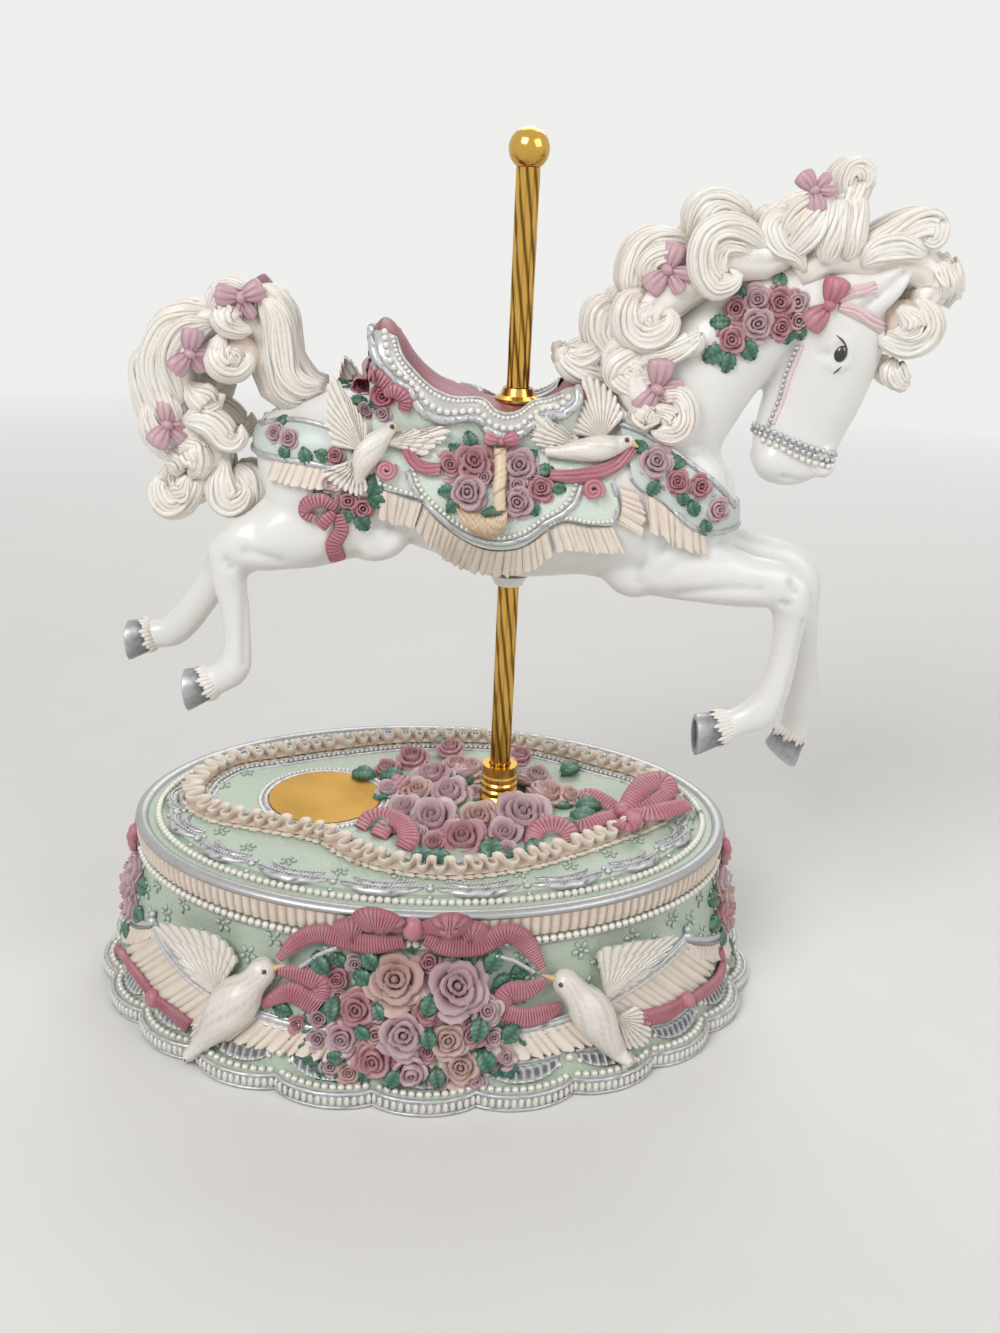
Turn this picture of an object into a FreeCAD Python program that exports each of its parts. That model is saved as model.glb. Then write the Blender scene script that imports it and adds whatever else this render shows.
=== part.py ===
"""Carousel horse music box: an oval cast base with a wind-up movement inside, and a horse on a twisted pole.

The origin lies on the table under the pole. +X runs towards the horse's head, +Y away from its near side
and +Z up. All sizes are millimetres, and the horse is drawn at the bottom of its travel.
"""
import FreeCAD, Part
import math
import os

V = FreeCAD.Vector
UP = V(0, 0, 1)
SIDE = V(0, 1, 0)

# Base casting
BASE_X = -19.8              # middle of the base, behind the pole
RIM_LENGTH = 177.0          # oval rim, end to end
RIM_DEPTH = 121.0           # oval rim, front to back
TOP_THICKNESS = 5.5
WALL = 10.5                 # rim edge to the inner cavity
RIM_BAND = 9.0              # rim's top down to the foot of the upright band
RIM_LIP = 1.2               # how far the rim stands out over the band
RIM_LIP_HEIGHT = 3.0
FOOT_FLARE_X = 10.3         # the wall's spread from band to foot, at the ends
FOOT_FLARE_Y = 13.6         # the same at front and back
FLARE_CURVE = 1.5           # how late the wall turns outwards
WALL_SECTIONS = 6
SCALLOPS = 22
SCALLOP_REACH = 3.6         # scallop tips beyond the wall's foot
SCALLOP_HEIGHT = 4.0
LEDGE = 6.0                 # seat for the bottom cover
FELT_THICKNESS = 1.0
FELT_RADIUS = 5.0
DOME_HEIGHT = 1.2           # the raised oval field on top
DOME_MARGIN = 9.0

# Bottom cover and screws
COVER_UNDERSIDE = 10.5
COVER_THICKNESS = 2.0
COVER_GAP = 0.4
SCREW_RADIUS = 1.25
SCREW_HEAD_RADIUS = 2.5
SCREW_HEAD_HEIGHT = 1.5
SCREW_BITE = 7.0            # length of a cover screw inside the casting
COMB_SCREW_BITE = 5.0
THREAD_GAP = 0.05
COVER_SCREW_ANGLES = (38.0, 142.0, 218.0, 322.0)

# Pole and its fittings
POLE_RADIUS = 3.175
POLE_FLUTES = 8
FLUTE_DEPTH = 0.45
POLE_PITCH = 130.0          # length of one full twist
POLE_STEP = 16.0            # spacing of the pole's sections
POLE_SPIGOT = 0.6           # step in from the flutes to the pole's lower spigot
POLE_SHOWN_BELOW = 57.0     # ferrule to the collar under the belly
POLE_SHOWN_ABOVE = 55.5     # saddle flange to the ball
BALL_RADIUS = 5.3
BALL_SINK = 0.9
FERRULE_HEIGHT = 15.0
FERRULE_WALL = 2.2
FERRULE_BEADS = 3
FERRULE_SPIGOT_WALL = 1.4
SLIDE_GAP = 0.15
FIT_GAP = 0.05
COLLAR_HEIGHT = 3.2
COLLAR_WIDTH = 2.8
FLANGE_HEIGHT = 3.6
FLANGE_WIDTH = 3.0
FLANGE_EDGE = 0.8
MEDALLION_RADIUS = 17.0
MEDALLION_HEIGHT = 1.2
MEDALLION_X = -53.2
MEDALLION_Y = 3.0

# Lift drive: heart cam, roller and fork
STROKE = 8.0
HEADROOM = 0.7              # fork to the base's ceiling at full lift
CAM_LOW = 3.5               # cam edge to its axis at the notch
CAM_THICKNESS = 4.0
CAM_STEPS = 48
CAM_PLAY = 0.06
ROLLER_RADIUS = 2.5
ROLLER_PIN = 0.9
CHEEK_GAP = 0.4
CHEEK = 1.6
FORK_HALF_WIDTH = 3.2
FORK_BRIDGE = 2.6
ARBOR_RADIUS = 1.5
SHAFT_END = 1.0             # shaft ends beyond their bearings
BRACKET = 1.2
BRACKET_HALF_WIDTH = 4.4
EAR_MARGIN = 2.5            # metal over a bearing hole
RUN_GAP = 0.6               # cam and wheels over what lies under them

# Gear train
GEAR_MODULE = 0.75
WHEEL_TEETH = 30
CAM_PINION_TEETH = 20
GREAT_TEETH = 36
GREAT_PINION_TEETH = 12
FINE_MODULE = 0.5
FINE_WHEEL_TEETH = 30
FINE_PINION_TEETH = 12
PRESSURE_ANGLE = math.radians(20.0)
ADDENDUM = 0.85
DEDENDUM = 1.15
BACKLASH = 0.2
GEAR_FACE = 2.0
GREAT_FACE = 2.4
FINE_FACE = 1.5
MESH_GAP = 0.3              # side gap between the cam pinion and the drive wheel
SIDE_GAP = 0.8              # side gap between neighbours on one shaft

# Music movement
DRUM_RADIUS = 6.5
DRUM_LENGTH = 18.0
DRUM_WALL = 1.5
PIN_RADIUS = 0.22
PIN_HEIGHT = 0.6
PIN_ROOT = 0.3
PIN_BEATS = 3
TUNE_STEPS = 23
COMB_TEETH = 18
COMB_THICKNESS = 1.2
COMB_TOOTH_LENGTH = 8.0
COMB_HEEL = 12.0
COMB_SLOT = 0.25
PLUCK_GAP = 0.2
BEDPLATE = 2.5
BED_MARGIN = 2.0
POST = 2.0
POST_HALF_WIDTH = 3.5
BARREL_WALL = 1.2
BARREL_GAP = 0.4
WHEEL_DISC = 1.6
SPRING_TURNS = 5
SPRING_THICKNESS = 0.4
SPRING_GAP = 0.2
SPRING_MARGIN = 0.6
KEY_SHAFT_RADIUS = 2.0
KEY_HUB_WALL = 1.6
KEY_SPAN = 25.0
KEY_WING = 2.2
KEY_WING_SHARE = 0.8        # wing height as a share of the key's height
KEY_FLOOR = 2.4             # key's lowest edge over the table
KEY_GAP = 0.6
SLOW_SHAFT_RADIUS = 1.05
FLY_SHAFT_RADIUS = 0.9
FLY_SPAN = 12.0
FLY_LENGTH = 9.0
FLY_BLADE = 0.5

# Horse and tack
GLUE_GAP = 0.1
CLOTH = 1.6
FRILL = 2.2                 # the hem frill's height over the cloth
STRAP = 1.3
EYE_RADIUS = 1.9
EYE_PROUD = 0.8
EAR_Y = 7.5
EAR_FLATNESS = 0.5
LEG_ROUNDNESS = 0.95
TAIL_ROUNDNESS = 0.85
SADDLE_FOOT = 28.0          # lowest height of the saddle's sides over the belly collar, inside the barrel
SEAT_HEIGHT = 49.0          # saddle seat over the belly collar, at the pole
SEAT_BOSS = 3.0             # depth of the flat boss under the saddle flange
TRIM_REACH = 40.0           # half width of the cutters that trim the tack

# Roses and doves
ROSE_LIFT = 0.15            # bloom centres over the surface, as a share of their radius
WREATH_GAP = 0.4
RUFFLE_PLEATS = 44
RUFFLE_WIDTH = 7.0
RUFFLE_CREST = 2.6          # pleat crests over the field, at the outer edge
RUFFLE_VALLEY = 0.9         # the valleys between them
RUFFLE_GATHER = 1.6         # the gathered inner edge over the field
RUFFLE_TUCK = 0.9           # how far the valleys draw in from the outer edge
SEAM = 0.001                # how closely the ruffle's panels are joined
DOVE_HEIGHT = 23.0
DOVE_TURN = 38.0            # degrees from the middle of the wall
DOVE_OUT = 2.0

# Places worked out from the sizes above
RIM_A = RIM_LENGTH / 2
RIM_B = RIM_DEPTH / 2
BAND_A = RIM_A - RIM_LIP
BAND_B = RIM_B - RIM_LIP
FOOT_A = BAND_A + FOOT_FLARE_X
FOOT_B = BAND_B + FOOT_FLARE_Y
CAVITY_A = RIM_A - WALL
CAVITY_B = RIM_B - WALL
COVER_TOP = COVER_UNDERSIDE + COVER_THICKNESS
CAM_HIGH = CAM_LOW + STROKE
CAM_PITCH_LOW = CAM_LOW + ROLLER_RADIUS
WHEEL_PITCH = GEAR_MODULE * WHEEL_TEETH / 2
WHEEL_TIP = WHEEL_PITCH + GEAR_MODULE
CAM_PINION_PITCH = GEAR_MODULE * CAM_PINION_TEETH / 2
GREAT_PITCH = GEAR_MODULE * GREAT_TEETH / 2
GREAT_PINION_PITCH = GEAR_MODULE * GREAT_PINION_TEETH / 2
GREAT_OUTER = GREAT_PITCH + GREAT_FACE / 2
FINE_CENTRES = FINE_MODULE * (FINE_WHEEL_TEETH + FINE_PINION_TEETH) / 2
AXIS_Z = COVER_TOP + BRACKET + RUN_GAP + max(CAM_HIGH, WHEEL_TIP)
ROLLER_Z = AXIS_Z + CAM_PITCH_LOW
FORK_UNDER = ROLLER_Z + ROLLER_RADIUS + CHEEK_GAP
FORK_TOP = FORK_UNDER + FORK_BRIDGE
CEILING = FORK_TOP + STROKE + HEADROOM
BASE_HEIGHT = CEILING + TOP_THICKNESS
BAND_FOOT = BASE_HEIGHT - RIM_BAND
FIELD = BASE_HEIGHT + DOME_HEIGHT
FERRULE_BORE = POLE_RADIUS + SLIDE_GAP
FERRULE_RADIUS = FERRULE_BORE + FERRULE_WALL
FERRULE_SPIGOT = FERRULE_BORE + FERRULE_SPIGOT_WALL
COLLAR_RADIUS = POLE_RADIUS + COLLAR_WIDTH
FLANGE_RADIUS = POLE_RADIUS + FLANGE_WIDTH
SPIGOT_RADIUS = POLE_RADIUS - FLUTE_DEPTH - POLE_SPIGOT
BELLY = FIELD + FERRULE_HEIGHT + POLE_SHOWN_BELOW + COLLAR_HEIGHT
SEAT = BELLY + SEAT_HEIGHT
POLE_TOP = SEAT + FLANGE_HEIGHT + POLE_SHOWN_ABOVE
DRUM_X = -WHEEL_PITCH - CAM_PINION_PITCH
CHEEK_INNER = CAM_THICKNESS / 2 + CHEEK_GAP
CHEEK_OUTER = CHEEK_INNER + CHEEK
PINION_Y = CHEEK_OUTER + SIDE_GAP
WHEEL_Y = PINION_Y + GEAR_FACE + MESH_GAP
EAR_BACK = WHEEL_Y + GEAR_FACE + SIDE_GAP
EAR_FRONT = -PINION_Y - BRACKET
DRUM_FRONT = WHEEL_Y + GEAR_FACE + 2 * SIDE_GAP
DRUM_BACK = DRUM_FRONT + DRUM_LENGTH
FINE_Y = DRUM_BACK + 2 * SIDE_GAP
SECOND_Y = FINE_Y + FINE_FACE + SIDE_GAP
BACK_POST_Y = SECOND_Y + FINE_FACE + 2 * SIDE_GAP
FRONT_POST_Y = -PINION_Y - POST
ARM_Y = DRUM_FRONT + POST
FLY_X = DRUM_X + FINE_CENTRES
FLY_Z = AXIS_Z + FINE_CENTRES
GREAT_PINION_Y = FRONT_POST_Y - SIDE_GAP - GREAT_FACE
GREAT_Y = GREAT_PINION_Y + GREAT_FACE / 2 - GREAT_PITCH
GREAT_PLANE = AXIS_Z - GREAT_PINION_PITCH
DISC_TOP = GREAT_PLANE - DEDENDUM * GEAR_MODULE
DISC_UNDER = DISC_TOP - WHEEL_DISC
BARREL_HEIGHT = DISC_UNDER - BARREL_GAP - COVER_TOP
BED_TOP = COVER_TOP + BEDPLATE
COMB_TIPS = DRUM_X - DRUM_RADIUS - PIN_HEIGHT - PLUCK_GAP
COMB_ROOTS = COMB_TIPS - COMB_TOOTH_LENGTH
COMB_BACK = COMB_ROOTS - COMB_HEEL
COMB_SEAT = AXIS_Z - COMB_THICKNESS

# Barrel of the horse: x, middle height over the belly collar, half height, half width
TRUNK = [
    (-70, 32, 6, 7), (-66, 32, 13, 14), (-58, 30.5, 19, 18.5), (-45, 31, 21, 20.5), (-30, 28.5, 19, 20.5),
    (-15, 24.5, 19.5, 21), (0, 21.7, 21.7, 21.5), (18, 23.5, 22.5, 21), (32, 24, 25, 20), (46, 23, 22, 17.5),
    (56, 22.5, 16.5, 13.5), (62, 23, 8, 7),
]
# Neck and head: x, height over the belly collar, half depth seen from the side, half width
NECK = [(30, 32, 22, 16), (41, 47, 18, 13.5), (52, 62, 15.5, 11.5), (65, 74, 13, 10), (76, 81, 10, 8.5)]
HEAD = [
    (83, 90, 6, 5), (83.5, 84, 12, 9), (83, 70, 15.2, 11), (81.5, 57, 13.8, 10), (78.5, 46, 12.6, 8.5),
    (76.8, 36, 11.2, 8), (76.8, 31, 8.5, 7), (77, 29, 4, 4),
]
EYE_AT = (83.1, 66.3)
EAR = [(90, 79, 4.2), (95, 84, 3.6), (101, 89, 1.2)]
# Legs: x, height over the belly collar, half thickness, from the body to the sole
FRONT_NEAR_LEG = [
    (38, 10, 12), (52, 6, 10), (64, 3.5, 7.8), (74, 2.5, 6.9), (78.7, -2, 6.5), (79, -10, 5.1),
    (78.5, -20, 4.8), (76.5, -30, 5.4), (73.5, -36, 5.6), (68, -39.5, 4.7), (63, -41.5, 5.4), (56, -43.8, 6.6),
]
FRONT_FAR_LEG = [
    (40, 10, 11), (58, 7, 9), (72, 4, 7.2), (82.5, 2, 6.5), (87.5, -3, 6.2), (89.5, -12, 4.8), (91, -24, 4.6),
    (92.5, -35, 4.8), (93, -43, 5.3), (92, -49.5, 4.6), (91, -53, 5.3), (88.5, -60, 6.5),
]
HIND_NEAR_LEG = [
    (-42, 21, 14), (-55, 15, 12), (-67, 11, 9), (-75, 8, 7), (-77.5, 1, 5.6), (-76.5, -10, 4.6),
    (-76.3, -20, 4.6), (-77.3, -26.5, 5.1), (-81, -30, 4.5), (-84.5, -31.5, 5), (-90.5, -34, 6),
]
HIND_FAR_LEG = [
    (-44, 22, 13), (-60, 13, 10.5), (-72, 4, 8), (-81, -2.5, 6.6), (-86.5, -9.5, 5.2), (-91.5, -17, 4.8),
    (-96, -22.5, 5), (-99.5, -25.5, 4.8), (-103, -26.2, 4.4), (-106, -26.4, 5), (-112, -28.5, 6.2),
]
# Each leg with its y at the body and its y from the third station on
LEGS = (
    (FRONT_NEAR_LEG, -8.0, -11.5), (FRONT_FAR_LEG, 8.0, 11.5),
    (HIND_NEAR_LEG, -8.5, -12.0), (HIND_FAR_LEG, 8.5, 12.0),
)
LEG_SPREAD_STATIONS = 3

# Saddle: x, seat height and edge height over the belly collar, half width at the edge
SADDLE = [
    (-39.5, 58, 52, 11), (-38.6, 66, 60, 13.5), (-36.5, 69, 59, 15), (-33.5, 68, 56, 16), (-28, 60.5, 51, 16.6),
    (-20, 54, 46, 17), (-11, 50.5, 45.5, 17), (-7, SEAT_HEIGHT, 43, 17), (0, SEAT_HEIGHT, 42.5, 17),
    (7.5, SEAT_HEIGHT, 46.5, 16.8), (11, 52, 48, 16), (15, 56.5, 51.5, 14.5), (18.5, 54, 50, 12),
]
# The cloth and its hem frill seen from the side, clockwise, with the bow of each edge
CLOTH_OUTLINE = [
    (-38, 62), (16, 62), (22, 42), (27, 30), (30, 22), (28, 17), (13, 17), (3, 11), (-10, 10), (-22, 18), (-37, 25),
]
FRILL_OUTLINE = [
    (-37, 28), (-25, 25), (-19.5, 19.5), (-14, 15.5), (-4, 12.6), (3, 13.8), (9, 18.4), (14, 20.2), (25, 20), (26, 31),
    (31, 30.5), (33.5, 24), (33.5, 17.5), (27.5, 13.6), (21.5, 13), (15.5, 13.7), (11, 12.8), (4.5, 8), (-3, 6.4),
    (-10, 7), (-16.5, 9.6), (-22, 13.8), (-26.3, 18.6), (-31.5, 19.6), (-37, 20.8),
]
FRILL_BOWS = (0,) * 10 + (1.0,) * 14 + (0,)
# Blooms and the basket on each flank: x, height over the belly collar, radius
CLOTH_BLOOMS = [
    (-17.7, 34.9, 3.4), (-11.8, 35.9, 5.0), (-13.1, 28.1, 4.6), (0.5, 35.3, 4.4), (6.3, 29.9, 3.4), (-0.4, 25.6, 4.2),
    (-6.5, 22.5, 5.2), (-6, 30.5, 4.0),
]
CHEST_STRAP = [(26, 48), (32, 46.5), (47, 38), (63, 28), (63, 12), (59, 13.5), (46, 19.5), (38.3, 26.5), (29, 33)]
RUMP_STRAP = [(-72, 45), (-56, 45.5), (-49, 43.5), (-38, 39.5), (-38, 30.5), (-49.6, 32.5), (-56, 33.5), (-72, 34.5)]
STRAIGHT = (0,)

# Curls of the mane, forelock and tail: x, y, height over the belly collar, radius
MANE = [
    (17, -2, 60, 7.5), (20, -3, 69, 9), (31, -3, 72, 9.5), (31, 0, 85, 9.5), (46, -2, 93, 11), (44, -4, 80, 10),
    (60, -2, 94, 10.5), (58, -2, 84, 9.5), (72, -1, 97, 9.5), (83, 0, 106, 8), (80, 0, 95, 9),
    (38, -9, 60, 9), (44, -10, 50, 8),
]
FORELOCK = [
    (91, 0, 92, 7.5), (101, 0, 94, 8), (111, -1, 88, 8.5), (112, -3, 77, 7.2), (107, -6, 66, 6.5), (104, -8, 58, 4),
]
TAIL = [
    (-54, 44, 5.5), (-62, 50, 7), (-67, 60, 8), (-74, 67.5, 9), (-84, 67, 9.5), (-92, 58, 9.5), (-94, 46, 9),
    (-92, 34, 9.5), (-88, 23, 10.5), (-84, 13, 7.5),
]
TAIL_CURLS = [(-96, -2, 20, 7), (-77, -2, 20, 8), (-80, 0, 57, 6), (-83, 0, 45, 6.5)]

# Blooms: degrees round the oval, height over the table, radius
FRONT_SPRAY = [
    (-97, 31, 8.5), (-85, 30, 8.5), (-107, 27, 6), (-103, 20, 7), (-92, 20, 8), (-80, 20, 7.5), (-74, 26, 6),
    (-98, 11, 6), (-87, 11, 6.5), (-73, 16, 5.5), (-109, 18, 5),
]
END_SPRAY = [(-9, 35, 5.5), (0, 37, 5.5), (9, 35, 5.5), (-6, 27, 6), (5, 26, 6.5), (-1, 18, 5.5)]
# Blooms round the ferrule: x, y, radius
WREATH = [
    (-21, -13, 7), (-11, -18, 7), (1, -18, 6.5), (9, -14, 6), (-24, -3, 6.5), (-30, 8, 5.5), (-20, 8, 6.5),
    (-12, 13, 6.5), (-1, 14, 6.5), (9, 11, 6), (13, 2, 6), (15, -8, 7), (-14, -7, 6.5),
]
# Outer edge of the ruffle on the top, round the medallion and the wreath: x, y
RUFFLE_EDGE = [
    (-97, 1), (-92.2, -8.1), (-83.6, -15.1), (-72.8, -18.8), (-62.3, -21.9), (-51.8, -26), (-44, -34.2), (-33.8, -40.2),
    (-19.9, -43.9), (-6.2, -42.8), (7.9, -37.9), (22.7, -29.5), (35.3, -20.8), (48.6, -10.5), (57, 1), (54.5, 13.1),
    (46.8, 22.7), (34.5, 30.2), (21.9, 37.9), (10.3, 42.8), (-4.9, 45.9), (-32, 44.1), (-54.9, 37.1), (-70.6, 30.8),
    (-85.6, 23.8), (-93.7, 12.6),
]
# Doves: distance along the body from its middle, half width
DOVE = ((-15, 1.5), (-7, 3.6), (2, 5.4), (8, 4.2), (12, 3.0), (15, 0.8))
DOVE_FLATNESS = 0.8
# Wings: distance along the wing, half chord, half thickness
WING = ((0, 3.5, 1.2), (7, 5.0, 1.2), (14, 4.0, 1.0), (20, 1.2, 0.6))


def cylinder(radius, length, at, along=UP):
    """A round bar that starts at a point and runs along a direction."""
    return Part.makeCylinder(radius, length, at, along)


def block(low, high):
    """A box between two corners, given as (x, y, z)."""
    return Part.makeBox(high[0] - low[0], high[1] - low[1], high[2] - low[2], V(*low))


def oval(a, b, z):
    """A flat oval outline about the middle of the base."""
    return Part.Wire(Part.Ellipse(V(BASE_X, 0, z), a, b).toShape())


def oval_slab(a, b, low, high):
    """An upright oval disc between two heights."""
    return Part.Face(oval(a, b, low)).extrude(UP * (high - low))


def oval_point(a, b, turn, z):
    """A point on an oval about the middle of the base."""
    return V(BASE_X + a * math.cos(turn), b * math.sin(turn), z)


def ring(centre, u, v, ru, rv):
    """A closed smooth section about a centre, with half sizes ru along u and rv along v."""
    count = 12
    points = []
    for k in range(count):
        turn = 2 * math.pi * k / count
        points.append(centre + u * (ru * math.cos(turn)) + v * (rv * math.sin(turn)))
    curve = Part.BSplineCurve()
    curve.interpolate(Points=points, PeriodicFlag=True)
    return Part.Wire(curve.toShape())


def loft(wires):
    """A smooth closed solid through sections."""
    return Part.makeLoft(wires, True, False, False, 3)


def horse_point(x, y, z):
    """A point of the horse, whose heights start at the top of the belly collar."""
    return V(x, y, BELLY + z)


def bent_loft(stations):
    """A loft through (x, y, z, half depth, half width) stations, each square to the line they follow."""
    wires = []
    for k, (x, y, z, deep, wide) in enumerate(stations):
        before = stations[max(k - 1, 0)]
        after = stations[min(k + 1, len(stations) - 1)]
        along = V(after[0] - before[0], 0, after[2] - before[2]).normalize()
        wires.append(ring(horse_point(x, y, z), along.cross(SIDE), SIDE, deep, wide))
    return loft(wires)


def limb(stations, y_top, y_low, roundness):
    """A limb lofted through (x, z, half thickness) stations that moves from one y to another at its root."""
    placed = []
    for k, (x, z, half) in enumerate(stations):
        y = y_top + (y_low - y_top) * min(1.0, k / LEG_SPREAD_STATIONS)
        placed.append((x, y, z, half, half * roundness))
    return bent_loft(placed)


def side_slab(points, bows, reach):
    """A plate with a clockwise side-view outline whose edges bow out, between -reach and +reach in y."""
    edges = []
    count = len(points)
    for k in range(count):
        start = horse_point(points[k][0], -reach, points[k][1])
        end = horse_point(points[(k + 1) % count][0], -reach, points[(k + 1) % count][1])
        bow = bows[k % len(bows)]
        out = V(start.z - end.z, 0, end.x - start.x).normalize()
        middle = (start + end) * 0.5 + out * bow
        edges.append(Part.Arc(start, middle, end).toShape() if bow else Part.LineSegment(start, end).toShape())
    return Part.Face(Part.Wire(edges)).extrude(SIDE * (2 * reach))


def turned(profile, z):
    """A body turned about the pole's axis, from (radius, height) corners over a height z."""
    points = [V(r, 0, z + h) for r, h in profile]
    face = Part.Face(Part.makePolygon(points + [points[0]]))
    return face.revolve(V(0, 0, 0), UP, 360)


def screw(at, along, depth):
    """A pan-head screw with its head under a point and its shank running along a direction."""
    head = cylinder(SCREW_HEAD_RADIUS, SCREW_HEAD_HEIGHT, at - along * SCREW_HEAD_HEIGHT, along)
    return head.fuse(cylinder(SCREW_RADIUS, depth, at, along)).removeSplitter()


def screw_hole(at, along, depth):
    """The hole for a screw's shank."""
    return cylinder(SCREW_RADIUS + THREAD_GAP, depth, at, along)


def balls(places):
    """Fused balls on the horse, from (x, y, z, radius) places."""
    solids = [Part.makeSphere(radius, horse_point(x, y, z)) for x, y, z, radius in places]
    return solids[0].fuse(solids[1:])


def involute(angle):
    """The involute function, which gives the width of a gear tooth."""
    return math.tan(angle) - angle


def gear(module, teeth, face, at, first_angle, shaft):
    """A spur gear on an axis along +Y, bored for a shaft, with a tooth at first_angle in the XZ plane."""
    pitch = module * teeth / 2
    base = pitch * math.cos(PRESSURE_ANGLE)
    tip = pitch + ADDENDUM * module
    root = pitch - DEDENDUM * module
    half_at_pitch = math.pi / (2 * teeth) - BACKLASH / (2 * pitch)
    start = max(root, base)
    radii = [root] + [start + (tip - start) * k / 3 for k in range(4)]
    if start == root:
        radii = radii[1:]
    corners = []
    for n in range(teeth):
        middle = first_angle + 2 * math.pi * n / teeth
        flank = []
        for r in radii:
            slope = math.acos(min(1.0, base / r))
            flank.append((r, half_at_pitch + involute(PRESSURE_ANGLE) - involute(slope)))
        corners += [(r, middle - half) for r, half in flank]
        corners += [(r, middle + half) for r, half in reversed(flank)]
    points = [V(at.x + r * math.cos(a), at.y, at.z + r * math.sin(a)) for r, a in corners]
    return Part.Face(Part.makePolygon(points + [points[0]])).extrude(SIDE * face).cut(shaft)


def scalloped_outline():
    """The foot's edge: equal scallops round an oval, each an arc between two notches."""
    step = 2 * math.pi / SCALLOPS
    edges = []
    for k in range(SCALLOPS):
        start = oval_point(FOOT_A, FOOT_B, step * k, FELT_THICKNESS)
        tip = oval_point(FOOT_A + SCALLOP_REACH, FOOT_B + SCALLOP_REACH, step * (k + 0.5), FELT_THICKNESS)
        end = oval_point(FOOT_A, FOOT_B, step * (k + 1), FELT_THICKNESS)
        edges.append(Part.Arc(start, tip, end).toShape())
    return Part.Wire(edges)


def wall_size(height):
    """Half length and half depth of the base's wall at a height."""
    rise = (height - FELT_THICKNESS) / (BAND_FOOT - FELT_THICKNESS)
    spread = (1 - min(1.0, max(0.0, rise))) ** FLARE_CURVE
    return BAND_A + FOOT_FLARE_X * spread, BAND_B + FOOT_FLARE_Y * spread


def base_body():
    """The outside of the base, solid, with its flared wall, scalloped foot, rim and raised field."""
    sections = []
    for k in range(WALL_SECTIONS):
        z = FELT_THICKNESS + (BAND_FOOT - FELT_THICKNESS) * k / (WALL_SECTIONS - 1)
        sections.append(oval(*wall_size(z), z))
    band = oval_slab(BAND_A, BAND_B, BAND_FOOT, BASE_HEIGHT - RIM_LIP_HEIGHT)
    lip = oval_slab(RIM_A, RIM_B, BASE_HEIGHT - RIM_LIP_HEIGHT, BASE_HEIGHT)
    dome = oval_slab(RIM_A - DOME_MARGIN, RIM_B - DOME_MARGIN, BASE_HEIGHT, FIELD)
    foot = Part.Face(scalloped_outline()).extrude(UP * SCALLOP_HEIGHT)
    return loft(sections).fuse([band, lip, dome, foot]).removeSplitter()


def cover_screw_places():
    """Points on the cover's underside, under the middle of the ledge."""
    a, b = CAVITY_A + LEDGE / 2, CAVITY_B + LEDGE / 2
    return [oval_point(a, b, math.radians(t), COVER_UNDERSIDE) for t in COVER_SCREW_ANGLES]


def base_shell(body):
    """The hollow base: inner cavity, wider recess for the cover, pole hole, medallion seat and screw holes."""
    upper = oval_slab(CAVITY_A, CAVITY_B, FELT_THICKNESS, CEILING)
    recess = oval_slab(CAVITY_A + LEDGE, CAVITY_B + LEDGE, FELT_THICKNESS, COVER_TOP)
    hole = cylinder(FERRULE_SPIGOT + FIT_GAP, FIELD - CEILING, V(0, 0, CEILING))
    holes = [screw_hole(p, UP, COVER_THICKNESS + SCREW_BITE) for p in cover_screw_places()]
    return body.cut([upper, recess, hole, medallion()] + holes)


def medallion():
    """The round brass disc, let half its thickness into the top."""
    foot = V(MEDALLION_X, MEDALLION_Y, FIELD - MEDALLION_HEIGHT / 2)
    return cylinder(MEDALLION_RADIUS, MEDALLION_HEIGHT, foot)


def bottom_cover():
    """The plate that closes the underside and carries the movement."""
    edge = LEDGE - COVER_GAP
    plate = oval_slab(CAVITY_A + edge, CAVITY_B + edge, COVER_UNDERSIDE, COVER_TOP)
    places = cover_screw_places() + bed_screw_places() + bracket_screw_places()
    holes = [screw_hole(p, UP, COVER_THICKNESS) for p in places]
    shaft = cylinder(KEY_SHAFT_RADIUS + SLIDE_GAP, COVER_THICKNESS, V(DRUM_X, GREAT_Y, COVER_UNDERSIDE))
    return plate.cut(holes + [shaft])


def felt_pads():
    """Felt discs under the foot."""
    a = (CAVITY_A + LEDGE + FOOT_A) / 2
    b = (CAVITY_B + LEDGE + FOOT_B) / 2
    turns = [math.radians(t) for t in COVER_SCREW_ANGLES]
    return Part.makeCompound([cylinder(FELT_RADIUS, FELT_THICKNESS, oval_point(a, b, t, 0)) for t in turns])


def ferrule():
    """The turned brass bush that guides the pole: spigot, bell, beads and a collar."""
    bore, wide = FERRULE_BORE, FERRULE_RADIUS
    unit = FERRULE_HEIGHT / (2 * FERRULE_BEADS + 2)
    spigot_foot = CEILING - FIELD
    profile = [(bore, spigot_foot), (FERRULE_SPIGOT, spigot_foot), (FERRULE_SPIGOT, 0)]
    profile += [(wide * 0.86, unit), (wide * 1.08, unit * 1.6), (wide * 1.05, unit * 2.3)]
    for k in range(FERRULE_BEADS):
        foot = unit * (2.8 + 1.2 * k)
        profile += [(wide * 0.92, foot), (wide, foot + unit * 0.35), (wide, foot + unit * 0.85)]
    profile += [(wide * 0.95, unit * 6.4), (wide * 0.95, FERRULE_HEIGHT), (bore, FERRULE_HEIGHT)]
    return turned(profile, FIELD)


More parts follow.
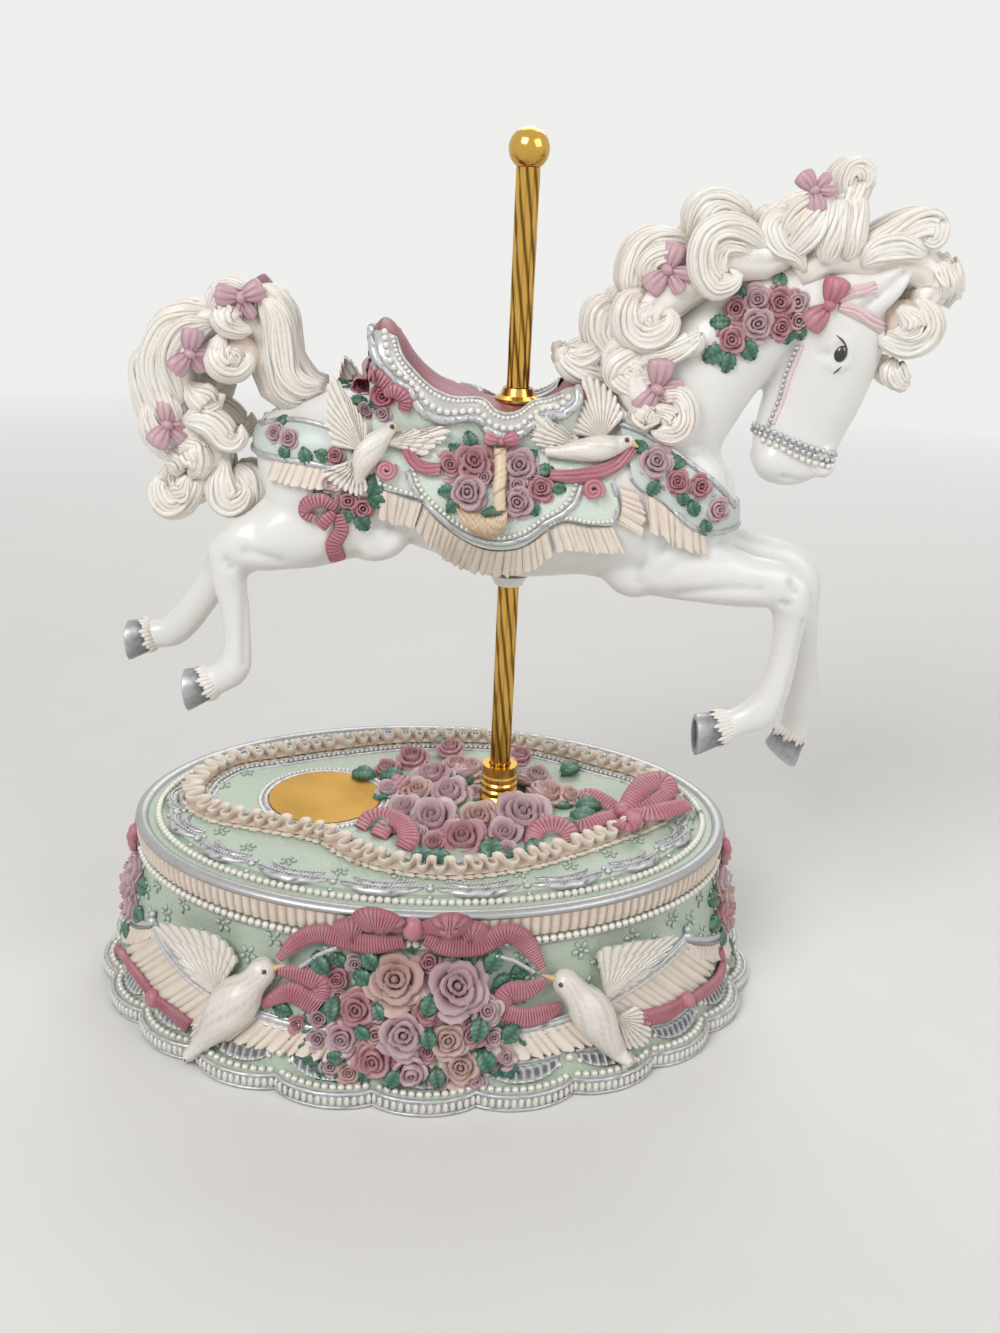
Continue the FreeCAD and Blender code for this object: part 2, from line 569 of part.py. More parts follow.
def twisted_pole():
    """The fluted pole, lofted through turned sections, with a spigot that enters the fork."""
    count = max(4, int(round((POLE_TOP - FORK_TOP) / POLE_STEP)))
    valley = POLE_RADIUS - FLUTE_DEPTH
    wires = []
    for k in range(count + 1):
        z = FORK_TOP + (POLE_TOP - FORK_TOP) * k / count
        twist = 2 * math.pi * (FORK_TOP - z) / POLE_PITCH
        edges = []
        for n in range(POLE_FLUTES):
            corners = []
            for part, radius in ((0, valley), (0.5, POLE_RADIUS), (1, valley)):
                turn = twist + 2 * math.pi * (n + part) / POLE_FLUTES
                corners.append(V(radius * math.cos(turn), radius * math.sin(turn), z))
            edges.append(Part.Arc(*corners).toShape())
        wires.append(Part.Wire(edges))
    return loft(wires).fuse(cylinder(SPIGOT_RADIUS, FORK_BRIDGE, V(0, 0, FORK_UNDER)))


def ball_finial():
    """The ball on the pole, with a blind hole over the pole's end."""
    ball = Part.makeSphere(BALL_RADIUS, V(0, 0, POLE_TOP + BALL_RADIUS - BALL_SINK))
    return ball.cut(cylinder(POLE_RADIUS + FIT_GAP, BALL_SINK, V(0, 0, POLE_TOP - BALL_SINK)))


def saddle_flange():
    """The trumpet-shaped brass ring where the pole leaves the saddle."""
    bore = POLE_RADIUS + FIT_GAP
    middle = (bore + FLANGE_RADIUS) / 2
    profile = [(bore, 0), (FLANGE_RADIUS, 0), (FLANGE_RADIUS, FLANGE_EDGE), (middle, FLANGE_HEIGHT * 0.45)]
    profile += [(bore + FLANGE_EDGE, FLANGE_HEIGHT), (bore, FLANGE_HEIGHT)]
    return turned(profile, SEAT)


def belly_collar():
    """The flared collar under the belly."""
    bore = POLE_RADIUS + FIT_GAP
    middle = (bore + COLLAR_RADIUS) / 2
    profile = [(bore, 0), (bore + FLANGE_EDGE, 0), (middle, COLLAR_HEIGHT * 0.45)]
    profile += [(COLLAR_RADIUS, COLLAR_HEIGHT), (bore, COLLAR_HEIGHT)]
    return turned(profile, BELLY - COLLAR_HEIGHT)


def trunk_solid(extra=0.0):
    """The barrel of the horse, or a copy that is thicker all round by extra."""
    wires = []
    for x, z, high, wide in TRUNK:
        wires.append(ring(horse_point(x, 0, z), UP, SIDE, high + extra, wide + extra))
    return loft(wires)


def pole_bore():
    """The round way for the pole through the horse and its tack."""
    return cylinder(POLE_RADIUS + GLUE_GAP, SEAT - BELLY + COLLAR_HEIGHT, V(0, 0, BELLY - COLLAR_HEIGHT))


def horse_casting(trunk):
    """Barrel, neck, head, ears and legs as one casting, bored for the pole."""
    centred = [[(x, 0, z, deep, wide) for x, z, deep, wide in stations] for stations in (NECK, HEAD)]
    pieces = [bent_loft(stations) for stations in centred]
    pieces += [limb(stations, y_top, y_low, LEG_ROUNDNESS) for stations, y_top, y_low in LEGS]
    pieces += [limb(EAR, y, y, EAR_FLATNESS) for y in (-EAR_Y, EAR_Y)]
    body = trunk
    for piece in pieces:
        body = body.fuse(piece)
    seat = cylinder(COLLAR_RADIUS, COLLAR_RADIUS, V(0, 0, BELLY - COLLAR_RADIUS))
    return body.cut([seat, pole_bore()])


def eyes(horse):
    """Two beads let into the head."""
    half_width = HEAD[2][3]
    beads = []
    for side in (-1, 1):
        y = side * (half_width - EYE_PROUD)
        beads.append(Part.makeSphere(EYE_RADIUS, horse_point(EYE_AT[0], y, EYE_AT[1])).cut(horse))
    return Part.makeCompound(beads)


def flank_y(x, z):
    """Half width of the barrel at a place along it and a height over the belly collar."""
    for first, second in zip(TRUNK, TRUNK[1:]):
        if first[0] <= x <= second[0]:
            share = (x - first[0]) / (second[0] - first[0])
            middle, high, wide = [a + (b - a) * share for a, b in zip(first[1:], second[1:])]
            return wide * math.sqrt(max(0.0, 1 - ((z - middle) / high) ** 2))
    return 0.0


def saddle_cloth(trunk, horse):
    """The cloth over the barrel, trimmed to its outline, with its hem frill and the blooms on both flanks."""
    cloth = trunk_solid(CLOTH).common(side_slab(CLOTH_OUTLINE, STRAIGHT, TRIM_REACH))
    frill = trunk_solid(CLOTH + FRILL).common(side_slab(FRILL_OUTLINE, FRILL_BOWS, TRIM_REACH))
    flowers = []
    for x, z, radius in CLOTH_BLOOMS:
        for side in (-1, 1):
            flowers.append(Part.makeSphere(radius, horse_point(x, side * (flank_y(x, z) + CLOTH), z)))
    return cloth.fuse([frill] + flowers).cut([trunk, horse, pole_bore()])


def strap(points, trunk, others):
    """A strap round the barrel, trimmed to its outline and clear of the horse and other tack."""
    skin = trunk_solid(STRAP).cut(trunk)
    return skin.common(side_slab(points, STRAIGHT, TRIM_REACH)).cut(others)


def saddle(horse, cloth):
    """Seat, cantle and pommel in one piece, arched from side to side and seated on the cloth."""
    sections = []
    for x, seat, edge, half in SADDLE:
        near, far = horse_point(x, -half, edge), horse_point(x, half, edge)
        low_far, low_near = horse_point(x, half, SADDLE_FOOT), horse_point(x, -half, SADDLE_FOOT)
        edges = [Part.Arc(near, horse_point(x, 0, seat), far).toShape()]
        corners = [far, low_far, low_near, near]
        edges += [Part.LineSegment(a, b).toShape() for a, b in zip(corners, corners[1:])]
        sections.append(Part.Wire(edges))
    boss = cylinder(FLANGE_RADIUS, SEAT_BOSS, V(0, 0, SEAT - SEAT_BOSS))
    body = Part.makeLoft(sections, True, True).fuse(boss)
    return body.cut([trunk_solid(CLOTH), cloth, horse, pole_bore()])


def tail(horse):
    """The arched tail with its larger curls."""
    return limb(TAIL, 0, 0, TAIL_ROUNDNESS).fuse(balls(TAIL_CURLS)).cut(horse)


def heart_cam():
    """A heart cam: the roller's centre rises evenly over half a turn and falls evenly over the other half."""
    reach = ROLLER_RADIUS + CAM_PLAY
    degrees = range(-180, 180)
    centres = []
    for degree in degrees:
        turn = math.radians(degree)
        pitch = CAM_PITCH_LOW + STROKE * abs(turn) / math.pi
        centres.append((pitch * math.cos(turn), pitch * math.sin(turn)))
    points = []
    for k in range(CAM_STEPS):
        turn = 2 * math.pi * (k + 0.5) / CAM_STEPS
        c, s = math.cos(turn), math.sin(turn)
        radius = CAM_HIGH
        for x, y in centres:
            along = x * c + y * s
            across = abs(x * s - y * c)
            if along > 0 and across < reach:
                radius = min(radius, along - math.sqrt(reach * reach - across * across))
        points.append(V(radius * s, -CAM_THICKNESS / 2, AXIS_Z + radius * c))
    plate = Part.Face(Part.makePolygon(points + [points[0]])).extrude(SIDE * CAM_THICKNESS)
    return plate.cut(cam_arbor())


def cam_arbor(extra=0.0):
    """The short shaft under the pole that carries the cam and its pinion."""
    start = EAR_FRONT - SHAFT_END
    end = EAR_BACK + BRACKET + SHAFT_END
    return cylinder(ARBOR_RADIUS + extra, end - start, V(0, start, AXIS_Z), SIDE)


def cam_bracket():
    """A folded bracket with two upright ears for the cam's shaft."""
    half = BRACKET_HALF_WIDTH
    high = AXIS_Z + ARBOR_RADIUS + EAR_MARGIN
    foot = block((-half, EAR_FRONT, COVER_TOP), (half, EAR_BACK + BRACKET, COVER_TOP + BRACKET))
    ears = [block((-half, y, COVER_TOP), (half, y + BRACKET, high)) for y in (EAR_FRONT, EAR_BACK)]
    holes = [screw_hole(p, UP, COVER_THICKNESS + BRACKET) for p in bracket_screw_places()]
    return foot.fuse(ears).removeSplitter().cut([cam_arbor(FIT_GAP)] + holes)


def bracket_screw_places():
    """Points on the cover's underside where screws hold the cam's bracket."""
    front = EAR_FRONT + BRACKET + SCREW_RADIUS + SIDE_GAP
    back = EAR_BACK - SCREW_RADIUS - SIDE_GAP
    return [V(0, y, COVER_UNDERSIDE) for y in (front, back)]


def lift_fork():
    """The fork on the pole's foot that holds the roller and straddles the cam."""
    half = FORK_HALF_WIDTH
    low = ROLLER_Z - ROLLER_RADIUS
    body = block((-half, -CHEEK_OUTER, low), (half, CHEEK_OUTER, FORK_TOP))
    slot = block((-half, -CHEEK_INNER, low), (half, CHEEK_INNER, FORK_UNDER))
    spigot = cylinder(SPIGOT_RADIUS + FIT_GAP, FORK_BRIDGE, V(0, 0, FORK_UNDER))
    return body.cut([slot, spigot, roller_pin(FIT_GAP)])


def roller_pin(extra=0.0):
    """The pin through the fork's cheeks."""
    return cylinder(ROLLER_PIN + extra, 2 * CHEEK_OUTER, V(0, -CHEEK_OUTER, ROLLER_Z), SIDE)


def lift_roller():
    """The roller that runs on the cam."""
    body = cylinder(ROLLER_RADIUS, CAM_THICKNESS, V(0, -CAM_THICKNESS / 2, ROLLER_Z), SIDE)
    return body.cut(roller_pin(FIT_GAP))


def drum_arbor(extra=0.0):
    """The long shaft of the pinned drum."""
    start = GREAT_PINION_Y - SHAFT_END
    length = BACK_POST_Y + POST + SHAFT_END - start
    return cylinder(ARBOR_RADIUS + extra, length, V(DRUM_X, start, AXIS_Z), SIDE)


def music_drum():
    """The hollow drum, whose pins follow a repeating rule: one row of pins for each comb tooth."""
    start = V(DRUM_X, DRUM_FRONT, AXIS_Z)
    drum = cylinder(DRUM_RADIUS, DRUM_LENGTH, start, SIDE)
    inside = cylinder(DRUM_RADIUS - DRUM_WALL, DRUM_LENGTH - 2 * DRUM_WALL, start + SIDE * DRUM_WALL, SIDE)
    pitch = DRUM_LENGTH / COMB_TEETH
    pins = []
    for row in range(COMB_TEETH):
        for beat in range(PIN_BEATS):
            turn = 2 * math.pi * ((row * 5 + beat * 7) % TUNE_STEPS + 0.5) / TUNE_STEPS
            out = V(math.cos(turn), 0, math.sin(turn))
            foot = start + SIDE * (pitch * (row + 0.5)) + out * (DRUM_RADIUS - PIN_ROOT)
            pins.append(cylinder(PIN_RADIUS, PIN_HEIGHT + PIN_ROOT, foot, out))
    return drum.cut([inside, drum_arbor()]).fuse(pins)


def slow_shaft(extra=0.0):
    """The governor's middle shaft."""
    start = DRUM_BACK + SIDE_GAP
    length = BACK_POST_Y + POST - start
    return cylinder(SLOW_SHAFT_RADIUS + extra, length, V(FLY_X, start, AXIS_Z), SIDE)


def fly_shaft(extra=0.0):
    """The governor's fast shaft."""
    return cylinder(FLY_SHAFT_RADIUS + extra, BACK_POST_Y + POST - ARM_Y, V(FLY_X, ARM_Y, FLY_Z), SIDE)


def fly():
    """The fast shaft with its two air blades."""
    low = V(FLY_X - FLY_SPAN / 2, ARM_Y + POST + SIDE_GAP, FLY_Z - FLY_BLADE / 2)
    return fly_shaft().fuse(Part.makeBox(FLY_SPAN, FLY_LENGTH, FLY_BLADE, low)).removeSplitter()


def bed_screw_places():
    """Points on the cover's underside where screws hold the bedplate."""
    x = (COMB_BACK + COMB_ROOTS) / 2
    front = DRUM_FRONT - SCREW_HEAD_RADIUS
    return [V(x, y, COVER_UNDERSIDE) for y in (front, BACK_POST_Y)]


def comb_screw_places():
    """Points on top of the comb's seat."""
    x = (COMB_BACK + COMB_ROOTS) / 2
    return [V(x, DRUM_FRONT + DRUM_LENGTH * share, COMB_SEAT) for share in (0.22, 0.78)]


def bedplate():
    """The cast frame: floor, comb seat, two bearing posts for the drum and an arm for the governor."""
    end = BACK_POST_Y + POST
    top = AXIS_Z + ARBOR_RADIUS + EAR_MARGIN
    fly_top = FLY_Z + FLY_SHAFT_RADIUS + EAR_MARGIN
    half = POST_HALF_WIDTH
    arm_left = DRUM_X + DRUM_RADIUS + PIN_HEIGHT + SIDE_GAP
    floor_right = DRUM_X + WHEEL_PITCH - SIDE_GAP
    floor = block((COMB_BACK - BED_MARGIN, FRONT_POST_Y, COVER_TOP), (floor_right, end, BED_TOP))
    wing = block((DRUM_X, DRUM_FRONT, COVER_TOP), (FLY_X + half, end, BED_TOP))
    seat = block((COMB_BACK, DRUM_FRONT, BED_TOP), (COMB_ROOTS - SIDE_GAP, DRUM_BACK, COMB_SEAT))
    front = block((DRUM_X - half, FRONT_POST_Y, BED_TOP), (DRUM_X + half, FRONT_POST_Y + POST, top))
    back = block((DRUM_X - half, BACK_POST_Y, BED_TOP), (FLY_X + half, end, fly_top))
    arm = block((arm_left, ARM_Y, BED_TOP), (FLY_X + half, ARM_Y + POST, fly_top))
    frame = floor.fuse([wing, seat, front, back, arm]).removeSplitter()
    slot_ends = WHEEL_Y - SIDE_GAP / 2, WHEEL_Y + GEAR_FACE + SIDE_GAP / 2
    slot = block((DRUM_X - WHEEL_TIP, slot_ends[0], COVER_TOP), (DRUM_X + WHEEL_TIP, slot_ends[1], BED_TOP))
    holes = [screw_hole(p, UP, COVER_THICKNESS + BEDPLATE) for p in bed_screw_places()]
    holes += [screw_hole(p, -UP, COMB_SCREW_BITE) for p in comb_screw_places()]
    return frame.cut([drum_arbor(FIT_GAP), slow_shaft(FIT_GAP), fly_shaft(FIT_GAP), slot] + holes)


def comb():
    """The steel comb: a heel plate and slotted teeth."""
    plate = block((COMB_BACK, DRUM_FRONT, COMB_SEAT), (COMB_TIPS, DRUM_BACK, AXIS_Z))
    pitch = DRUM_LENGTH / COMB_TEETH
    half = COMB_SLOT / 2
    cuts = [screw_hole(p, UP, COMB_THICKNESS) for p in comb_screw_places()]
    for k in range(1, COMB_TEETH):
        y = DRUM_FRONT + pitch * k
        cuts.append(block((COMB_ROOTS, y - half, COMB_SEAT), (COMB_TIPS, y + half, AXIS_Z)))
    return plate.cut(cuts)


def spring_barrel():
    """The round spring housing, open at the top, fixed to the cover."""
    centre = V(DRUM_X, GREAT_Y, COVER_TOP)
    cup = cylinder(GREAT_OUTER, BARREL_HEIGHT, centre)
    hollow = cylinder(GREAT_OUTER - BARREL_WALL, BARREL_HEIGHT, centre + UP * BARREL_WALL)
    return cup.cut([hollow, cylinder(KEY_SHAFT_RADIUS + SLIDE_GAP, BARREL_WALL, centre)])


def mainspring():
    """The flat coiled spring inside the housing."""
    centre = V(DRUM_X, GREAT_Y, COVER_TOP + BARREL_WALL + SPRING_GAP)
    inner = KEY_SHAFT_RADIUS + SPRING_MARGIN
    outer = GREAT_OUTER - BARREL_WALL - SPRING_MARGIN - SPRING_THICKNESS
    steps = SPRING_TURNS * 12
    curves = []
    for offset in (0.0, SPRING_THICKNESS):
        points = []
        for k in range(steps + 1):
            turn = 2 * math.pi * SPRING_TURNS * k / steps
            r = inner + (outer - inner) * k / steps + offset
            points.append(centre + V(r * math.cos(turn), r * math.sin(turn), 0))
        curve = Part.BSplineCurve()
        curve.interpolate(points)
        curves.append((curve.toShape(), points[0], points[-1]))
    edges = [curve for curve, first, last in curves]
    edges += [Part.LineSegment(curves[0][place], curves[1][place]).toShape() for place in (1, 2)]
    face = Part.Face(Part.Wire(Part.sortEdges(edges)[0]))
    return face.extrude(UP * (BARREL_HEIGHT - BARREL_WALL - 2 * SPRING_GAP))


def key_arbor():
    """The upright winding shaft, from the key to the great wheel."""
    return cylinder(KEY_SHAFT_RADIUS, DISC_TOP - KEY_FLOOR, V(DRUM_X, GREAT_Y, KEY_FLOOR))


def great_wheel():
    """The crown wheel on the winding shaft, with upright teeth round its edge."""
    centre = V(DRUM_X, GREAT_Y, 0)
    disc = cylinder(GREAT_OUTER, WHEEL_DISC, centre + UP * DISC_UNDER)
    tip = GREAT_PLANE + ADDENDUM * GEAR_MODULE
    slope = math.tan(PRESSURE_ANGLE)
    half_at_pitch = math.pi * GEAR_MODULE / 4 - BACKLASH / 2
    half_root = half_at_pitch + (GREAT_PLANE - DISC_TOP) * slope
    half_tip = half_at_pitch - (tip - GREAT_PLANE) * slope
    inner = GREAT_PITCH - GREAT_FACE / 2
    section = [(-half_root, DISC_TOP), (half_root, DISC_TOP), (half_tip, tip), (-half_tip, tip)]
    corners = [V(inner, y, z) for y, z in section]
    tooth = Part.Face(Part.makePolygon(corners + [corners[0]])).extrude(V(GREAT_FACE, 0, 0))
    teeth = []
    for k in range(GREAT_TEETH):
        one = tooth.copy()
        one.rotate(V(0, 0, 0), UP, 90 + (k + 0.5) * 360.0 / GREAT_TEETH)
        one.translate(centre)
        teeth.append(one)
    return disc.fuse(teeth).cut(key_arbor())


def winding_key():
    """The butterfly key under the cover: a hub and two wings with finger holes."""
    centre = V(DRUM_X, GREAT_Y, KEY_FLOOR)
    height = COVER_UNDERSIDE - KEY_FLOOR - KEY_GAP
    wing_height = height * KEY_WING_SHARE
    reach = KEY_SPAN / 2 - wing_height / 2
    hub = cylinder(KEY_SHAFT_RADIUS + KEY_HUB_WALL, height, centre)
    wings = Part.makeBox(2 * reach, KEY_WING, wing_height, centre - V(reach, KEY_WING / 2, 0))
    holes = []
    for side in (-1, 1):
        at = centre + V(side * reach, -KEY_WING / 2, wing_height / 2)
        wings = wings.fuse(cylinder(wing_height / 2, KEY_WING, at, SIDE))
        holes.append(cylinder(wing_height / 4, KEY_WING, at, SIDE))
    return hub.fuse(wings).cut(holes + [key_arbor()])


def wall_point(degrees, height):
    """A point on the base's outer wall and the outward direction there."""
    turn = math.radians(degrees)
    a, b = wall_size(height)
    out = V(math.cos(turn) / a, math.sin(turn) / b, 0).normalize()
    return oval_point(a, b, turn, height), out


def blooms(places, cuts):
    """Fused round blooms that stand on a surface, from (point, outward direction, radius) places."""
    solids = [Part.makeSphere(radius, point + out * (radius * ROSE_LIFT)) for point, out, radius in places]
    return solids[0].fuse(solids[1:]).cut(cuts)


def wall_spray(places, turn, body):
    """A cluster of blooms on the wall, moved round the oval by turn degrees."""
    return blooms([wall_point(degrees + turn, height) + (radius,) for degrees, height, radius in places], body)


def top_wreath(body):
    """The blooms round the ferrule, clear of it."""
    room = cylinder(FERRULE_RADIUS * 1.08 + WREATH_GAP, FERRULE_HEIGHT, V(0, 0, BASE_HEIGHT))
    return blooms([(V(x, y, FIELD), UP, radius) for x, y, radius in WREATH], [body, room, medallion()])


def top_ruffle():
    """The pleated ruffle on the field, with crests and valleys along its edge, gathered inside."""
    curve = Part.BSplineCurve()
    curve.interpolate(Points=[V(x, y, FIELD) for x, y in RUFFLE_EDGE], PeriodicFlag=True)
    edge = curve.toShape()
    count = 2 * RUFFLE_PLEATS
    outer, inner = [], []
    for k, point in enumerate(edge.discretize(Number=count + 1)[:count]):
        along = edge.tangentAt(edge.Curve.parameter(point))
        inward = UP.cross(along).normalize()
        outer.append(point + inward * (RUFFLE_TUCK if k % 2 else 0.0))
        inner.append(point + inward * RUFFLE_WIDTH)
    heights = [RUFFLE_VALLEY if k % 2 else RUFFLE_CREST for k in range(count)]
    rim = [point + UP * height for point, height in zip(outer, heights)]
    hem = [point + UP * RUFFLE_GATHER for point in inner]
    panels = []
    for k in range(count):
        n = (k + 1) % count
        panels += [(outer[k], outer[n], rim[n], rim[k]), (inner[n], inner[k], hem[k], hem[n])]
        panels += [(rim[k], rim[n], hem[n]), (rim[k], hem[n], hem[k])]
    faces = [Part.Face(Part.makePolygon(list(corners) + [corners[0]])) for corners in panels]
    under = Part.Face([Part.makePolygon(ends[::-1] + [ends[-1]]) for ends in (outer, inner)])
    ruffle = Part.makeSolid(Part.makeShell(faces + [under]))
    ruffle.fix(SEAM, SEAM, SEAM)
    return ruffle


def wall_doves(cuts):
    """Doves in flight, two on the front wall and two on the back, clear of the sprays."""
    birds = []
    for front in (-1, 1):
        for side in (-1, 1):
            point, out = wall_point(front * 90 + side * DOVE_TURN, DOVE_HEIGHT)
            inward = UP.cross(out) * -side
            along = (inward * 0.7 + UP * 0.7).normalize()
            across = along.cross(out)
            middle = point + out * DOVE_OUT
            body = loft([ring(middle + along * step, out, across, w * DOVE_FLATNESS, w) for step, w in DOVE])
            spread = (UP * 0.9 - inward * 0.45).normalize()
            wing = loft([ring(middle + spread * step, out, spread.cross(out), t, c) for step, c, t in WING])
            birds += body.fuse(wing).cut(cuts).Solids
    return Part.makeCompound(birds)


def cover_screws():
    """The screws that hold the bottom cover."""
    return Part.makeCompound([screw(p, UP, COVER_THICKNESS + SCREW_BITE) for p in cover_screw_places()])


def movement_screws():
    """The screws that hold the bedplate and the cam's bracket to the cover."""
    solids = [screw(p, UP, COVER_THICKNESS + BEDPLATE) for p in bed_screw_places()]
    solids += [screw(p, UP, COVER_THICKNESS + BRACKET) for p in bracket_screw_places()]
    return Part.makeCompound(solids)


def comb_screws():
    """The screws that clamp the comb."""
    depth = COMB_THICKNESS + COMB_SCREW_BITE
    return Part.makeCompound([screw(p + UP * COMB_THICKNESS, -UP, depth) for p in comb_screw_places()])


def base_nodes():
    """The base casting, what closes it and what decorates it."""
    body = base_body()
    front = wall_spray(FRONT_SPRAY, 0, body)
    back = wall_spray(FRONT_SPRAY, 180, body)
    return {
        "base_shell": base_shell(body),
        "bottom_cover": bottom_cover(),
        "cover_screws": cover_screws(),
        "felt_pads": felt_pads(),
        "medallion": medallion(),
        "pole_ferrule": ferrule(),
        "front_rose_spray": front,
        "back_rose_spray": back,
        "right_rose_spray": wall_spray(END_SPRAY, 0, body),
        "left_rose_spray": wall_spray(END_SPRAY, 180, body),
        "top_rose_wreath": top_wreath(body),
        "top_ruffle": top_ruffle(),
        "wall_doves": wall_doves([body, front, back]),
    }


def horse_nodes():
    """The pole with its fittings, the horse and its tack."""
    trunk = trunk_solid()
    horse = horse_casting(trunk)
    cloth = saddle_cloth(trunk, horse)
    seat = saddle(horse, cloth)
    mane = balls(MANE).cut([horse, trunk_solid(CLOTH), seat])
    tail_piece = tail(horse)
    return {
        "twisted_pole": twisted_pole(),
        "ball_finial": ball_finial(),
        "saddle_flange": saddle_flange(),
        "belly_collar": belly_collar(),
        "horse_casting": horse,
        "horse_eyes": eyes(horse),
        "mane": mane,
        "forelock": balls(FORELOCK).cut([horse, mane]),
        "tail": tail_piece,
        "saddle": seat,
        "saddle_cloth": cloth,
        "chest_strap": strap(CHEST_STRAP, trunk, [horse, cloth, mane]),
        "rump_strap": strap(RUMP_STRAP, trunk, [horse, cloth, tail_piece]),
    }


def lift_nodes():
    """The cam drive that raises the pole."""
    place = V(0, PINION_Y, AXIS_Z)
    return {
        "lift_fork": lift_fork(),
        "lift_roller": lift_roller(),
        "roller_pin": roller_pin(),
        "heart_cam": heart_cam(),
        "cam_arbor": cam_arbor(),
        "cam_pinion": gear(GEAR_MODULE, CAM_PINION_TEETH, GEAR_FACE, place, 0.0, cam_arbor()),
        "cam_bracket": cam_bracket(),
    }


def movement_nodes():
    """The wind-up movement: spring, great wheel, drum, comb and governor."""
    drum_at = [V(DRUM_X, y, AXIS_Z) for y in (GREAT_PINION_Y, WHEEL_Y, FINE_Y)]
    slow_at = [V(FLY_X, y, AXIS_Z) for y in (FINE_Y, SECOND_Y)]
    fly_at = V(FLY_X, SECOND_Y, FLY_Z)
    half_wheel = math.pi / WHEEL_TEETH
    half_pinion = math.pi / FINE_PINION_TEETH
    quarter = math.pi / 2
    return {
        "movement_bedplate": bedplate(),
        "movement_screws": movement_screws(),
        "spring_barrel": spring_barrel(),
        "mainspring": mainspring(),
        "key_arbor": key_arbor(),
        "great_wheel": great_wheel(),
        "winding_key": winding_key(),
        "music_drum": music_drum(),
        "drum_arbor": drum_arbor(),
        "great_pinion": gear(GEAR_MODULE, GREAT_PINION_TEETH, GREAT_FACE, drum_at[0], -quarter, drum_arbor()),
        "drive_wheel": gear(GEAR_MODULE, WHEEL_TEETH, GEAR_FACE, drum_at[1], half_wheel, drum_arbor()),
        "governor_wheel": gear(FINE_MODULE, FINE_WHEEL_TEETH, FINE_FACE, drum_at[2], 0.0, drum_arbor()),
        "slow_shaft": slow_shaft(),
        "slow_pinion": gear(
            FINE_MODULE, FINE_PINION_TEETH, FINE_FACE, slow_at[0], math.pi + half_pinion, slow_shaft()),
        "slow_wheel": gear(FINE_MODULE, FINE_WHEEL_TEETH, FINE_FACE, slow_at[1], quarter, slow_shaft()),
        "fly": fly(),
        "fly_pinion": gear(
            FINE_MODULE, FINE_PINION_TEETH, FINE_FACE, fly_at, half_pinion - quarter, fly_shaft()),
        "comb": comb(),
        "comb_screws": comb_screws(),
    }


def main():
    """Writes each piece to its own file and prints its size."""
    os.makedirs("parts", exist_ok=True)
    nodes = {**base_nodes(), **horse_nodes(), **lift_nodes(), **movement_nodes()}
    for name, shape in nodes.items():
        shape.exportStep(os.path.join("parts", name + ".step"))
        print(f"{name}: {len(shape.Solids)} solids, {shape.Volume:.1f} mm3, valid {shape.isValid()}")


main()
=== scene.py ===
"""Looks of a carousel horse music box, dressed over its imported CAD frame."""
import logging
import math
from dataclasses import dataclass, field
from enum import Enum
from typing import Any, Optional, Sequence

import bpy
import numpy as np
from mathutils import Matrix, Vector
from mathutils.bvhtree import BVHTree


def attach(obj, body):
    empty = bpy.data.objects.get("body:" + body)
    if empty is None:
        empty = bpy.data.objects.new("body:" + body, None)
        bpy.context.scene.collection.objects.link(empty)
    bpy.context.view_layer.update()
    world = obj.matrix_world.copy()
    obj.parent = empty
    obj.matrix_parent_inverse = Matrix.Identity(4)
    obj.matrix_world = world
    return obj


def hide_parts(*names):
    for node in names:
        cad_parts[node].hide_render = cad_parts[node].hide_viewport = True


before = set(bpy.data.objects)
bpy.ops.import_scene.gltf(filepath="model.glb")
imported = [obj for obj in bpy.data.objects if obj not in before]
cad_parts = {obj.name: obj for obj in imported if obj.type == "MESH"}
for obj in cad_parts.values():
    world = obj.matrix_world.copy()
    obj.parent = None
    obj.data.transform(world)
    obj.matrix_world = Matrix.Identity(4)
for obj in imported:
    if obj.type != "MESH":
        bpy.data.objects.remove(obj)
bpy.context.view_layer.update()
LOG = logging.getLogger("music_box")

MM = 0.001
PX_PER_MM = 3.75            # photograph pixels to a millimetre at the object's near side
BELLY = 128.4               # height of the belly collar's underside, mm
BASE_X = -19.8              # middle of the oval base, mm
FORK_TOP = 37.8             # height where the pole's flutes start, mm
UP = np.array((0.0, 0.0, 1.0))
NEAR = np.array((0.0, -1.0, 0.0))
Row = Sequence[float]
Rows = Sequence[Row]
Line = tuple[np.ndarray, np.ndarray]    # points and outward directions


class Body(Enum):
    """The moving bodies that new pieces ride on."""
    BASE = "base"
    HORSE = "horse"


class Slot(Enum):
    """Names of the record's material slots."""
    GREEN = "resin_green"
    WHITE = "resin_white"
    CREAM = "resin_cream"
    ROSE = "resin_rose"
    MINT = "resin_mint"
    EYE = "eye_black"


# Shading

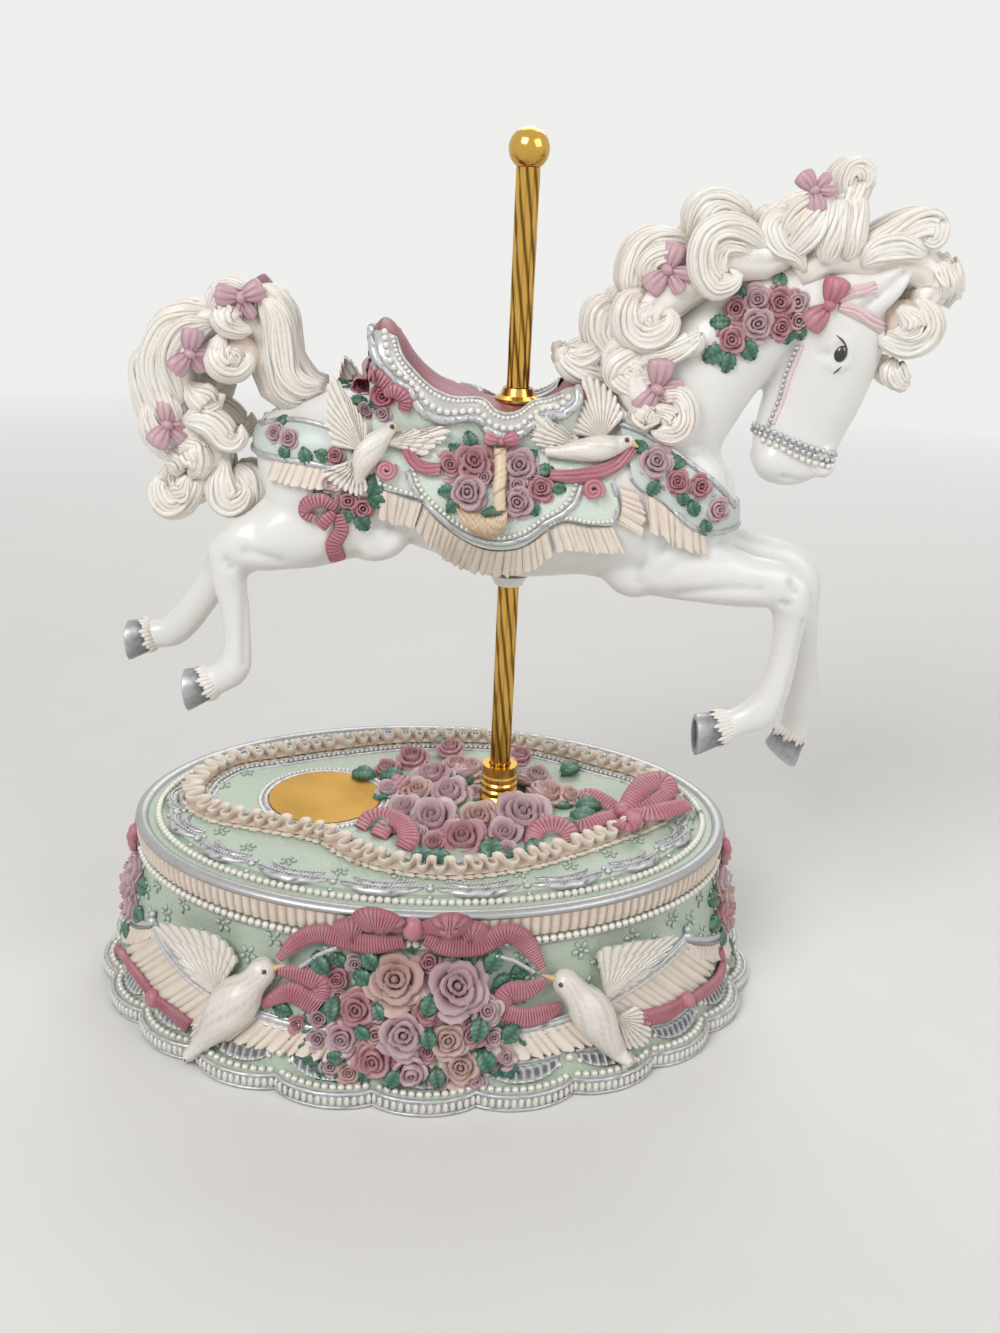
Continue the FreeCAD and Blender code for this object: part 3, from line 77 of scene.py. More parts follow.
class Value:
    """A number socket whose arithmetic adds Math nodes."""

    def __init__(self, paint: "Paint", socket: bpy.types.NodeSocket) -> None:
        """Keeps the paint that owns the nodes and the socket."""
        self.paint = paint
        self.socket = socket

    def math(self, operation: str, first: Any, second: Any = None, clamp: bool = False) -> "Value":
        """Adds one Math node.

        Args:
            operation: the Math node's operation.
            first: first input, a Value or a number.
            second: second input, where the operation has one.
            clamp: keeps the result between 0 and 1.

        Returns:
            The node's result.
        """
        inputs = {0: first} if second is None else {0: first, 1: second}
        node = self.paint.node("ShaderNodeMath", {"operation": operation, "use_clamp": clamp}, inputs)
        return Value(self.paint, node.outputs[0])

    def __add__(self, other: Any) -> "Value":
        """Sum of two values."""
        return self.math("ADD", self, other)

    def __sub__(self, other: Any) -> "Value":
        """Difference of two values."""
        return self.math("SUBTRACT", self, other)

    def __rsub__(self, other: Any) -> "Value":
        """Difference with this value taken away."""
        return self.math("SUBTRACT", other, self)

    def __mul__(self, other: Any) -> "Value":
        """Product of two values."""
        return self.math("MULTIPLY", self, other)

    def __truediv__(self, other: Any) -> "Value":
        """Quotient of two values."""
        return self.math("DIVIDE", self, other)

    def __pow__(self, other: Any) -> "Value":
        """This value to a power."""
        return self.math("POWER", self, other)

    def held(self) -> "Value":
        """This value kept between 0 and 1."""
        return self.math("ADD", self, 0.0, True)

    def above(self, edge: float, soft: float) -> "Value":
        """0 below an edge and 1 above it, with a soft step."""
        return ((self - (edge - soft)) / (2.0 * soft)).held()


class Paint:
    """Builds the nodes of one material."""
    bump_strength = 0.6
    coat_roughness = 0.18

    def __init__(self, name: str) -> None:
        """Starts an empty material with a Principled shader.

        Args:
            name: the material's name.
        """
        self.material = bpy.data.materials.new(name)
        self.material.use_nodes = True
        self.tree = self.material.node_tree
        self.shader = self.tree.nodes["Principled BSDF"]
        self.coordinates = self.node("ShaderNodeTexCoord", {}, {}).outputs["Object"]

    def node(self, kind: str, settings: dict[str, Any], inputs: dict[Any, Any]) -> bpy.types.Node:
        """Adds any node.

        Args:
            kind: the node's type.
            settings: attributes to set first.
            inputs: values or links by socket name or number.

        Returns:
            The new node.
        """
        node = self.tree.nodes.new(kind)
        for key, value in settings.items():
            setattr(node, key, value)
        self.feed(node, inputs)
        return node

    def feed(self, node: bpy.types.Node, inputs: dict[Any, Any]) -> None:
        """Sets or links a node's sockets.

        Args:
            node: the node.
            inputs: values or links by socket name or number.
        """
        for key, value in inputs.items():
            source = value.socket if isinstance(value, Value) else value
            if isinstance(source, bpy.types.NodeSocket):
                self.tree.links.new(source, node.inputs[key])
            else:
                node.inputs[key].default_value = source

    def noise(self, scale: float, detail: float = 3.0, stretch: Row = (1, 1, 1)) -> Value:
        """Noise over the object's own coordinates.

        Args:
            scale: noise cells to a metre.
            detail: octaves.
            stretch: scale along each axis.

        Returns:
            The noise, around 0.5.
        """
        place = self.node("ShaderNodeMapping", {}, {"Vector": self.coordinates, "Scale": tuple(stretch)})
        inputs = {"Vector": place.outputs[0], "Scale": scale, "Detail": detail}
        node = self.node("ShaderNodeTexNoise", {}, inputs)
        return Value(self, node.outputs["Fac"])

    def cells(self, scale: float) -> Value:
        """Distance to the middle of random cells, scale cells to a metre."""
        node = self.node("ShaderNodeTexVoronoi", {}, {"Vector": self.coordinates, "Scale": scale})
        return Value(self, node.outputs["Distance"])

    def axis(self, index: int) -> Value:
        """One of the object's own coordinates, in metres."""
        node = self.node("ShaderNodeSeparateXYZ", {}, {0: self.coordinates})
        return Value(self, node.outputs[index])

    def groove(self) -> Value:
        """The groove mask that each point of a piece carries, which the finishes darken partly as antiquing
        and partly as painted shade.
        """
        node = self.node("ShaderNodeAttribute", {"attribute_name": "groove"}, {})
        return Value(self, node.outputs["Fac"])

    def mix(self, first: Any, second: Any, share: Any) -> bpy.types.NodeSocket:
        """Mixes two colours.

        Args:
            first: colour or link at share 0.
            second: colour or link at share 1.
            share: the mix, a Value or number.

        Returns:
            The mixed colour's socket.
        """
        ends = [(*c, 1.0) if isinstance(c, tuple) else c for c in (first, second)]
        node = self.node("ShaderNodeMix", {"data_type": "RGBA"}, {0: share, 6: ends[0], 7: ends[1]})
        return node.outputs[2]

    def dress(self, colour: Any, roughness: Any, height: Optional[Value] = None, depth: float = 0.0002,
              metallic: Any = 0.0, coat: float = 0.0) -> bpy.types.Material:
        """Connects the shader.

        Args:
            colour: base colour or link.
            roughness: roughness, a Value or number.
            height: relief for a Bump node.
            depth: the relief's full height in metres.
            metallic: metallic share, a Value or number.
            coat: clear coat weight.

        Returns:
            The finished material.
        """
        inputs = {"Base Color": (*colour, 1.0) if isinstance(colour, tuple) else colour,
                  "Roughness": roughness, "Metallic": metallic, "Coat Weight": coat,
                  "Coat Roughness": self.coat_roughness}
        if height is not None:
            relief = {"Strength": self.bump_strength, "Distance": depth, "Height": height}
            bump = self.node("ShaderNodeBump", {}, relief)
            inputs["Normal"] = bump.outputs[0]
        self.feed(self.shader, inputs)
        return self.material


@dataclass(frozen=True)
class Finish:
    """A named finish; each kind mixes its own material."""
    name: str

    def material(self) -> bpy.types.Material:
        """The finish's material, made once."""
        made = bpy.data.materials.get(self.name)
        return made if made else self.mixed(Paint(self.name))

    def mixed(self, paint: Paint) -> bpy.types.Material:
        """Mixes the material; each kind of finish has its own.

        Args:
            paint: the empty material.

        Returns:
            The finished material.
        """
        raise NotImplementedError


@dataclass(frozen=True)
class WashedShadedResin(Finish):
    """Painted cast resin with a clouded tint, darkened by groove: partly antiquing in its grooves, partly
    painted shade in hollows and under its parts.
    """
    colour: Row
    wash_and_shade: Row
    tint: Row
    tint_share: float = 0.35
    wash_and_shade_share: float = 0.85
    roughness: float = 0.42
    coat: float = 0.12
    grain: float = 0.00006

    def mixed(self, paint: Paint) -> bpy.types.Material:
        """Colour with clouded tint, antiquing and painted shade by groove, and a fine brushed grain.

        Args:
            paint: the empty material.

        Returns:
            The finished material.
        """
        cloud = paint.noise(120.0, 3.0).above(0.52, 0.16)
        fine = paint.noise(1400.0, 4.0)
        groove = paint.groove()
        body = paint.mix(self.colour, self.tint, cloud * self.tint_share)
        # edge: the groove mask with noise; it darkens grooves as antiquing and hollows and undersides as
        # painted shade
        edge = (groove + (fine - 0.5) * 0.35 + (cloud - 0.5) * 0.1).held() * self.wash_and_shade_share
        groove_darkened = paint.mix(body, self.wash_and_shade, edge)
        rough = edge * 0.25 + (fine - 0.5) * 0.12 + self.roughness
        return paint.dress(groove_darkened, rough, fine, self.grain, 0.0, self.coat)


@dataclass(frozen=True)
class GlazedWhite(Finish):
    """White satin glaze of the horse, with grey painted shade in its hollows."""
    colour: Row = (0.83, 0.815, 0.785)
    cool: Row = (0.79, 0.785, 0.775)
    # hollow: grey painted shade for the skin's creases
    hollow: Row = (0.44, 0.43, 0.42)

    def mixed(self, paint: Paint) -> bpy.types.Material:
        """White with a faint cloud and grey painted shade in the creases.

        Args:
            paint: the empty material.

        Returns:
            The finished material.
        """
        cloud = paint.noise(45.0, 3.0).above(0.5, 0.3)
        fine = paint.noise(1100.0, 3.0)
        groove = paint.groove()
        body = paint.mix(self.colour, self.cool, cloud * 0.5)
        groove_darkened = paint.mix(body, self.hollow, (groove * 0.8).held())
        return paint.dress(groove_darkened, groove * 0.2 + (cloud * 0.06) + 0.3, fine, 0.00002, 0.0, 0.3)


@dataclass(frozen=True)
class SilverPaint(Finish):
    """Silver paint rubbed bright on its high spots, darkened in its grooves partly by antiquing and partly as
    painted shade.
    """
    bright: Row = (0.58, 0.58, 0.59)
    dark: Row = (0.12, 0.12, 0.13)
    metallic: float = 0.4

    def mixed(self, paint: Paint) -> bpy.types.Material:
        """Bright and dark silver by groove, partly antiquing and partly painted shade, with a rubbed grain.

        Args:
            paint: the empty material.

        Returns:
            The finished material.
        """
        rub = paint.noise(700.0, 4.0)
        cloud = paint.noise(90.0, 2.0)
        # dark: the groove mask, partly antiquing and partly painted shade at the feet of beads and under
        # parts, with rubbed and clouded noise
        dark = (paint.groove() * 1.1 + (rub - 0.5) * 0.7 + (cloud - 0.5) * 0.5).held()
        colour = paint.mix(self.bright, self.dark, dark)
        return paint.dress(colour, dark * 0.3 + 0.34, rub, 0.00008, self.metallic - dark * 0.25)


@dataclass(frozen=True)
class Pearl(Finish):
    """Small cream pearls with a soft sheen."""
    colour: Row = (0.80, 0.78, 0.71)
    # shade: grey painted shade where each pearl meets its surface
    shade: Row = (0.42, 0.40, 0.37)

    def mixed(self, paint: Paint) -> bpy.types.Material:
        """Cream with grey painted shade at the foot of each pearl.

        Args:
            paint: the empty material.

        Returns:
            The finished material.
        """
        cloud = paint.noise(500.0, 2.0)
        colour = paint.mix(self.colour, self.shade, (paint.groove() + (cloud - 0.6)).held())
        return paint.dress(colour, cloud * 0.2 + 0.18, None, 0.0, 0.1, 0.5)


@dataclass(frozen=True)
class GlitterCloth(Finish):
    """Pale mint cloth set with fine glitter."""
    colour: Row = (0.63, 0.725, 0.645)
    pale: Row = (0.74, 0.80, 0.73)
    wash_and_shade: Row = (0.33, 0.42, 0.37)
    fleck: Row = (0.88, 0.91, 0.88)

    def mixed(self, paint: Paint) -> bpy.types.Material:
        """Mint with bright flecks, a sandy relief and painted shade by groove.

        Args:
            paint: the empty material.

        Returns:
            The finished material.
        """
        grain = paint.cells(1500.0)
        fleck = (1.0 - grain).above(0.74, 0.06)
        cloud = paint.noise(160.0, 3.0).above(0.5, 0.2)
        body = paint.mix(self.colour, self.pale, cloud * 0.7)
        # The groove mask darkens the cloth as painted shade where its edge tucks into the horse.
        groove_darkened = paint.mix(body, self.wash_and_shade, paint.groove() * 0.8)
        flecked = paint.mix(groove_darkened, self.fleck, fleck * 0.75)
        return paint.dress(flecked, 0.55 - fleck * 0.3, grain, 0.00012, fleck * 0.4)


@dataclass(frozen=True)
class Brass(Finish):
    """Polished or machined brass and steel with rubbing marks."""
    colour: Row = (0.86, 0.58, 0.18)
    shade: Row = (0.42, 0.24, 0.06)
    roughness: float = 0.16
    streak: Row = (1.0, 1.0, 1.0)

    def mixed(self, paint: Paint) -> bpy.types.Material:
        """Metal with a soft tarnish and fine marks.

        Args:
            paint: the empty material.

        Returns:
            The finished material.
        """
        cloud = paint.noise(70.0, 4.0).above(0.58, 0.2)
        mark = paint.noise(900.0, 3.0, self.streak)
        colour = paint.mix(self.colour, self.shade, cloud * 0.35)
        return paint.dress(colour, mark * 0.16 + cloud * 0.1 + (self.roughness - 0.06), mark, 0.00002, 1.0)


@dataclass(frozen=True)
class TwistedBrass(Finish):
    """Polished brass of the fluted pole, with painted shade in the flutes that wind round it."""
    colour: Row = (0.66, 0.40, 0.09)
    # shade: painted shade for the flutes
    shade: Row = (0.13, 0.055, 0.012)
    flutes: int = 8
    pitch: float = 130.0
    start: float = FORK_TOP

    def mixed(self, paint: Paint) -> bpy.types.Material:
        """Bright on the ridges and darkened in the flutes as painted shade, with fine marks.

        Args:
            paint: the empty material.

        Returns:
            The finished material.
        """
        mark = paint.noise(900.0, 3.0, (1.0, 1.0, 0.2))
        angle = paint.axis(1).math("ARCTAN2", paint.axis(1), paint.axis(0))
        wound = angle - (self.start - paint.axis(2) / MM) * (2 * math.pi / self.pitch)
        flute = (wound * self.flutes).math("COSINE", wound * self.flutes) * 0.5 + 0.5
        # The flutes are darkened as painted shade.
        colour = paint.mix(self.colour, self.shade, flute.above(0.72, 0.26) * 0.9)
        return paint.dress(colour, mark * 0.1 + flute * 0.08 + 0.06, mark, 0.00002, 1.0)


@dataclass(frozen=True)
class Fibre(Finish):
    """Felt and pressed board, matt with short fibres."""
    colour: Row
    shade: Row
    scale: float = 900.0

    def mixed(self, paint: Paint) -> bpy.types.Material:
        """Two tones of fibre with a rough relief.

        Args:
            paint: the empty material.

        Returns:
            The finished material.
        """
        fibre = paint.noise(self.scale, 6.0, (1.0, 0.35, 1.0))
        fleck = paint.noise(self.scale * 0.3, 3.0)
        colour = paint.mix(self.colour, self.shade, (fibre * 0.7 + fleck * 0.5 - 0.1).held())
        return paint.dress(colour, fibre * 0.1 + 0.85, fibre, 0.0002)


@dataclass(frozen=True)
class BaseCasting(Finish):
    """Sage green base casting with silver paint on its foot."""
    colour: Row = (0.47, 0.55, 0.45)
    pale: Row = (0.54, 0.62, 0.52)
    shade: Row = (0.34, 0.40, 0.33)
    silver: Row = (0.62, 0.62, 0.63)
    dark_silver: Row = (0.30, 0.30, 0.31)
    foot: float = 4.6

    def mixed(self, paint: Paint) -> bpy.types.Material:
        """Clouded green, silver up to the foot's edge.

        Args:
            paint: the empty material.

        Returns:
            The finished material.
        """
        height = paint.axis(2) / MM
        cloud = paint.noise(60.0, 4.0).above(0.5, 0.25)
        fine = paint.noise(900.0, 4.0)
        green = paint.mix(self.colour, self.pale, cloud * 0.7)
        shaded = paint.mix(green, self.shade, fine.above(0.6, 0.1) * 0.4)
        silver = paint.mix(self.silver, self.dark_silver, fine.above(0.55, 0.12))
        foot = 1.0 - height.above(self.foot, 0.3)
        colour = paint.mix(shaded, silver, foot)
        return paint.dress(colour, fine * 0.2 + 0.4, fine, 0.00008, foot * 0.4, 0.1)


@dataclass(frozen=True)
class GlassEye(Finish):
    """Black glass bead of the eye."""
    colour: Row = (0.006, 0.006, 0.007)
    depth: Row = (0.03, 0.018, 0.012)

    def mixed(self, paint: Paint) -> bpy.types.Material:
        """Near-black with faint brown clouds.

        Args:
            paint: the empty material.

        Returns:
            The finished material.
        """
        cloud = paint.noise(300.0, 2.0)
        colour = paint.mix(self.colour, self.depth, cloud.above(0.55, 0.15))
        return paint.dress(colour, cloud * 0.04 + 0.05, None, 0.0, 0.0, 1.0)


WHITE = GlazedWhite("horse_white_glaze")
HAIR = WashedShadedResin("cream_hair", (0.90, 0.87, 0.815), (0.19, 0.19, 0.20), (0.90, 0.77, 0.64),
                   tint_share=0.6, wash_and_shade_share=0.95, roughness=0.4, coat=0.15)
# Peach for the hollows between strands: partly the hair's peach paint, partly painted shade.
HOLLOW = WashedShadedResin("hair_hollow", (0.86, 0.77, 0.67), (0.50, 0.42, 0.36), (0.86, 0.70, 0.56),
                     tint_share=0.6, wash_and_shade_share=0.7)
LASH = WashedShadedResin("painted_lash", (0.09, 0.07, 0.07), (0.03, 0.025, 0.025), (0.13, 0.10, 0.10))
SEAT = WashedShadedResin("saddle_leather", (0.22, 0.045, 0.062), (0.09, 0.016, 0.024), (0.31, 0.09, 0.115),
                   tint_share=0.7, wash_and_shade_share=0.9, roughness=0.5)
ROSE = WashedShadedResin("dusty_rose", (0.50, 0.25, 0.28), (0.19, 0.06, 0.075), (0.62, 0.41, 0.43),
                   tint_share=0.6, wash_and_shade_share=0.85)
LILAC = WashedShadedResin("lilac_rose", (0.55, 0.38, 0.42), (0.23, 0.11, 0.14), (0.66, 0.52, 0.53),
                    tint_share=0.6, wash_and_shade_share=0.85)
BLUSH = WashedShadedResin("blush_rose", (0.59, 0.40, 0.365), (0.24, 0.11, 0.095), (0.68, 0.52, 0.47),
                    tint_share=0.6, wash_and_shade_share=0.85)
RIBBON = WashedShadedResin("rose_ribbon", (0.49, 0.17, 0.215), (0.17, 0.035, 0.055), (0.62, 0.35, 0.38),
                     tint_share=0.55, wash_and_shade_share=0.9)
PINK = WashedShadedResin("lilac_ribbon", (0.57, 0.35, 0.40), (0.22, 0.09, 0.13), (0.66, 0.48, 0.50),
                   tint_share=0.5, wash_and_shade_share=0.85)
PALE_PINK = WashedShadedResin("pale_ribbon", (0.79, 0.60, 0.61), (0.56, 0.34, 0.36), (0.83, 0.71, 0.70),
                        tint_share=0.6, wash_and_shade_share=0.7)
LEAF = WashedShadedResin("rose_leaf", (0.065, 0.20, 0.13), (0.012, 0.05, 0.035), (0.20, 0.36, 0.26),
                   tint_share=0.5, wash_and_shade_share=0.9, roughness=0.36, coat=0.2)
RUFFLE = WashedShadedResin("ivory_ruffle", (0.84, 0.77, 0.67), (0.50, 0.37, 0.28), (0.83, 0.69, 0.58),
                     tint_share=0.5, wash_and_shade_share=0.8, roughness=0.5)
BAND = WashedShadedResin("peach_band", (0.84, 0.75, 0.65), (0.42, 0.29, 0.22), (0.82, 0.66, 0.56),
                   tint_share=0.4, wash_and_shade_share=0.8, roughness=0.5)
DOVE = WashedShadedResin("pearl_dove", (0.84, 0.80, 0.74), (0.42, 0.34, 0.27), (0.83, 0.74, 0.68),
                   tint_share=0.4, wash_and_shade_share=0.75, roughness=0.34, coat=0.3, grain=0.0003)
BEAK = WashedShadedResin("dove_beak", (0.70, 0.46, 0.24), (0.34, 0.18, 0.08), (0.76, 0.56, 0.36))
WICKER = WashedShadedResin("peach_wicker", (0.76, 0.60, 0.42), (0.34, 0.20, 0.10), (0.78, 0.68, 0.52))
RELIEF_GREEN = WashedShadedResin("embossed_green", (0.46, 0.55, 0.46), (0.15, 0.21, 0.16), (0.56, 0.64, 0.55),
                           tint_share=0.5, wash_and_shade_share=0.9)
STRAP_GREEN = WashedShadedResin("strap_green", (0.59, 0.66, 0.61), (0.28, 0.33, 0.31), (0.67, 0.72, 0.68),
                          tint_share=0.5, wash_and_shade_share=0.8)
SILVER = SilverPaint("silver_paint")
PEWTER = SilverPaint("rim_silver", (0.44, 0.44, 0.44), (0.10, 0.10, 0.10), metallic=0.6)
HOOF = SilverPaint("hoof_silver", (0.52, 0.52, 0.53), (0.10, 0.10, 0.11), metallic=0.6)
PEARL = Pearl("cream_pearl")
MINT = GlitterCloth("mint_glitter")
GOLD = Brass("polished_brass", (0.66, 0.40, 0.09), (0.30, 0.15, 0.03), roughness=0.13)
POLE = TwistedBrass("twisted_brass")
MEDAL = Brass("medallion_brass", (0.44, 0.26, 0.06), (0.30, 0.16, 0.035), roughness=0.5)
MOVEMENT = Brass("movement_brass_metal", (0.70, 0.52, 0.22), (0.40, 0.28, 0.10),
                 roughness=0.3, streak=(1.0, 1.0, 0.2))
STEEL = Brass("movement_steel_metal", (0.55, 0.56, 0.57), (0.32, 0.32, 0.33),
              roughness=0.28, streak=(0.3, 1.0, 1.0))
CAST = Brass("bedplate_metal", (0.45, 0.45, 0.46), (0.28, 0.28, 0.29), roughness=0.45)
FELT = Fibre("green_felt", (0.05, 0.13, 0.08), (0.09, 0.19, 0.12), scale=1400.0)
BOARD = Fibre("cover_board_fibre", (0.20, 0.13, 0.08), (0.30, 0.21, 0.13), scale=500.0)
GREEN = BaseCasting("sage_casting")
EYE = GlassEye("black_glass_eye")


# Meshes in the making

@dataclass
class Relief:
    """A mesh in millimetres with a groove depth at every point."""
    points: np.ndarray
    faces: list[tuple[int, ...]]
    groove: np.ndarray

    def __add__(self, other: "Relief") -> "Relief":
        """Both meshes as one."""
        return gathered([self, other])

    def moved(self, matrix: np.ndarray) -> "Relief":
        """Moves the mesh and keeps it the right way out.

        Args:
            matrix: a 4 by 4 matrix.

        Returns:
            The moved mesh.
        """
        points = self.points @ matrix[:3, :3].T + matrix[:3, 3]
        flip = np.linalg.det(matrix[:3, :3]) < 0
        faces = [face[::-1] for face in self.faces] if flip else self.faces
        return Relief(points, faces, self.groove)

    def faced(self, out: np.ndarray) -> "Relief":
        """Turns the faces to look along a direction.

        Args:
            out: the direction.

        Returns:
            The mesh, turned over where it looked the other way.
        """
        corners = np.array([self.points[list(face[:3])] for face in self.faces])
        normals = np.cross(corners[:, 1] - corners[:, 0], corners[:, 2] - corners[:, 1])
        if float((normals @ np.array(out, dtype=float)).sum()) >= 0:
            return self
        return Relief(self.points, [tuple(reversed(face)) for face in self.faces], self.groove)

    def both_sides(self) -> "Relief":
        """The mesh with its mirror image on the other side of the pole."""
        return self + self.moved(np.diag([1.0, -1.0, 1.0, 1.0]))


def gathered(reliefs: Sequence[Relief]) -> Relief:
    """Joins many meshes.

    Args:
        reliefs: the meshes, at least one.

    Returns:
        One mesh.
    """
    shift = 0
    faces: list[tuple[int, ...]] = []
    for relief in reliefs:
        faces += [tuple(i + shift for i in face) for face in relief.faces]
        shift += len(relief.points)
    return Relief(np.vstack([r.points for r in reliefs]), faces, np.concatenate([r.groove for r in reliefs]))


def lattice(points: np.ndarray, groove: np.ndarray, around: bool = False, caps: bool = False,
            ring: bool = False) -> Relief:
    """Covers a grid of points with quads.

    Args:
        points: rows by columns by 3.
        groove: rows by columns.
        around: joins the last column to the first.
        caps: closes the first and last row with a fan; needs around.
        ring: joins the last row to the first.

    Returns:
        The mesh.
    """
    rows, columns = points.shape[:2]
    flat = points.reshape(-1, 3)
    depth = groove.reshape(-1)
    last = columns if around else columns - 1
    faces = []
    for i in range(rows if ring else rows - 1):
        low, high = i * columns, (i + 1) % rows * columns
        for j in range(last):
            k = (j + 1) % columns
            faces.append((low + j, low + k, high + k, high + j))
    if caps:
        ends = np.array([points[0].mean(axis=0), points[-1].mean(axis=0)])
        first = len(flat)
        flat = np.vstack([flat, ends])
        depth = np.concatenate([depth, [groove[0].mean(), groove[-1].mean()]])
        start = (rows - 1) * columns
        for j in range(columns):
            k = (j + 1) % columns
            faces.append((k, j, first))
            faces.append((start + j, start + k, first + 1))
    return Relief(flat.copy(), faces, depth.copy())


def smooth_rows(rows: Rows, count: int) -> np.ndarray:
    """Draws a smooth line through rows of numbers.

    Args:
        rows: places and any other numbers, such as widths, that change along the line.
        count: rows wanted.

    Returns:
        The rows along the line, evenly spaced by length of their first three numbers.
    """
    table = np.array(rows, dtype=float)
    if len(table) == 2:
        return table[0] + np.linspace(0, 1, count)[:, None] * (table[1] - table[0])
    padded = np.vstack([2 * table[0] - table[1], table, 2 * table[-1] - table[-2]])
    fine = []
    for i in range(len(table) - 1):
        a, b, c, d = padded[i:i + 4]
        t = np.linspace(0, 1, 24, endpoint=False)[:, None]
        fine.append(0.5 * (2 * b + (c - a) * t + (2 * a - 5 * b + 4 * c - d) * t ** 2
                           + (3 * b - a - 3 * c + d) * t ** 3))
    line = np.vstack(fine + [table[-1:]])
    steps = np.linalg.norm(np.diff(line[:, :3], axis=0), axis=1)
    length = np.concatenate([[0], np.cumsum(steps)])
    wanted = np.linspace(0, length[-1], count)
    return np.stack([np.interp(wanted, length, line[:, k]) for k in range(line.shape[1])], axis=1)


def unit(vectors: np.ndarray) -> np.ndarray:
    """Vectors scaled to length one."""
    return vectors / np.maximum(np.linalg.norm(vectors, axis=-1, keepdims=True), 1e-9)


def along(path: np.ndarray) -> np.ndarray:
    """Directions along a path."""
    return unit(np.gradient(path, axis=0))


def length_of(path: np.ndarray) -> float:
    """Length of a path."""
    return float(np.linalg.norm(np.diff(path, axis=0), axis=1).sum())


def split(hits: Sequence[Line]) -> Line:
    """Many spots with their directions as two arrays."""
    return np.array([hit[0] for hit in hits]), np.array([hit[1] for hit in hits])


def turning(degrees: float) -> Row:
    """Cosine and sine of an angle in degrees."""
    return math.cos(math.radians(degrees)), math.sin(math.radians(degrees))


def tube(path: np.ndarray, across: np.ndarray, high: np.ndarray, facing: Row, sides: int = 20,
         strands: int = 0, depth: float = 0.0, twist: float = 0.0) -> Relief:
    """Sweeps an oval along a path.

    Args:
        path: points of the middle line.
        across: half width at each point, along the direction square to path and facing.
        high: half thickness at each point, towards facing.
        facing: direction that the oval's thickness points to.
        sides: points round the oval.
        strands: ridges round the oval.
        depth: groove depth between ridges as a share of the radius.
        twist: turns of the ridges along the path.

    Returns:
        A closed mesh with its grooves marked.
    """
    tangent = along(path)
    side = unit(np.cross(tangent, np.broadcast_to(np.array(facing, dtype=float), path.shape)))
    face = np.cross(side, tangent)
    angle = np.linspace(0, 2 * math.pi, sides, endpoint=False)
    turn = np.linspace(0, 2 * math.pi * twist, len(path))[:, None]
    ridge = np.ones((len(path), sides))
    if strands:
        spot = strands * (angle[None, :] + turn) / (2 * math.pi)
        strand = np.floor(spot) % strands
        gone = np.linspace(0, 9, len(path))[:, None]
        uneven = 0.25 + 0.75 * (np.sin(strand * 12.9898) * 43758.5453 % 1.0)
        share = uneven * (0.7 + 0.3 * np.sin(strand * 1.7 + gone))
        ridge = 1.0 - (1.0 - np.abs(np.cos(math.pi * spot)) ** 0.7) * share
    swell = 1.0 - depth * (1.0 - ridge)
    rows = (path[:, None, :] + side[:, None, :] * (across[:, None] * np.cos(angle) * swell)[..., None]
            + face[:, None, :] * (high[:, None] * np.sin(angle) * swell)[..., None])
    # groove: dark between the ridges, partly antiquing and partly painted shade
    return lattice(rows, np.clip((1.0 - ridge) * 1.15, 0, 1), True, True)


def ellipsoid(middle: Row, radii: Row, tilt: float = 0.0, sides: int = 20) -> Relief:
    """A ball stretched along three axes.

    Args:
        middle: its middle.
        radii: half sizes along x, y and z before tilting.
        tilt: degrees that it is tilted in the side view.
        sides: points round it.

    Returns:
        A closed mesh.
    """
    rings = max(sides // 2, 5)
    polar = np.linspace(0.08, math.pi - 0.08, rings)
    angle = np.linspace(0, 2 * math.pi, sides, endpoint=False)
    ball = np.stack([np.sin(polar)[:, None] * np.cos(angle), np.sin(polar)[:, None] * np.sin(angle),
                     np.broadcast_to(-np.cos(polar)[:, None], (rings, sides))], axis=-1) * np.array(radii)
    c, s = turning(tilt)
    turned = ball @ np.array([[c, 0, -s], [0, 1, 0], [s, 0, c]]).T
    return lattice(turned + np.array(middle), np.zeros((rings, sides)), True, True)


def pearl(radius: float) -> Relief:
    """One pearl set on a surface: a dome of few sides that points along z.

    Args:
        radius: the pearl's radius.

    Returns:
        A closed dome that starts a little under the surface.
    """
    polar = np.array([0.32, 0.85, 1.4, 2.1])
    angle = np.linspace(0, 2 * math.pi, 8, endpoint=False)
    rows = np.stack([np.sin(polar)[:, None] * np.cos(angle), np.sin(polar)[:, None] * np.sin(angle),
                     np.broadcast_to(np.cos(polar)[:, None] + 0.35, (4, 8))], axis=-1) * radius
    # groove: painted shade round the pearl's foot, where it sits on its surface
    groove = np.broadcast_to(np.array([0.0, 0.0, 0.15, 0.8])[:, None], (4, 8))
    return lattice(rows[::-1], groove[::-1], True, True)


def frame_at(place: np.ndarray, out: np.ndarray, turn: float = 0.0, size: float = 1.0,
             up: Row = (0.0, 0.0, 1.0)) -> np.ndarray:
    """A matrix that stands a shape on a surface.

    Args:
        place: the spot.
        out: the surface's outward direction, which becomes the shape's z.
        turn: degrees round z.
        size: scale.
        up: direction that the shape's y leans to.

    Returns:
        The 4 by 4 matrix.
    """
    z = unit(np.array(out, dtype=float))
    x = np.cross(np.array(up, dtype=float), z)
    x = unit(x) if np.linalg.norm(x) > 1e-3 else np.array([1.0, 0.0, 0.0])
    y = np.cross(z, x)
    c, s = turning(turn)
    matrix = np.eye(4)
    matrix[:3, 0] = (x * c + y * s) * size
    matrix[:3, 1] = (y * c - x * s) * size
    matrix[:3, 2] = z * size
    matrix[:3, 3] = place
    return matrix


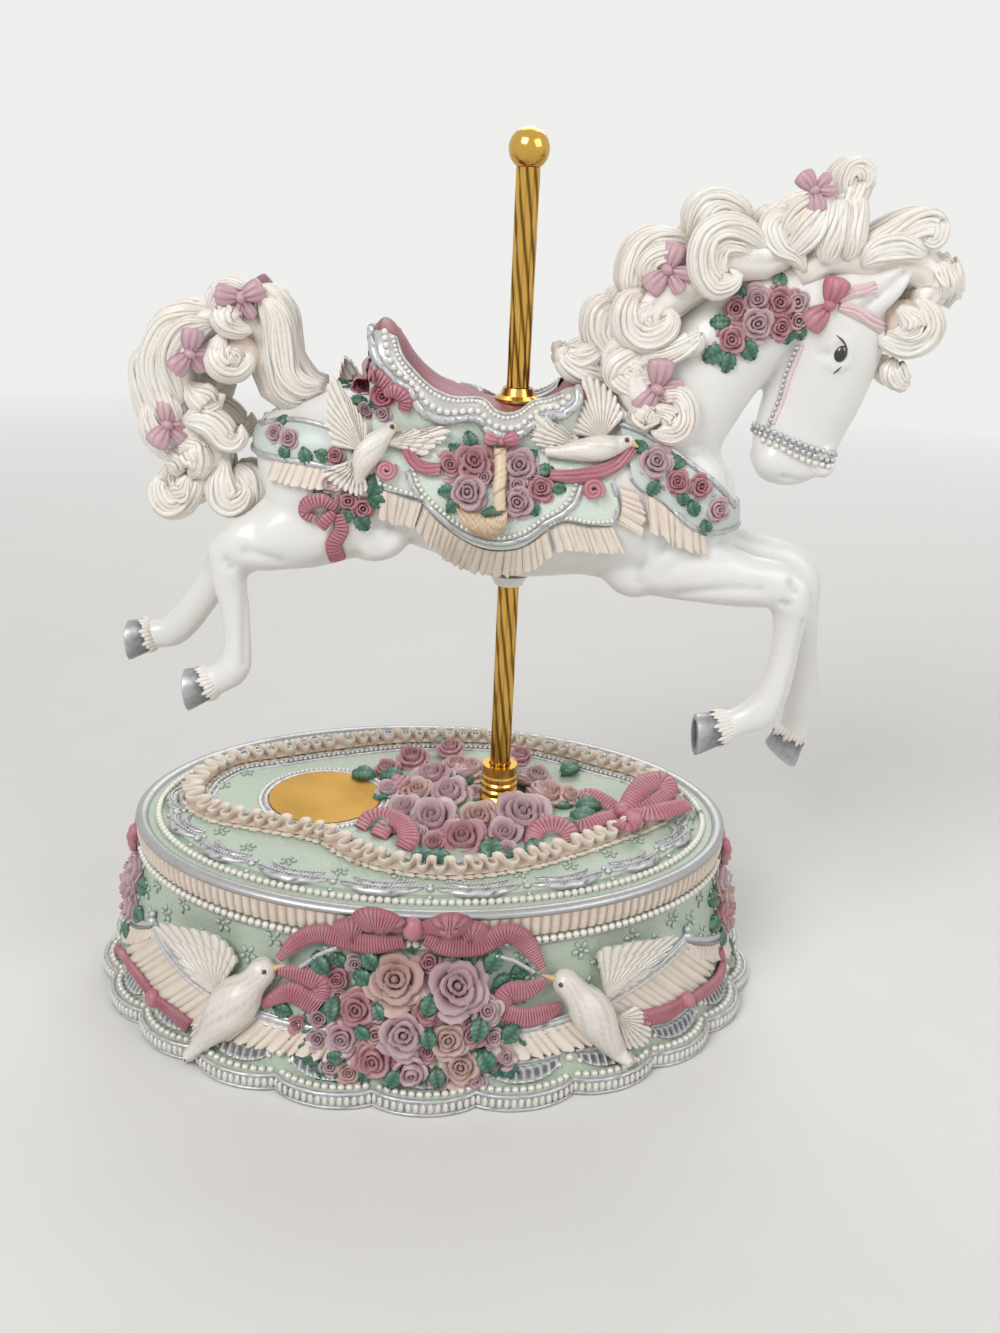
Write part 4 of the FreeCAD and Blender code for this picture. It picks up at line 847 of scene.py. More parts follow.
def piece(name: str, relief: Relief, finish: Finish, body: Body, replaced: Sequence[str] = (),
          angle: float = 60.0) -> bpy.types.Object:
    """Makes a finished object of a mesh.

    Args:
        name: the piece's name.
        relief: its mesh in millimetres.
        finish: its finish.
        body: the body that it rides on.
        replaced: CAD nodes that it stands for.
        angle: sharpest crease in degrees that is shaded smooth.

    Returns:
        The object.
    """
    mesh = bpy.data.meshes.new(name)
    mesh.from_pydata((relief.points * MM).tolist(), [], relief.faces)
    mesh.validate()
    carried = mesh.attributes.new("groove", "FLOAT", "POINT")
    carried.data.foreach_set("value", relief.groove.astype(np.float32))
    made = bpy.data.objects.new(name, mesh)
    bpy.context.collection.objects.link(made)
    select_only(made)
    bpy.ops.object.shade_smooth_by_angle(angle=math.radians(angle))
    mesh.materials.append(finish.material())
    adopt(made, body, replaced)
    return made


def adopt(made: bpy.types.Object, body: Body, replaced: Sequence[str] = ()) -> None:
    """Ties a piece to its body and CAD nodes, and reports it.

    Args:
        made: the piece.
        body: the body that it rides on.
        replaced: CAD nodes that it stands for.
    """
    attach(made, body.value)
    if replaced:
        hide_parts(*replaced)
    LOG.info("%s: %d faces", made.name, len(made.data.polygons))


def select_only(made: bpy.types.Object) -> None:
    """Selects one object and makes it active."""
    bpy.ops.object.select_all(action="DESELECT")
    made.select_set(True)
    bpy.context.view_layer.objects.active = made


def creases(relief: Relief, gain: float) -> np.ndarray:
    """Marks the hollows of a mesh.

    Args:
        relief: the mesh.
        gain: how strongly a hollow shows.

    Returns:
        A groove depth from 0 to 1 for each point.
    """
    points = relief.points
    normal = np.zeros_like(points)
    total = np.zeros_like(points)
    count = np.zeros(len(points))
    for size in (3, 4):
        faces = np.array([f for f in relief.faces if len(f) == size])
        if not len(faces):
            continue
        flat = np.cross(points[faces[:, 1]] - points[faces[:, 0]], points[faces[:, 2]] - points[faces[:, 0]])
        for k in range(size):
            np.add.at(normal, faces[:, k], flat)
            np.add.at(total, faces[:, k], points[faces[:, (k + 1) % size]])
            np.add.at(count, faces[:, k], 1)
    lean = ((total / np.maximum(count, 1)[:, None]) - points) * unit(normal)
    return np.clip(lean.sum(axis=1) * gain, 0, 1)


# Placing by the photograph

@dataclass(frozen=True)
class Viewpoint:
    """Where the photograph was taken from, in millimetres and photograph pixels."""
    place: Row = (-17.71, -348.15, 236.28)
    right: Row = (0.99862, -0.03002, 0.04304)
    down: Row = (0.02906, -0.36658, -0.92993)
    forward: Row = (0.04369, 0.92990, -0.36520)
    focal: float = 1272.7
    width: float = 1000.0
    height: float = 1333.0

    def ray(self, across: float, down: float) -> np.ndarray:
        """Direction of the sight line through a pixel."""
        line = (np.array(self.forward) + (across - self.width / 2) / self.focal * np.array(self.right)
                + (down - self.height / 2) / self.focal * np.array(self.down))
        return line / np.linalg.norm(line)

    def at_depth(self, across: float, down: float, y: float) -> np.ndarray:
        """Where the sight line through a pixel meets the upright plane at y."""
        line = self.ray(across, down)
        return np.array(self.place) + line * ((y - self.place[1]) / line[1])

    def at_height(self, across: float, down: float, height: float) -> np.ndarray:
        """Where the sight line through a pixel meets a level plane."""
        line = self.ray(across, down)
        return np.array(self.place) + line * ((height - self.place[2]) / line[2])

    def camera(self) -> None:
        """Puts the camera at the photograph's viewpoint."""
        lens = bpy.data.cameras.new("photo_camera")
        lens.sensor_width = 36.0
        lens.lens = self.focal / self.height * 36.0
        lens.clip_start = 0.01
        made = bpy.data.objects.new("photo_camera", lens)
        turn = np.eye(4)
        turn[:3, 0] = self.right
        turn[:3, 1] = -np.array(self.down)
        turn[:3, 2] = -np.array(self.forward)
        turn[:3, 3] = np.array(self.place) * MM
        made.matrix_world = Matrix(turn.tolist())
        bpy.context.collection.objects.link(made)
        bpy.context.scene.camera = made


VIEW = Viewpoint()


class Carrier:
    """A surface that ornaments are set on."""
    search: Row = (250, 450, 4.0)    # distances to look at along a sight line that misses, and their step
    least_slant = 0.45

    def __init__(self, reliefs: Sequence[Relief]) -> None:
        """Makes the surface searchable."""
        whole = gathered(reliefs)
        self.reliefs = list(reliefs)
        self.tree = BVHTree.FromPolygons([Vector(p) for p in whole.points], whole.faces)

    @classmethod
    def of_node(cls, name: str) -> "Carrier":
        """The surface of a CAD node.

        Args:
            name: the node's name.

        Returns:
            The node's surface in millimetres.
        """
        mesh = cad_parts[name].data
        points = np.empty(len(mesh.vertices) * 3)
        mesh.vertices.foreach_get("co", points)
        faces = [tuple(p.vertices) for p in mesh.polygons]
        points = points.reshape(-1, 3) / MM
        return cls([Relief(points, faces, np.zeros(len(points)))])

    def with_more(self, *reliefs: Relief) -> "Carrier":
        """This surface with more meshes on it."""
        return Carrier(self.reliefs + list(reliefs))

    def seen(self, across: float, down: float, lift: float = 0.0) -> Line:
        """The spot that a pixel of the photograph shows.

        Args:
            across: pixels from the left.
            down: pixels from the top.
            lift: millimetres to stand off the surface.

        Returns:
            The spot and the surface's outward direction there.
        """
        line = VIEW.ray(across, down)
        start = Vector(VIEW.place)
        spot, normal, _, _ = self.tree.ray_cast(start, Vector(line))
        if spot is None:
            near = [self.tree.find_nearest(start + Vector(line) * reach) for reach in np.arange(*self.search)]
            spot, normal = min(near, key=lambda hit: self.off_line(hit[0], line))[:2]
        out = np.array(normal)
        if out @ line > 0:
            out = -out
        return np.array(spot) - line * (lift / max(self.least_slant, float(-line @ out))), out

    @staticmethod
    def off_line(spot: Vector, line: np.ndarray) -> float:
        """Distance of a spot from a sight line."""
        reach = np.array(spot) - np.array(VIEW.place)
        return float(np.linalg.norm(reach - line * (reach @ line)))

    def traced(self, pixels: Rows, count: int, lift: float = 0.0) -> Line:
        """Lays a line of pixels on the surface.

        Args:
            pixels: across, down rows that the line goes through.
            count: points wanted.
            lift: millimetres off the surface.

        Returns:
            The points and the smoothed outward directions.
        """
        line = smooth_rows([(p[0], p[1], 0.0) for p in pixels], count)
        spots, outs = split([self.seen(p[0], p[1], lift) for p in line])
        for _ in range(3):
            outs[1:-1] = unit(outs[:-2] + outs[1:-1] + outs[2:])
            spots[1:-1] = (spots[:-2] + 2 * spots[1:-1] + spots[2:]) / 4
        return spots, unit(outs)


# Small ornaments

@dataclass(frozen=True)
class RoseForm:
    """A cast rose of radius 1 that faces z: rings of thick petals round a bud."""
    # Rings from the bud out: petals, radius, height of the rim, spread and first angle in degrees
    rings: Sequence[Row] = (
        (2, 0.25, 0.88, 118, 0), (3, 0.50, 0.78, 78, 40), (4, 0.80, 0.54, 62, 15), (5, 1.06, 0.20, 50, 50))

    @staticmethod
    def petal(radius: float, rim: float, spread: float, angle: float) -> Relief:
        """One petal.

        Args:
            radius: reach of its rim from the rose's middle.
            rim: height of its rim.
            spread: half its width round the middle, in degrees.
            angle: where it stands, in degrees.

        Returns:
            A folded sheet: up the inside, over the curled rim and down the outside.
        """
        radius *= 1 + 0.08 * math.sin(angle * 0.127)
        rim *= 1 + 0.14 * math.sin(angle * 0.053 + radius * 9)
        rows = []
        for share, away, rise in ((0.40, 0.0, 0.0), (0.62, 0.0, 0.5), (0.84, 0.02, 0.9), (0.97, 0.06, 1.0),
                                  (1.03, 0.13, 0.88), (0.97, 0.14, 0.5), (0.74, 0.1, 0.0)):
            row = []
            for q in np.linspace(-1, 1, 7):
                reach = radius * share * (1 - 0.24 * q ** 2) + away * (1 - 0.6 * abs(q))
                turn = math.radians(angle + spread * q)
                wave = 0.06 * math.sin(3.2 * q + angle) * share
                high = -0.3 + (rim + 0.3 - 0.30 * q ** 2 * radius + wave) * rise
                row.append((reach * math.cos(turn), reach * math.sin(turn), high))
            rows.append(row)
        # groove: painted shade deep inside each petal and down its outside under the curled rim, partly
        # antiquing
        groove = np.repeat(np.array([0.9, 0.5, 0.1, 0.0, 0.0, 0.25, 0.75])[:, None], 7, axis=1)
        return lattice(np.array(rows)[:, ::-1], groove)

    def relief(self) -> Relief:
        """Puts the petals together.

        Returns:
            The whole rose, of radius 1, facing z.
        """
        bud = ellipsoid((0, 0, 0.45), (0.16, 0.16, 0.42), 0, 8)
        # The bud deep in the rose's middle is darkened all over as painted shade.
        bud.groove[:] = 0.35
        parts = [bud]
        for count, radius, rim, spread, first in self.rings:
            parts += [self.petal(radius, rim, spread, first + 360 / count * k) for k in range(int(count))]
        return gathered(parts)


def leaf() -> Relief:
    """Models a veined and toothed rose leaf.

    Returns:
        A leaf of length 1 along y, facing z.
    """
    rows, groove = [], []
    for i in range(11):
        s = i / 10
        half = 0.34 * math.sin(math.pi * min(1.0, s * 0.96 + 0.03)) ** 0.75 * (1.12 if i % 2 else 0.94)
        arch = 0.16 * math.sin(math.pi * s) - 0.08 * s
        rows.append([(half * c, s + (0.05 if i % 2 else 0.0) * abs(c), arch + z)
                     for c, z in ((-1.02, -0.22), (-1, 0.0), (-0.5, 0.075), (0, 0.0), (0.5, 0.075), (1, 0.0),
                                  (1.02, -0.22))])
        # groove: the veins as a pattern, the midrib's valley partly antiquing and partly painted shade, and
        # painted shade on the turned-under edges
        vein = 0.55 if i % 2 else 0.0
        groove.append([0.9, 0.15, vein, 0.9, vein, 0.15, 0.9])
    return lattice(np.array(rows), np.array(groove))


def bloom(petals: int = 5) -> Relief:
    """Models a flat embossed flower with a dotted middle.

    Args:
        petals: number of petals.

    Returns:
        A flower of radius 1, facing z.
    """
    parts = []
    for k in range(petals):
        angle = 2 * math.pi * k / petals
        dome = ellipsoid((0.62, 0, 0.04), (0.4, 0.27, 0.26), 0, 8)
        turn = np.eye(4)
        turn[:2, :2] = [[math.cos(angle), -math.sin(angle)], [math.sin(angle), math.cos(angle)]]
        # groove: painted shade round the foot of each raised petal
        dome.groove[:] = np.where(dome.points[:, 2] < 0.12, 0.95, 0.0)
        parts.append(dome.moved(turn))
    return gathered(parts + [ellipsoid((0, 0, 0.02), (0.22, 0.22, 0.2), 0, 8)])


def ribbon(path: np.ndarray, outs: np.ndarray, widths: np.ndarray, ribs: float = 0.0,
           thick: float = 0.7) -> Relief:
    """A cast ribbon with ribs across it.

    Args:
        path: its middle line.
        outs: the way that its face looks at each point.
        widths: its full width at each point.
        ribs: spacing of the ribs, or 0 for a plain ribbon.
        thick: its thickness.

    Returns:
        A closed mesh.
    """
    if ribs:
        count = max(8, int(length_of(path) / ribs) * 3)
        table = smooth_rows(np.hstack([path, outs, widths[:, None]]), count)
        path, outs, widths = table[:, :3], unit(table[:, 3:6]), table[:, 6]
    side = unit(np.cross(along(path), outs))
    out = np.cross(side, along(path))
    top = np.linspace(-1, 1, 7 if ribs else 15)
    across = np.concatenate([top, [0.8, 0, -0.8]]) / 2
    lift = np.concatenate([0.5 - 0.7 * top ** 4, [-0.7, -0.7, -0.7]]) * thick
    valley = (np.arange(len(path)) % 3 == 0).astype(float) if ribs else np.zeros(len(path))
    face = np.concatenate([1 - 0.8 * top ** 4, [0, 0, 0]])
    gone = np.linspace(0, 1, len(path))[:, None]
    crease = np.zeros((len(path), len(across)))
    if not ribs:
        crease[:, :15] = 0.5 - 0.5 * np.cos(9.0 * top[None] + 2.2 * np.sin(7 * gone) + 5 * gone)
    high = lift[None] - thick * (0.34 * valley[:, None] + 0.42 * crease) * face[None]
    flat = path[:, None] + side[:, None] * (widths[:, None] * across)[..., None]
    rows = flat + out[:, None] * high[..., None]
    # groove: rib valleys and creases darkened partly as antiquing and partly as painted shade; the edges and
    # underside darkened as painted shade
    edge = np.concatenate([0.5 * top ** 8, [0.9] * 3])
    groove = (valley[:, None] * 0.8 + crease ** 3 * 0.6) * face[None] + edge[None]
    return lattice(rows[:, ::-1], np.clip(groove, 0, 1)[:, ::-1], True, True)


def lobe(length: float, width: float, puff: float, pleats: int = 3) -> Relief:
    """One gathered loop of a bow, from its knot at the origin out along x, facing z.

    Args:
        length: knot to tip.
        width: full width at its widest.
        puff: height.
        pleats: folds that run out from the knot.

    Returns:
        A closed mesh.
    """
    s = np.linspace(0, 1, 14)[:, None]
    c = np.linspace(-1, 1, 21)[None, :]
    half = width / 2 * (0.2 + 0.8 * np.sin(np.pi * np.minimum(s, 0.93) * 0.6 / 0.93) ** 0.8)
    half = half * np.sqrt(np.clip(1 - np.clip((s - 0.86) / 0.16, 0, 1) ** 2, 0.05, 1))
    fold = np.abs(np.cos(np.pi * pleats * c / 2)) ** 0.6
    crown = np.sqrt(np.clip(1 - c ** 2, 0, 1)) * (0.35 + 0.65 * np.sin(np.pi * np.clip(s, 0, 1) * 0.75))
    high = puff * crown * (0.72 + 0.28 * fold * np.clip(1.25 - s, 0.2, 1))
    reach = np.broadcast_to(s * length, high.shape)
    top = np.stack([reach, half * c, high], axis=-1)
    under = np.stack([reach, half * c * 0.95, np.full(high.shape, -0.4)], axis=-1)[:, -2:0:-4]
    rows = np.concatenate([top, under], axis=1)
    # depth: painted shade in the pleats' valleys, most near the knot, and on the underside
    depth = np.concatenate([(1 - fold) * np.clip(1.2 - s, 0.1, 1), np.full(under.shape[:2], 0.9)], axis=1)
    return lattice(rows[:, ::-1], np.clip(depth, 0, 1)[:, ::-1], True, True)


def bow(size: float, droop: float = 24.0, tails: bool = True) -> Relief:
    """A bow of two loops, two tails and a knot, facing z with its loops along x.

    Args:
        size: length of one loop.
        droop: degrees that the tails hang below level.
        tails: whether the tails show.

    Returns:
        The mesh.
    """
    parts = [ellipsoid((0, 0, 0.16 * size), (0.2 * size, 0.24 * size, 0.26 * size), 0, 12)]
    loop = lobe(size, 0.95 * size, 0.42 * size)
    tail = lobe(0.95 * size, 0.55 * size, 0.2 * size, 2)
    ends = ((-90 + droop, tail), (-90 - droop, tail)) if tails else ()
    for turn, shape in ((14, loop), (166, loop), *ends):
        parts.append(shape.moved(frame_at(np.zeros(3), UP, turn - 90, 1.0, (-1, 0, 0))))
    return gathered(parts)


def ruffle(top: Line, hem: Line, pleats: int, swell: float) -> Relief:
    """A pleated frill between two lines.

    Args:
        top: points and outward directions of its sewn edge.
        hem: points and outward directions of its free edge, as many.
        pleats: folds along it.
        swell: how far the folds stand out at the hem.

    Returns:
        The mesh, with its hem turned under.
    """
    count = pleats * 6 + 1
    head = smooth_rows(np.hstack(top), count)
    foot = smooth_rows(np.hstack(hem), count)
    phase = np.arange(count) / 6 * 2 * math.pi
    phase = phase + 1.1 * np.sin(phase * 0.31) + 0.7 * np.sin(phase * 0.173 + 1.0)
    uneven = 0.78 + 0.22 * np.sin(phase * 0.37 + 1.3 * np.sin(phase * 0.11))
    fold = (0.74 * np.cos(phase) + 0.26 * np.cos(2.31 * phase + 1.1)) * uneven
    lean = np.sin(phase)[:, None] * along(head[:, :3]) * 0.3 * swell
    rows, groove = [], []
    for s, stand in ((0.0, 0.15), (0.1, 0.4), (0.38, 0.55), (0.74, 0.85), (1.0, 1.1), (1.03, 0.6),
                     (0.9, -0.2)):
        reach = s * (1 + 0.15 * fold[:, None] * (s > 0.5))
        place = head[:, :3] + (foot[:, :3] - head[:, :3]) * reach + lean * stand
        out = unit(head[:, 3:6] + (foot[:, 3:6] - head[:, 3:6]) * min(s, 1.0))
        rise = swell * stand * (0.54 + 0.46 * fold) if s > 0 else np.full(count, 0.15 * swell)
        rows.append(place + out * rise[:, None])
        # shade: painted shade in the valleys between folds, along the sewn edge and on the turned-under hem
        shade = np.clip(0.3 - 0.42 * fold + (0.35 if s == 0 else 0.0), 0, 1)
        groove.append(shade if stand > 0 else np.ones(count))
    return lattice(np.array(rows), np.array(groove)).faced(top[1].mean(axis=0))


def meander(path: np.ndarray, across: np.ndarray, up: np.ndarray, folds: int, sway: Row,
            high: float) -> Relief:
    """A frill that stands on edge and winds to and fro along a closed line.

    Args:
        path: the line, with its last point on its first.
        across: directions square to the line.
        up: the way that the frill stands.
        folds: number of folds along it.
        sway: reach to either side at its foot and at its free edge.
        high: its height.

    Returns:
        The frill, thin and closed at its free edge.
    """
    count = folds * 10
    table = smooth_rows(np.hstack([path, across]), count + 1)[:-1]
    phase = np.arange(count) / 10 * 2 * math.pi
    phase = phase + 0.9 * np.sin(phase * 3 / folds * 7) + 0.5 * np.sin(phase * 5 / folds * 3)
    wave = np.sin(phase)
    swing = np.cos(phase)[:, None] * unit(np.roll(table[:, :3], -1, axis=0) - table[:, :3])
    rows, groove = [], []
    # shade: painted shade, darkest at the frill's foot and lightest at its free edge
    for share, side, shade in ((0.0, -1, 1.0), (0.55, -1, 0.45), (0.92, -0.8, 0.05), (1.0, 0, 0.0),
                               (0.92, 0.8, 0.05), (0.55, 1, 0.45), (0.0, 1, 1.0)):
        reach = sway[0] + (sway[1] - sway[0]) * share
        thick = 0.42 * side * (unit(table[:, 3:6] * 0.7 - swing * 0.7))
        curl = swing * -0.45 * reach * np.sign(wave)[:, None] * np.abs(wave)[:, None] * share
        rows.append(table[:, :3] + table[:, 3:6] * (wave * reach)[:, None] + up * high * share + thick + curl)
        groove.append(np.full(count, shade))
    points = np.array(rows).transpose(1, 0, 2)
    return lattice(points, np.array(groove).T, False, False, True)


def beaded(path: np.ndarray, outs: np.ndarray, radius: float, gap: float = 2.05) -> Relief:
    """A row of pearls along a line on a surface.

    Args:
        path: the line.
        outs: outward directions along it.
        radius: a pearl's radius.
        gap: spacing as a share of the radius.

    Returns:
        The row as one mesh.
    """
    count = max(2, int(length_of(path) / (radius * gap)) + 1)
    table = smooth_rows(np.hstack([path, outs]), count)
    return gathered([pearl(radius).moved(frame_at(row[:3], row[3:6])) for row in table])


def braid(path: np.ndarray, outs: np.ndarray, radius: float) -> Relief:
    """A twisted cord laid along a line on a surface, with its radius."""
    size = np.full(len(path), radius)
    return tube(path, size, size * 0.8, outs, 10, 4, 0.28, length_of(path) / (radius * 9))


def streamer(carrier: Carrier, rows: Rows, count: int, lift: float, ribs: float, thick: float) -> Relief:
    """A ribbon that lies along a line of the photograph.

    Args:
        carrier: the surface under it.
        rows: across, down and width in pixels along it.
        count: points along it.
        lift: its height over the surface.
        ribs: spacing of its ribs, or 0 for a plain ribbon.
        thick: its thickness.

    Returns:
        The ribbon.
    """
    path, outs = carrier.traced(rows, count, lift)
    widths = [row[2] / PX_PER_MM for row in rows]
    full = np.interp(np.linspace(0, 1, count), np.linspace(0, 1, len(rows)), widths)
    return ribbon(path, outs, full, ribs, thick)


def looped(carrier: Carrier, rows: Rows, gain: float, ribs: float, thick: float, count: int = 30) -> Relief:
    """A ribbon that stands off its surface in a loop.

    Args:
        carrier: the surface behind it.
        rows: across, down and width in pixels, and stand in millimetres, along it.
        gain: factor on its width.
        ribs: spacing of its ribs.
        thick: its thickness.
        count: points along it.

    Returns:
        The ribbon.
    """
    line = smooth_rows(rows, count)
    spots, outs = split([carrier.seen(row[0], row[1], row[3]) for row in line])
    return ribbon(smooth_rows(spots, count), outs, line[:, 2] / PX_PER_MM * gain, ribs, thick)


@dataclass(frozen=True)
class RoseSpot:
    """One rose seen in the photograph: pixel, radius in pixels and paint."""
    across: float
    down: float
    radius: float
    finish: Finish


@dataclass
class Posy:
    """Roses and leaves set on a carrier."""
    carrier: Carrier
    full: RoseForm = RoseForm()
    small: RoseForm = RoseForm(((2, 0.36, 0.92, 112, 0), (3, 0.68, 0.78, 78, 40), (4, 1.02, 0.42, 60, 15)))
    least_full: float = 3.4
    turn: float = 137.5    # degrees from one rose to the next
    roses: dict[str, list[Relief]] = field(default_factory=dict)
    finishes: dict[str, Finish] = field(default_factory=dict)
    leaves: list[Relief] = field(default_factory=list)
    count: int = 0

    def rose_at(self, place: np.ndarray, out: np.ndarray, radius: float, finish: Finish) -> None:
        """Sets one rose.

        Args:
            place: its middle.
            out: the way that it looks.
            radius: its radius in millimetres.
            finish: its paint.
        """
        form = self.full if radius > self.least_full else self.small
        shape = form.relief().moved(frame_at(place, out, self.turn * self.count, radius))
        self.roses.setdefault(finish.name, []).append(shape)
        self.finishes[finish.name] = finish
        self.count += 1

    def leaf_at(self, place: np.ndarray, out: np.ndarray, turn: float, length: float) -> None:
        """Sets one leaf at a place, with its tip turned by degrees from upright."""
        self.leaves.append(leaf().moved(frame_at(place, out, turn, length)))

    def seen(self, spots: Sequence[RoseSpot], leaves: Rows, lean: float = 0.35, sink: float = 0.1,
             rise: float = 0.5) -> "Posy":
        """Sets roses and leaves by the photograph.

        Args:
            spots: the roses.
            leaves: across, down, degrees and length in millimetres of each leaf.
            lean: how far a rose turns from the surface to the viewer.
            sink: share of the radius that a rose sinks into its carrier.
            rise: height of the leaves over their carrier.

        Returns:
            The posy itself.
        """
        for spot in spots:
            radius = spot.radius / PX_PER_MM
            place, out = self.carrier.seen(spot.across, spot.down)
            out = unit(out * (1 - lean) - VIEW.ray(spot.across, spot.down) * lean)
            self.rose_at(place - out * radius * sink, out, radius, spot.finish)
        for across, down, turn, length in leaves:
            place, out = self.carrier.seen(across, down, rise)
            c, s = turning(turn)
            side = unit(np.cross(UP, out))
            way = np.cross(out, side) * c - side * s
            self.leaf_at(place - way * length * 0.5, out, turn, length)
        return self

    def dress(self, name: str, body: Body, replaced: Sequence[str] = (), mirrored: bool = True) -> None:
        """Makes the posy's pieces.

        Args:
            name: start of the pieces' names.
            body: the body that they ride on.
            replaced: CAD nodes that the first piece stands for.
            mirrored: also sets the posy on the far side.
        """
        left = list(replaced)
        for key, parts in self.roses.items():
            whole = gathered(parts)
            whole = whole.both_sides() if mirrored else whole
            piece(f"{name}_{key}", whole, self.finishes[key], body, left, 35.0)
            left = []
        if self.leaves:
            whole = gathered(self.leaves)
            piece(f"{name}_leaves", whole.both_sides() if mirrored else whole, LEAF, body, left)


@dataclass(frozen=True)
class Plumage:
    """A dove seen from its side: body line with half widths, wings and tail, beak and eye in pixels.

    stand is how far its body stands out, and free is how many of its wings spread clear of the surface.
    """
    body: Rows
    wings: Sequence[tuple[Row, Rows, int]]
    beak: Row
    eye: Row
    stand: float = 4.0
    free: int = 0

    def build(self, carrier: Carrier) -> tuple[Relief, Relief, Relief]:
        """Models the dove on its carrier.

        Args:
            carrier: the surface behind it.

        Returns:
            The bird, its beak and its eye.
        """
        rows = []
        for across, down, half in self.body:
            place, out = carrier.seen(across, down, self.stand * 0.6)
            rows.append((*place, *out, half / PX_PER_MM))
        crown = np.array(rows[0])
        crown[:3] += unit(crown[:3] - np.array(rows[1])[:3]) * crown[6]
        table = smooth_rows([crown] + rows, 34)
        gone = np.concatenate([[0.0], np.cumsum(np.linalg.norm(np.diff(table[:, :3], axis=0), axis=1))])
        round_off = np.sqrt(1 - (1 - np.clip(gone / crown[6], 0.06, 1)) ** 2)
        size = table[:, 6] * round_off
        facing = unit(table[:, 3:6])
        trunk = tube(table[:, :3], size, np.minimum(size, self.stand), facing, 42, 14, 0.09, 0.35)
        parts = [trunk] + [self.fan(carrier, k < self.free, *wing) for k, wing in enumerate(self.wings)]
        middle, out = carrier.seen(self.body[0][0], self.body[0][1], self.stand * 0.6)
        tip = carrier.seen(*self.beak[:2], self.stand * 0.6)[0]
        line = smooth_rows([middle, middle * 0.4 + tip * 0.6, tip], 8)
        size = np.interp(np.linspace(0, 1, 8), [0, 0.5, 1], [1.5, 1.0, 0.25])
        beak = tube(line, size, size, out, 10)
        spot, eye_out = carrier.with_more(trunk).seen(*self.eye)
        eye = pearl(0.7).moved(frame_at(spot - eye_out * 0.2, eye_out))
        return gathered(parts), beak, eye

    @staticmethod
    def fan(carrier: Carrier, free: bool, root: Row, edge: Rows, feathers: int) -> Relief:
        """A wing or tail: feathers that spread from a root to an edge.

        Args:
            carrier: the surface behind it.
            free: spreads it flat from its root instead of laying it on the surface.
            root: across, down and lift of the root.
            edge: across, down and lift along the feathers' tips.
            feathers: number of feathers.

        Returns:
            The wing with a row of short feathers over its long ones.
        """
        tips = smooth_rows(edge, feathers * 6 + 1)
        phase = np.arange(len(tips)) / 6 % 1.0
        start, face = carrier.seen(root[0], root[1])
        face = unit(face * 0.5 - VIEW.ray(root[0], root[1]) * 0.5)
        parts = []
        for reach, height in ((1.0, 0.0), (0.74, 0.5), (0.52, 0.95), (0.32, 1.4)):
            rows, groove = [], []
            for s in (0.0, 0.25, 0.5, 0.75, 0.92, 1.0, 0.97):
                row, depth = [], []
                for tip, p in zip(tips, phase):
                    span = s * reach * (1 - 0.08 * abs(2 * p - 1) ** 2 * (s > 0.8))
                    across = root[0] + (tip[0] - root[0]) * span
                    down = root[1] + (tip[1] - root[1]) * span
                    if free:
                        sight = VIEW.ray(across, down)
                        place = VIEW.place + sight * (((start - VIEW.place) @ face) / (sight @ face))
                        out = face
                    else:
                        place, out = carrier.seen(across, down)
                    lift = root[2] + (tip[2] - root[2]) * span + height + 0.5 * math.sin(math.pi * p) * s
                    under = s == 0.97
                    row.append(place + out * (lift - (1.5 if under else 0.0)))
                    # depth: painted shade where the feathers overlap, a little towards the root, and on the
                    # turned-under row
                    depth.append(0.35 if under else min(1.0, 0.75 * abs(2 * p - 1) ** 3 + 0.1 * (1 - s)))
                rows.append(row)
                groove.append(depth)
            parts.append(lattice(np.array(rows), np.array(groove)).faced(out))
        return gathered(parts)


def dress_doves(name: str, birds: Sequence[Plumage], carrier: Carrier, body: Body,
                replaced: Sequence[str] = ()) -> None:
    """Makes doves on both sides: one piece of birds, one of beaks and one of eyes.

    Args:
        name: start of the pieces' names.
        birds: the doves of the near side.
        carrier: the surface behind them.
        body: the body that they ride on.
        replaced: CAD nodes that the birds stand for.
    """
    built = [bird.build(carrier) for bird in birds]
    left = list(replaced)
    for index, (part, finish) in enumerate((("doves", DOVE), ("dove_beaks", BEAK), ("dove_eyes", EYE))):
        whole = gathered([bird[index] for bird in built]).both_sides()
        piece(f"{name}_{part}", whole, finish, body, left)
        left = []


# The horse

@dataclass(frozen=True)
class Stroke:
    """A sculpting stroke: a line, its reach, and how far it lifts (or sinks) the surface in millimetres."""
    line: Rows
    reach: float
    lift: float


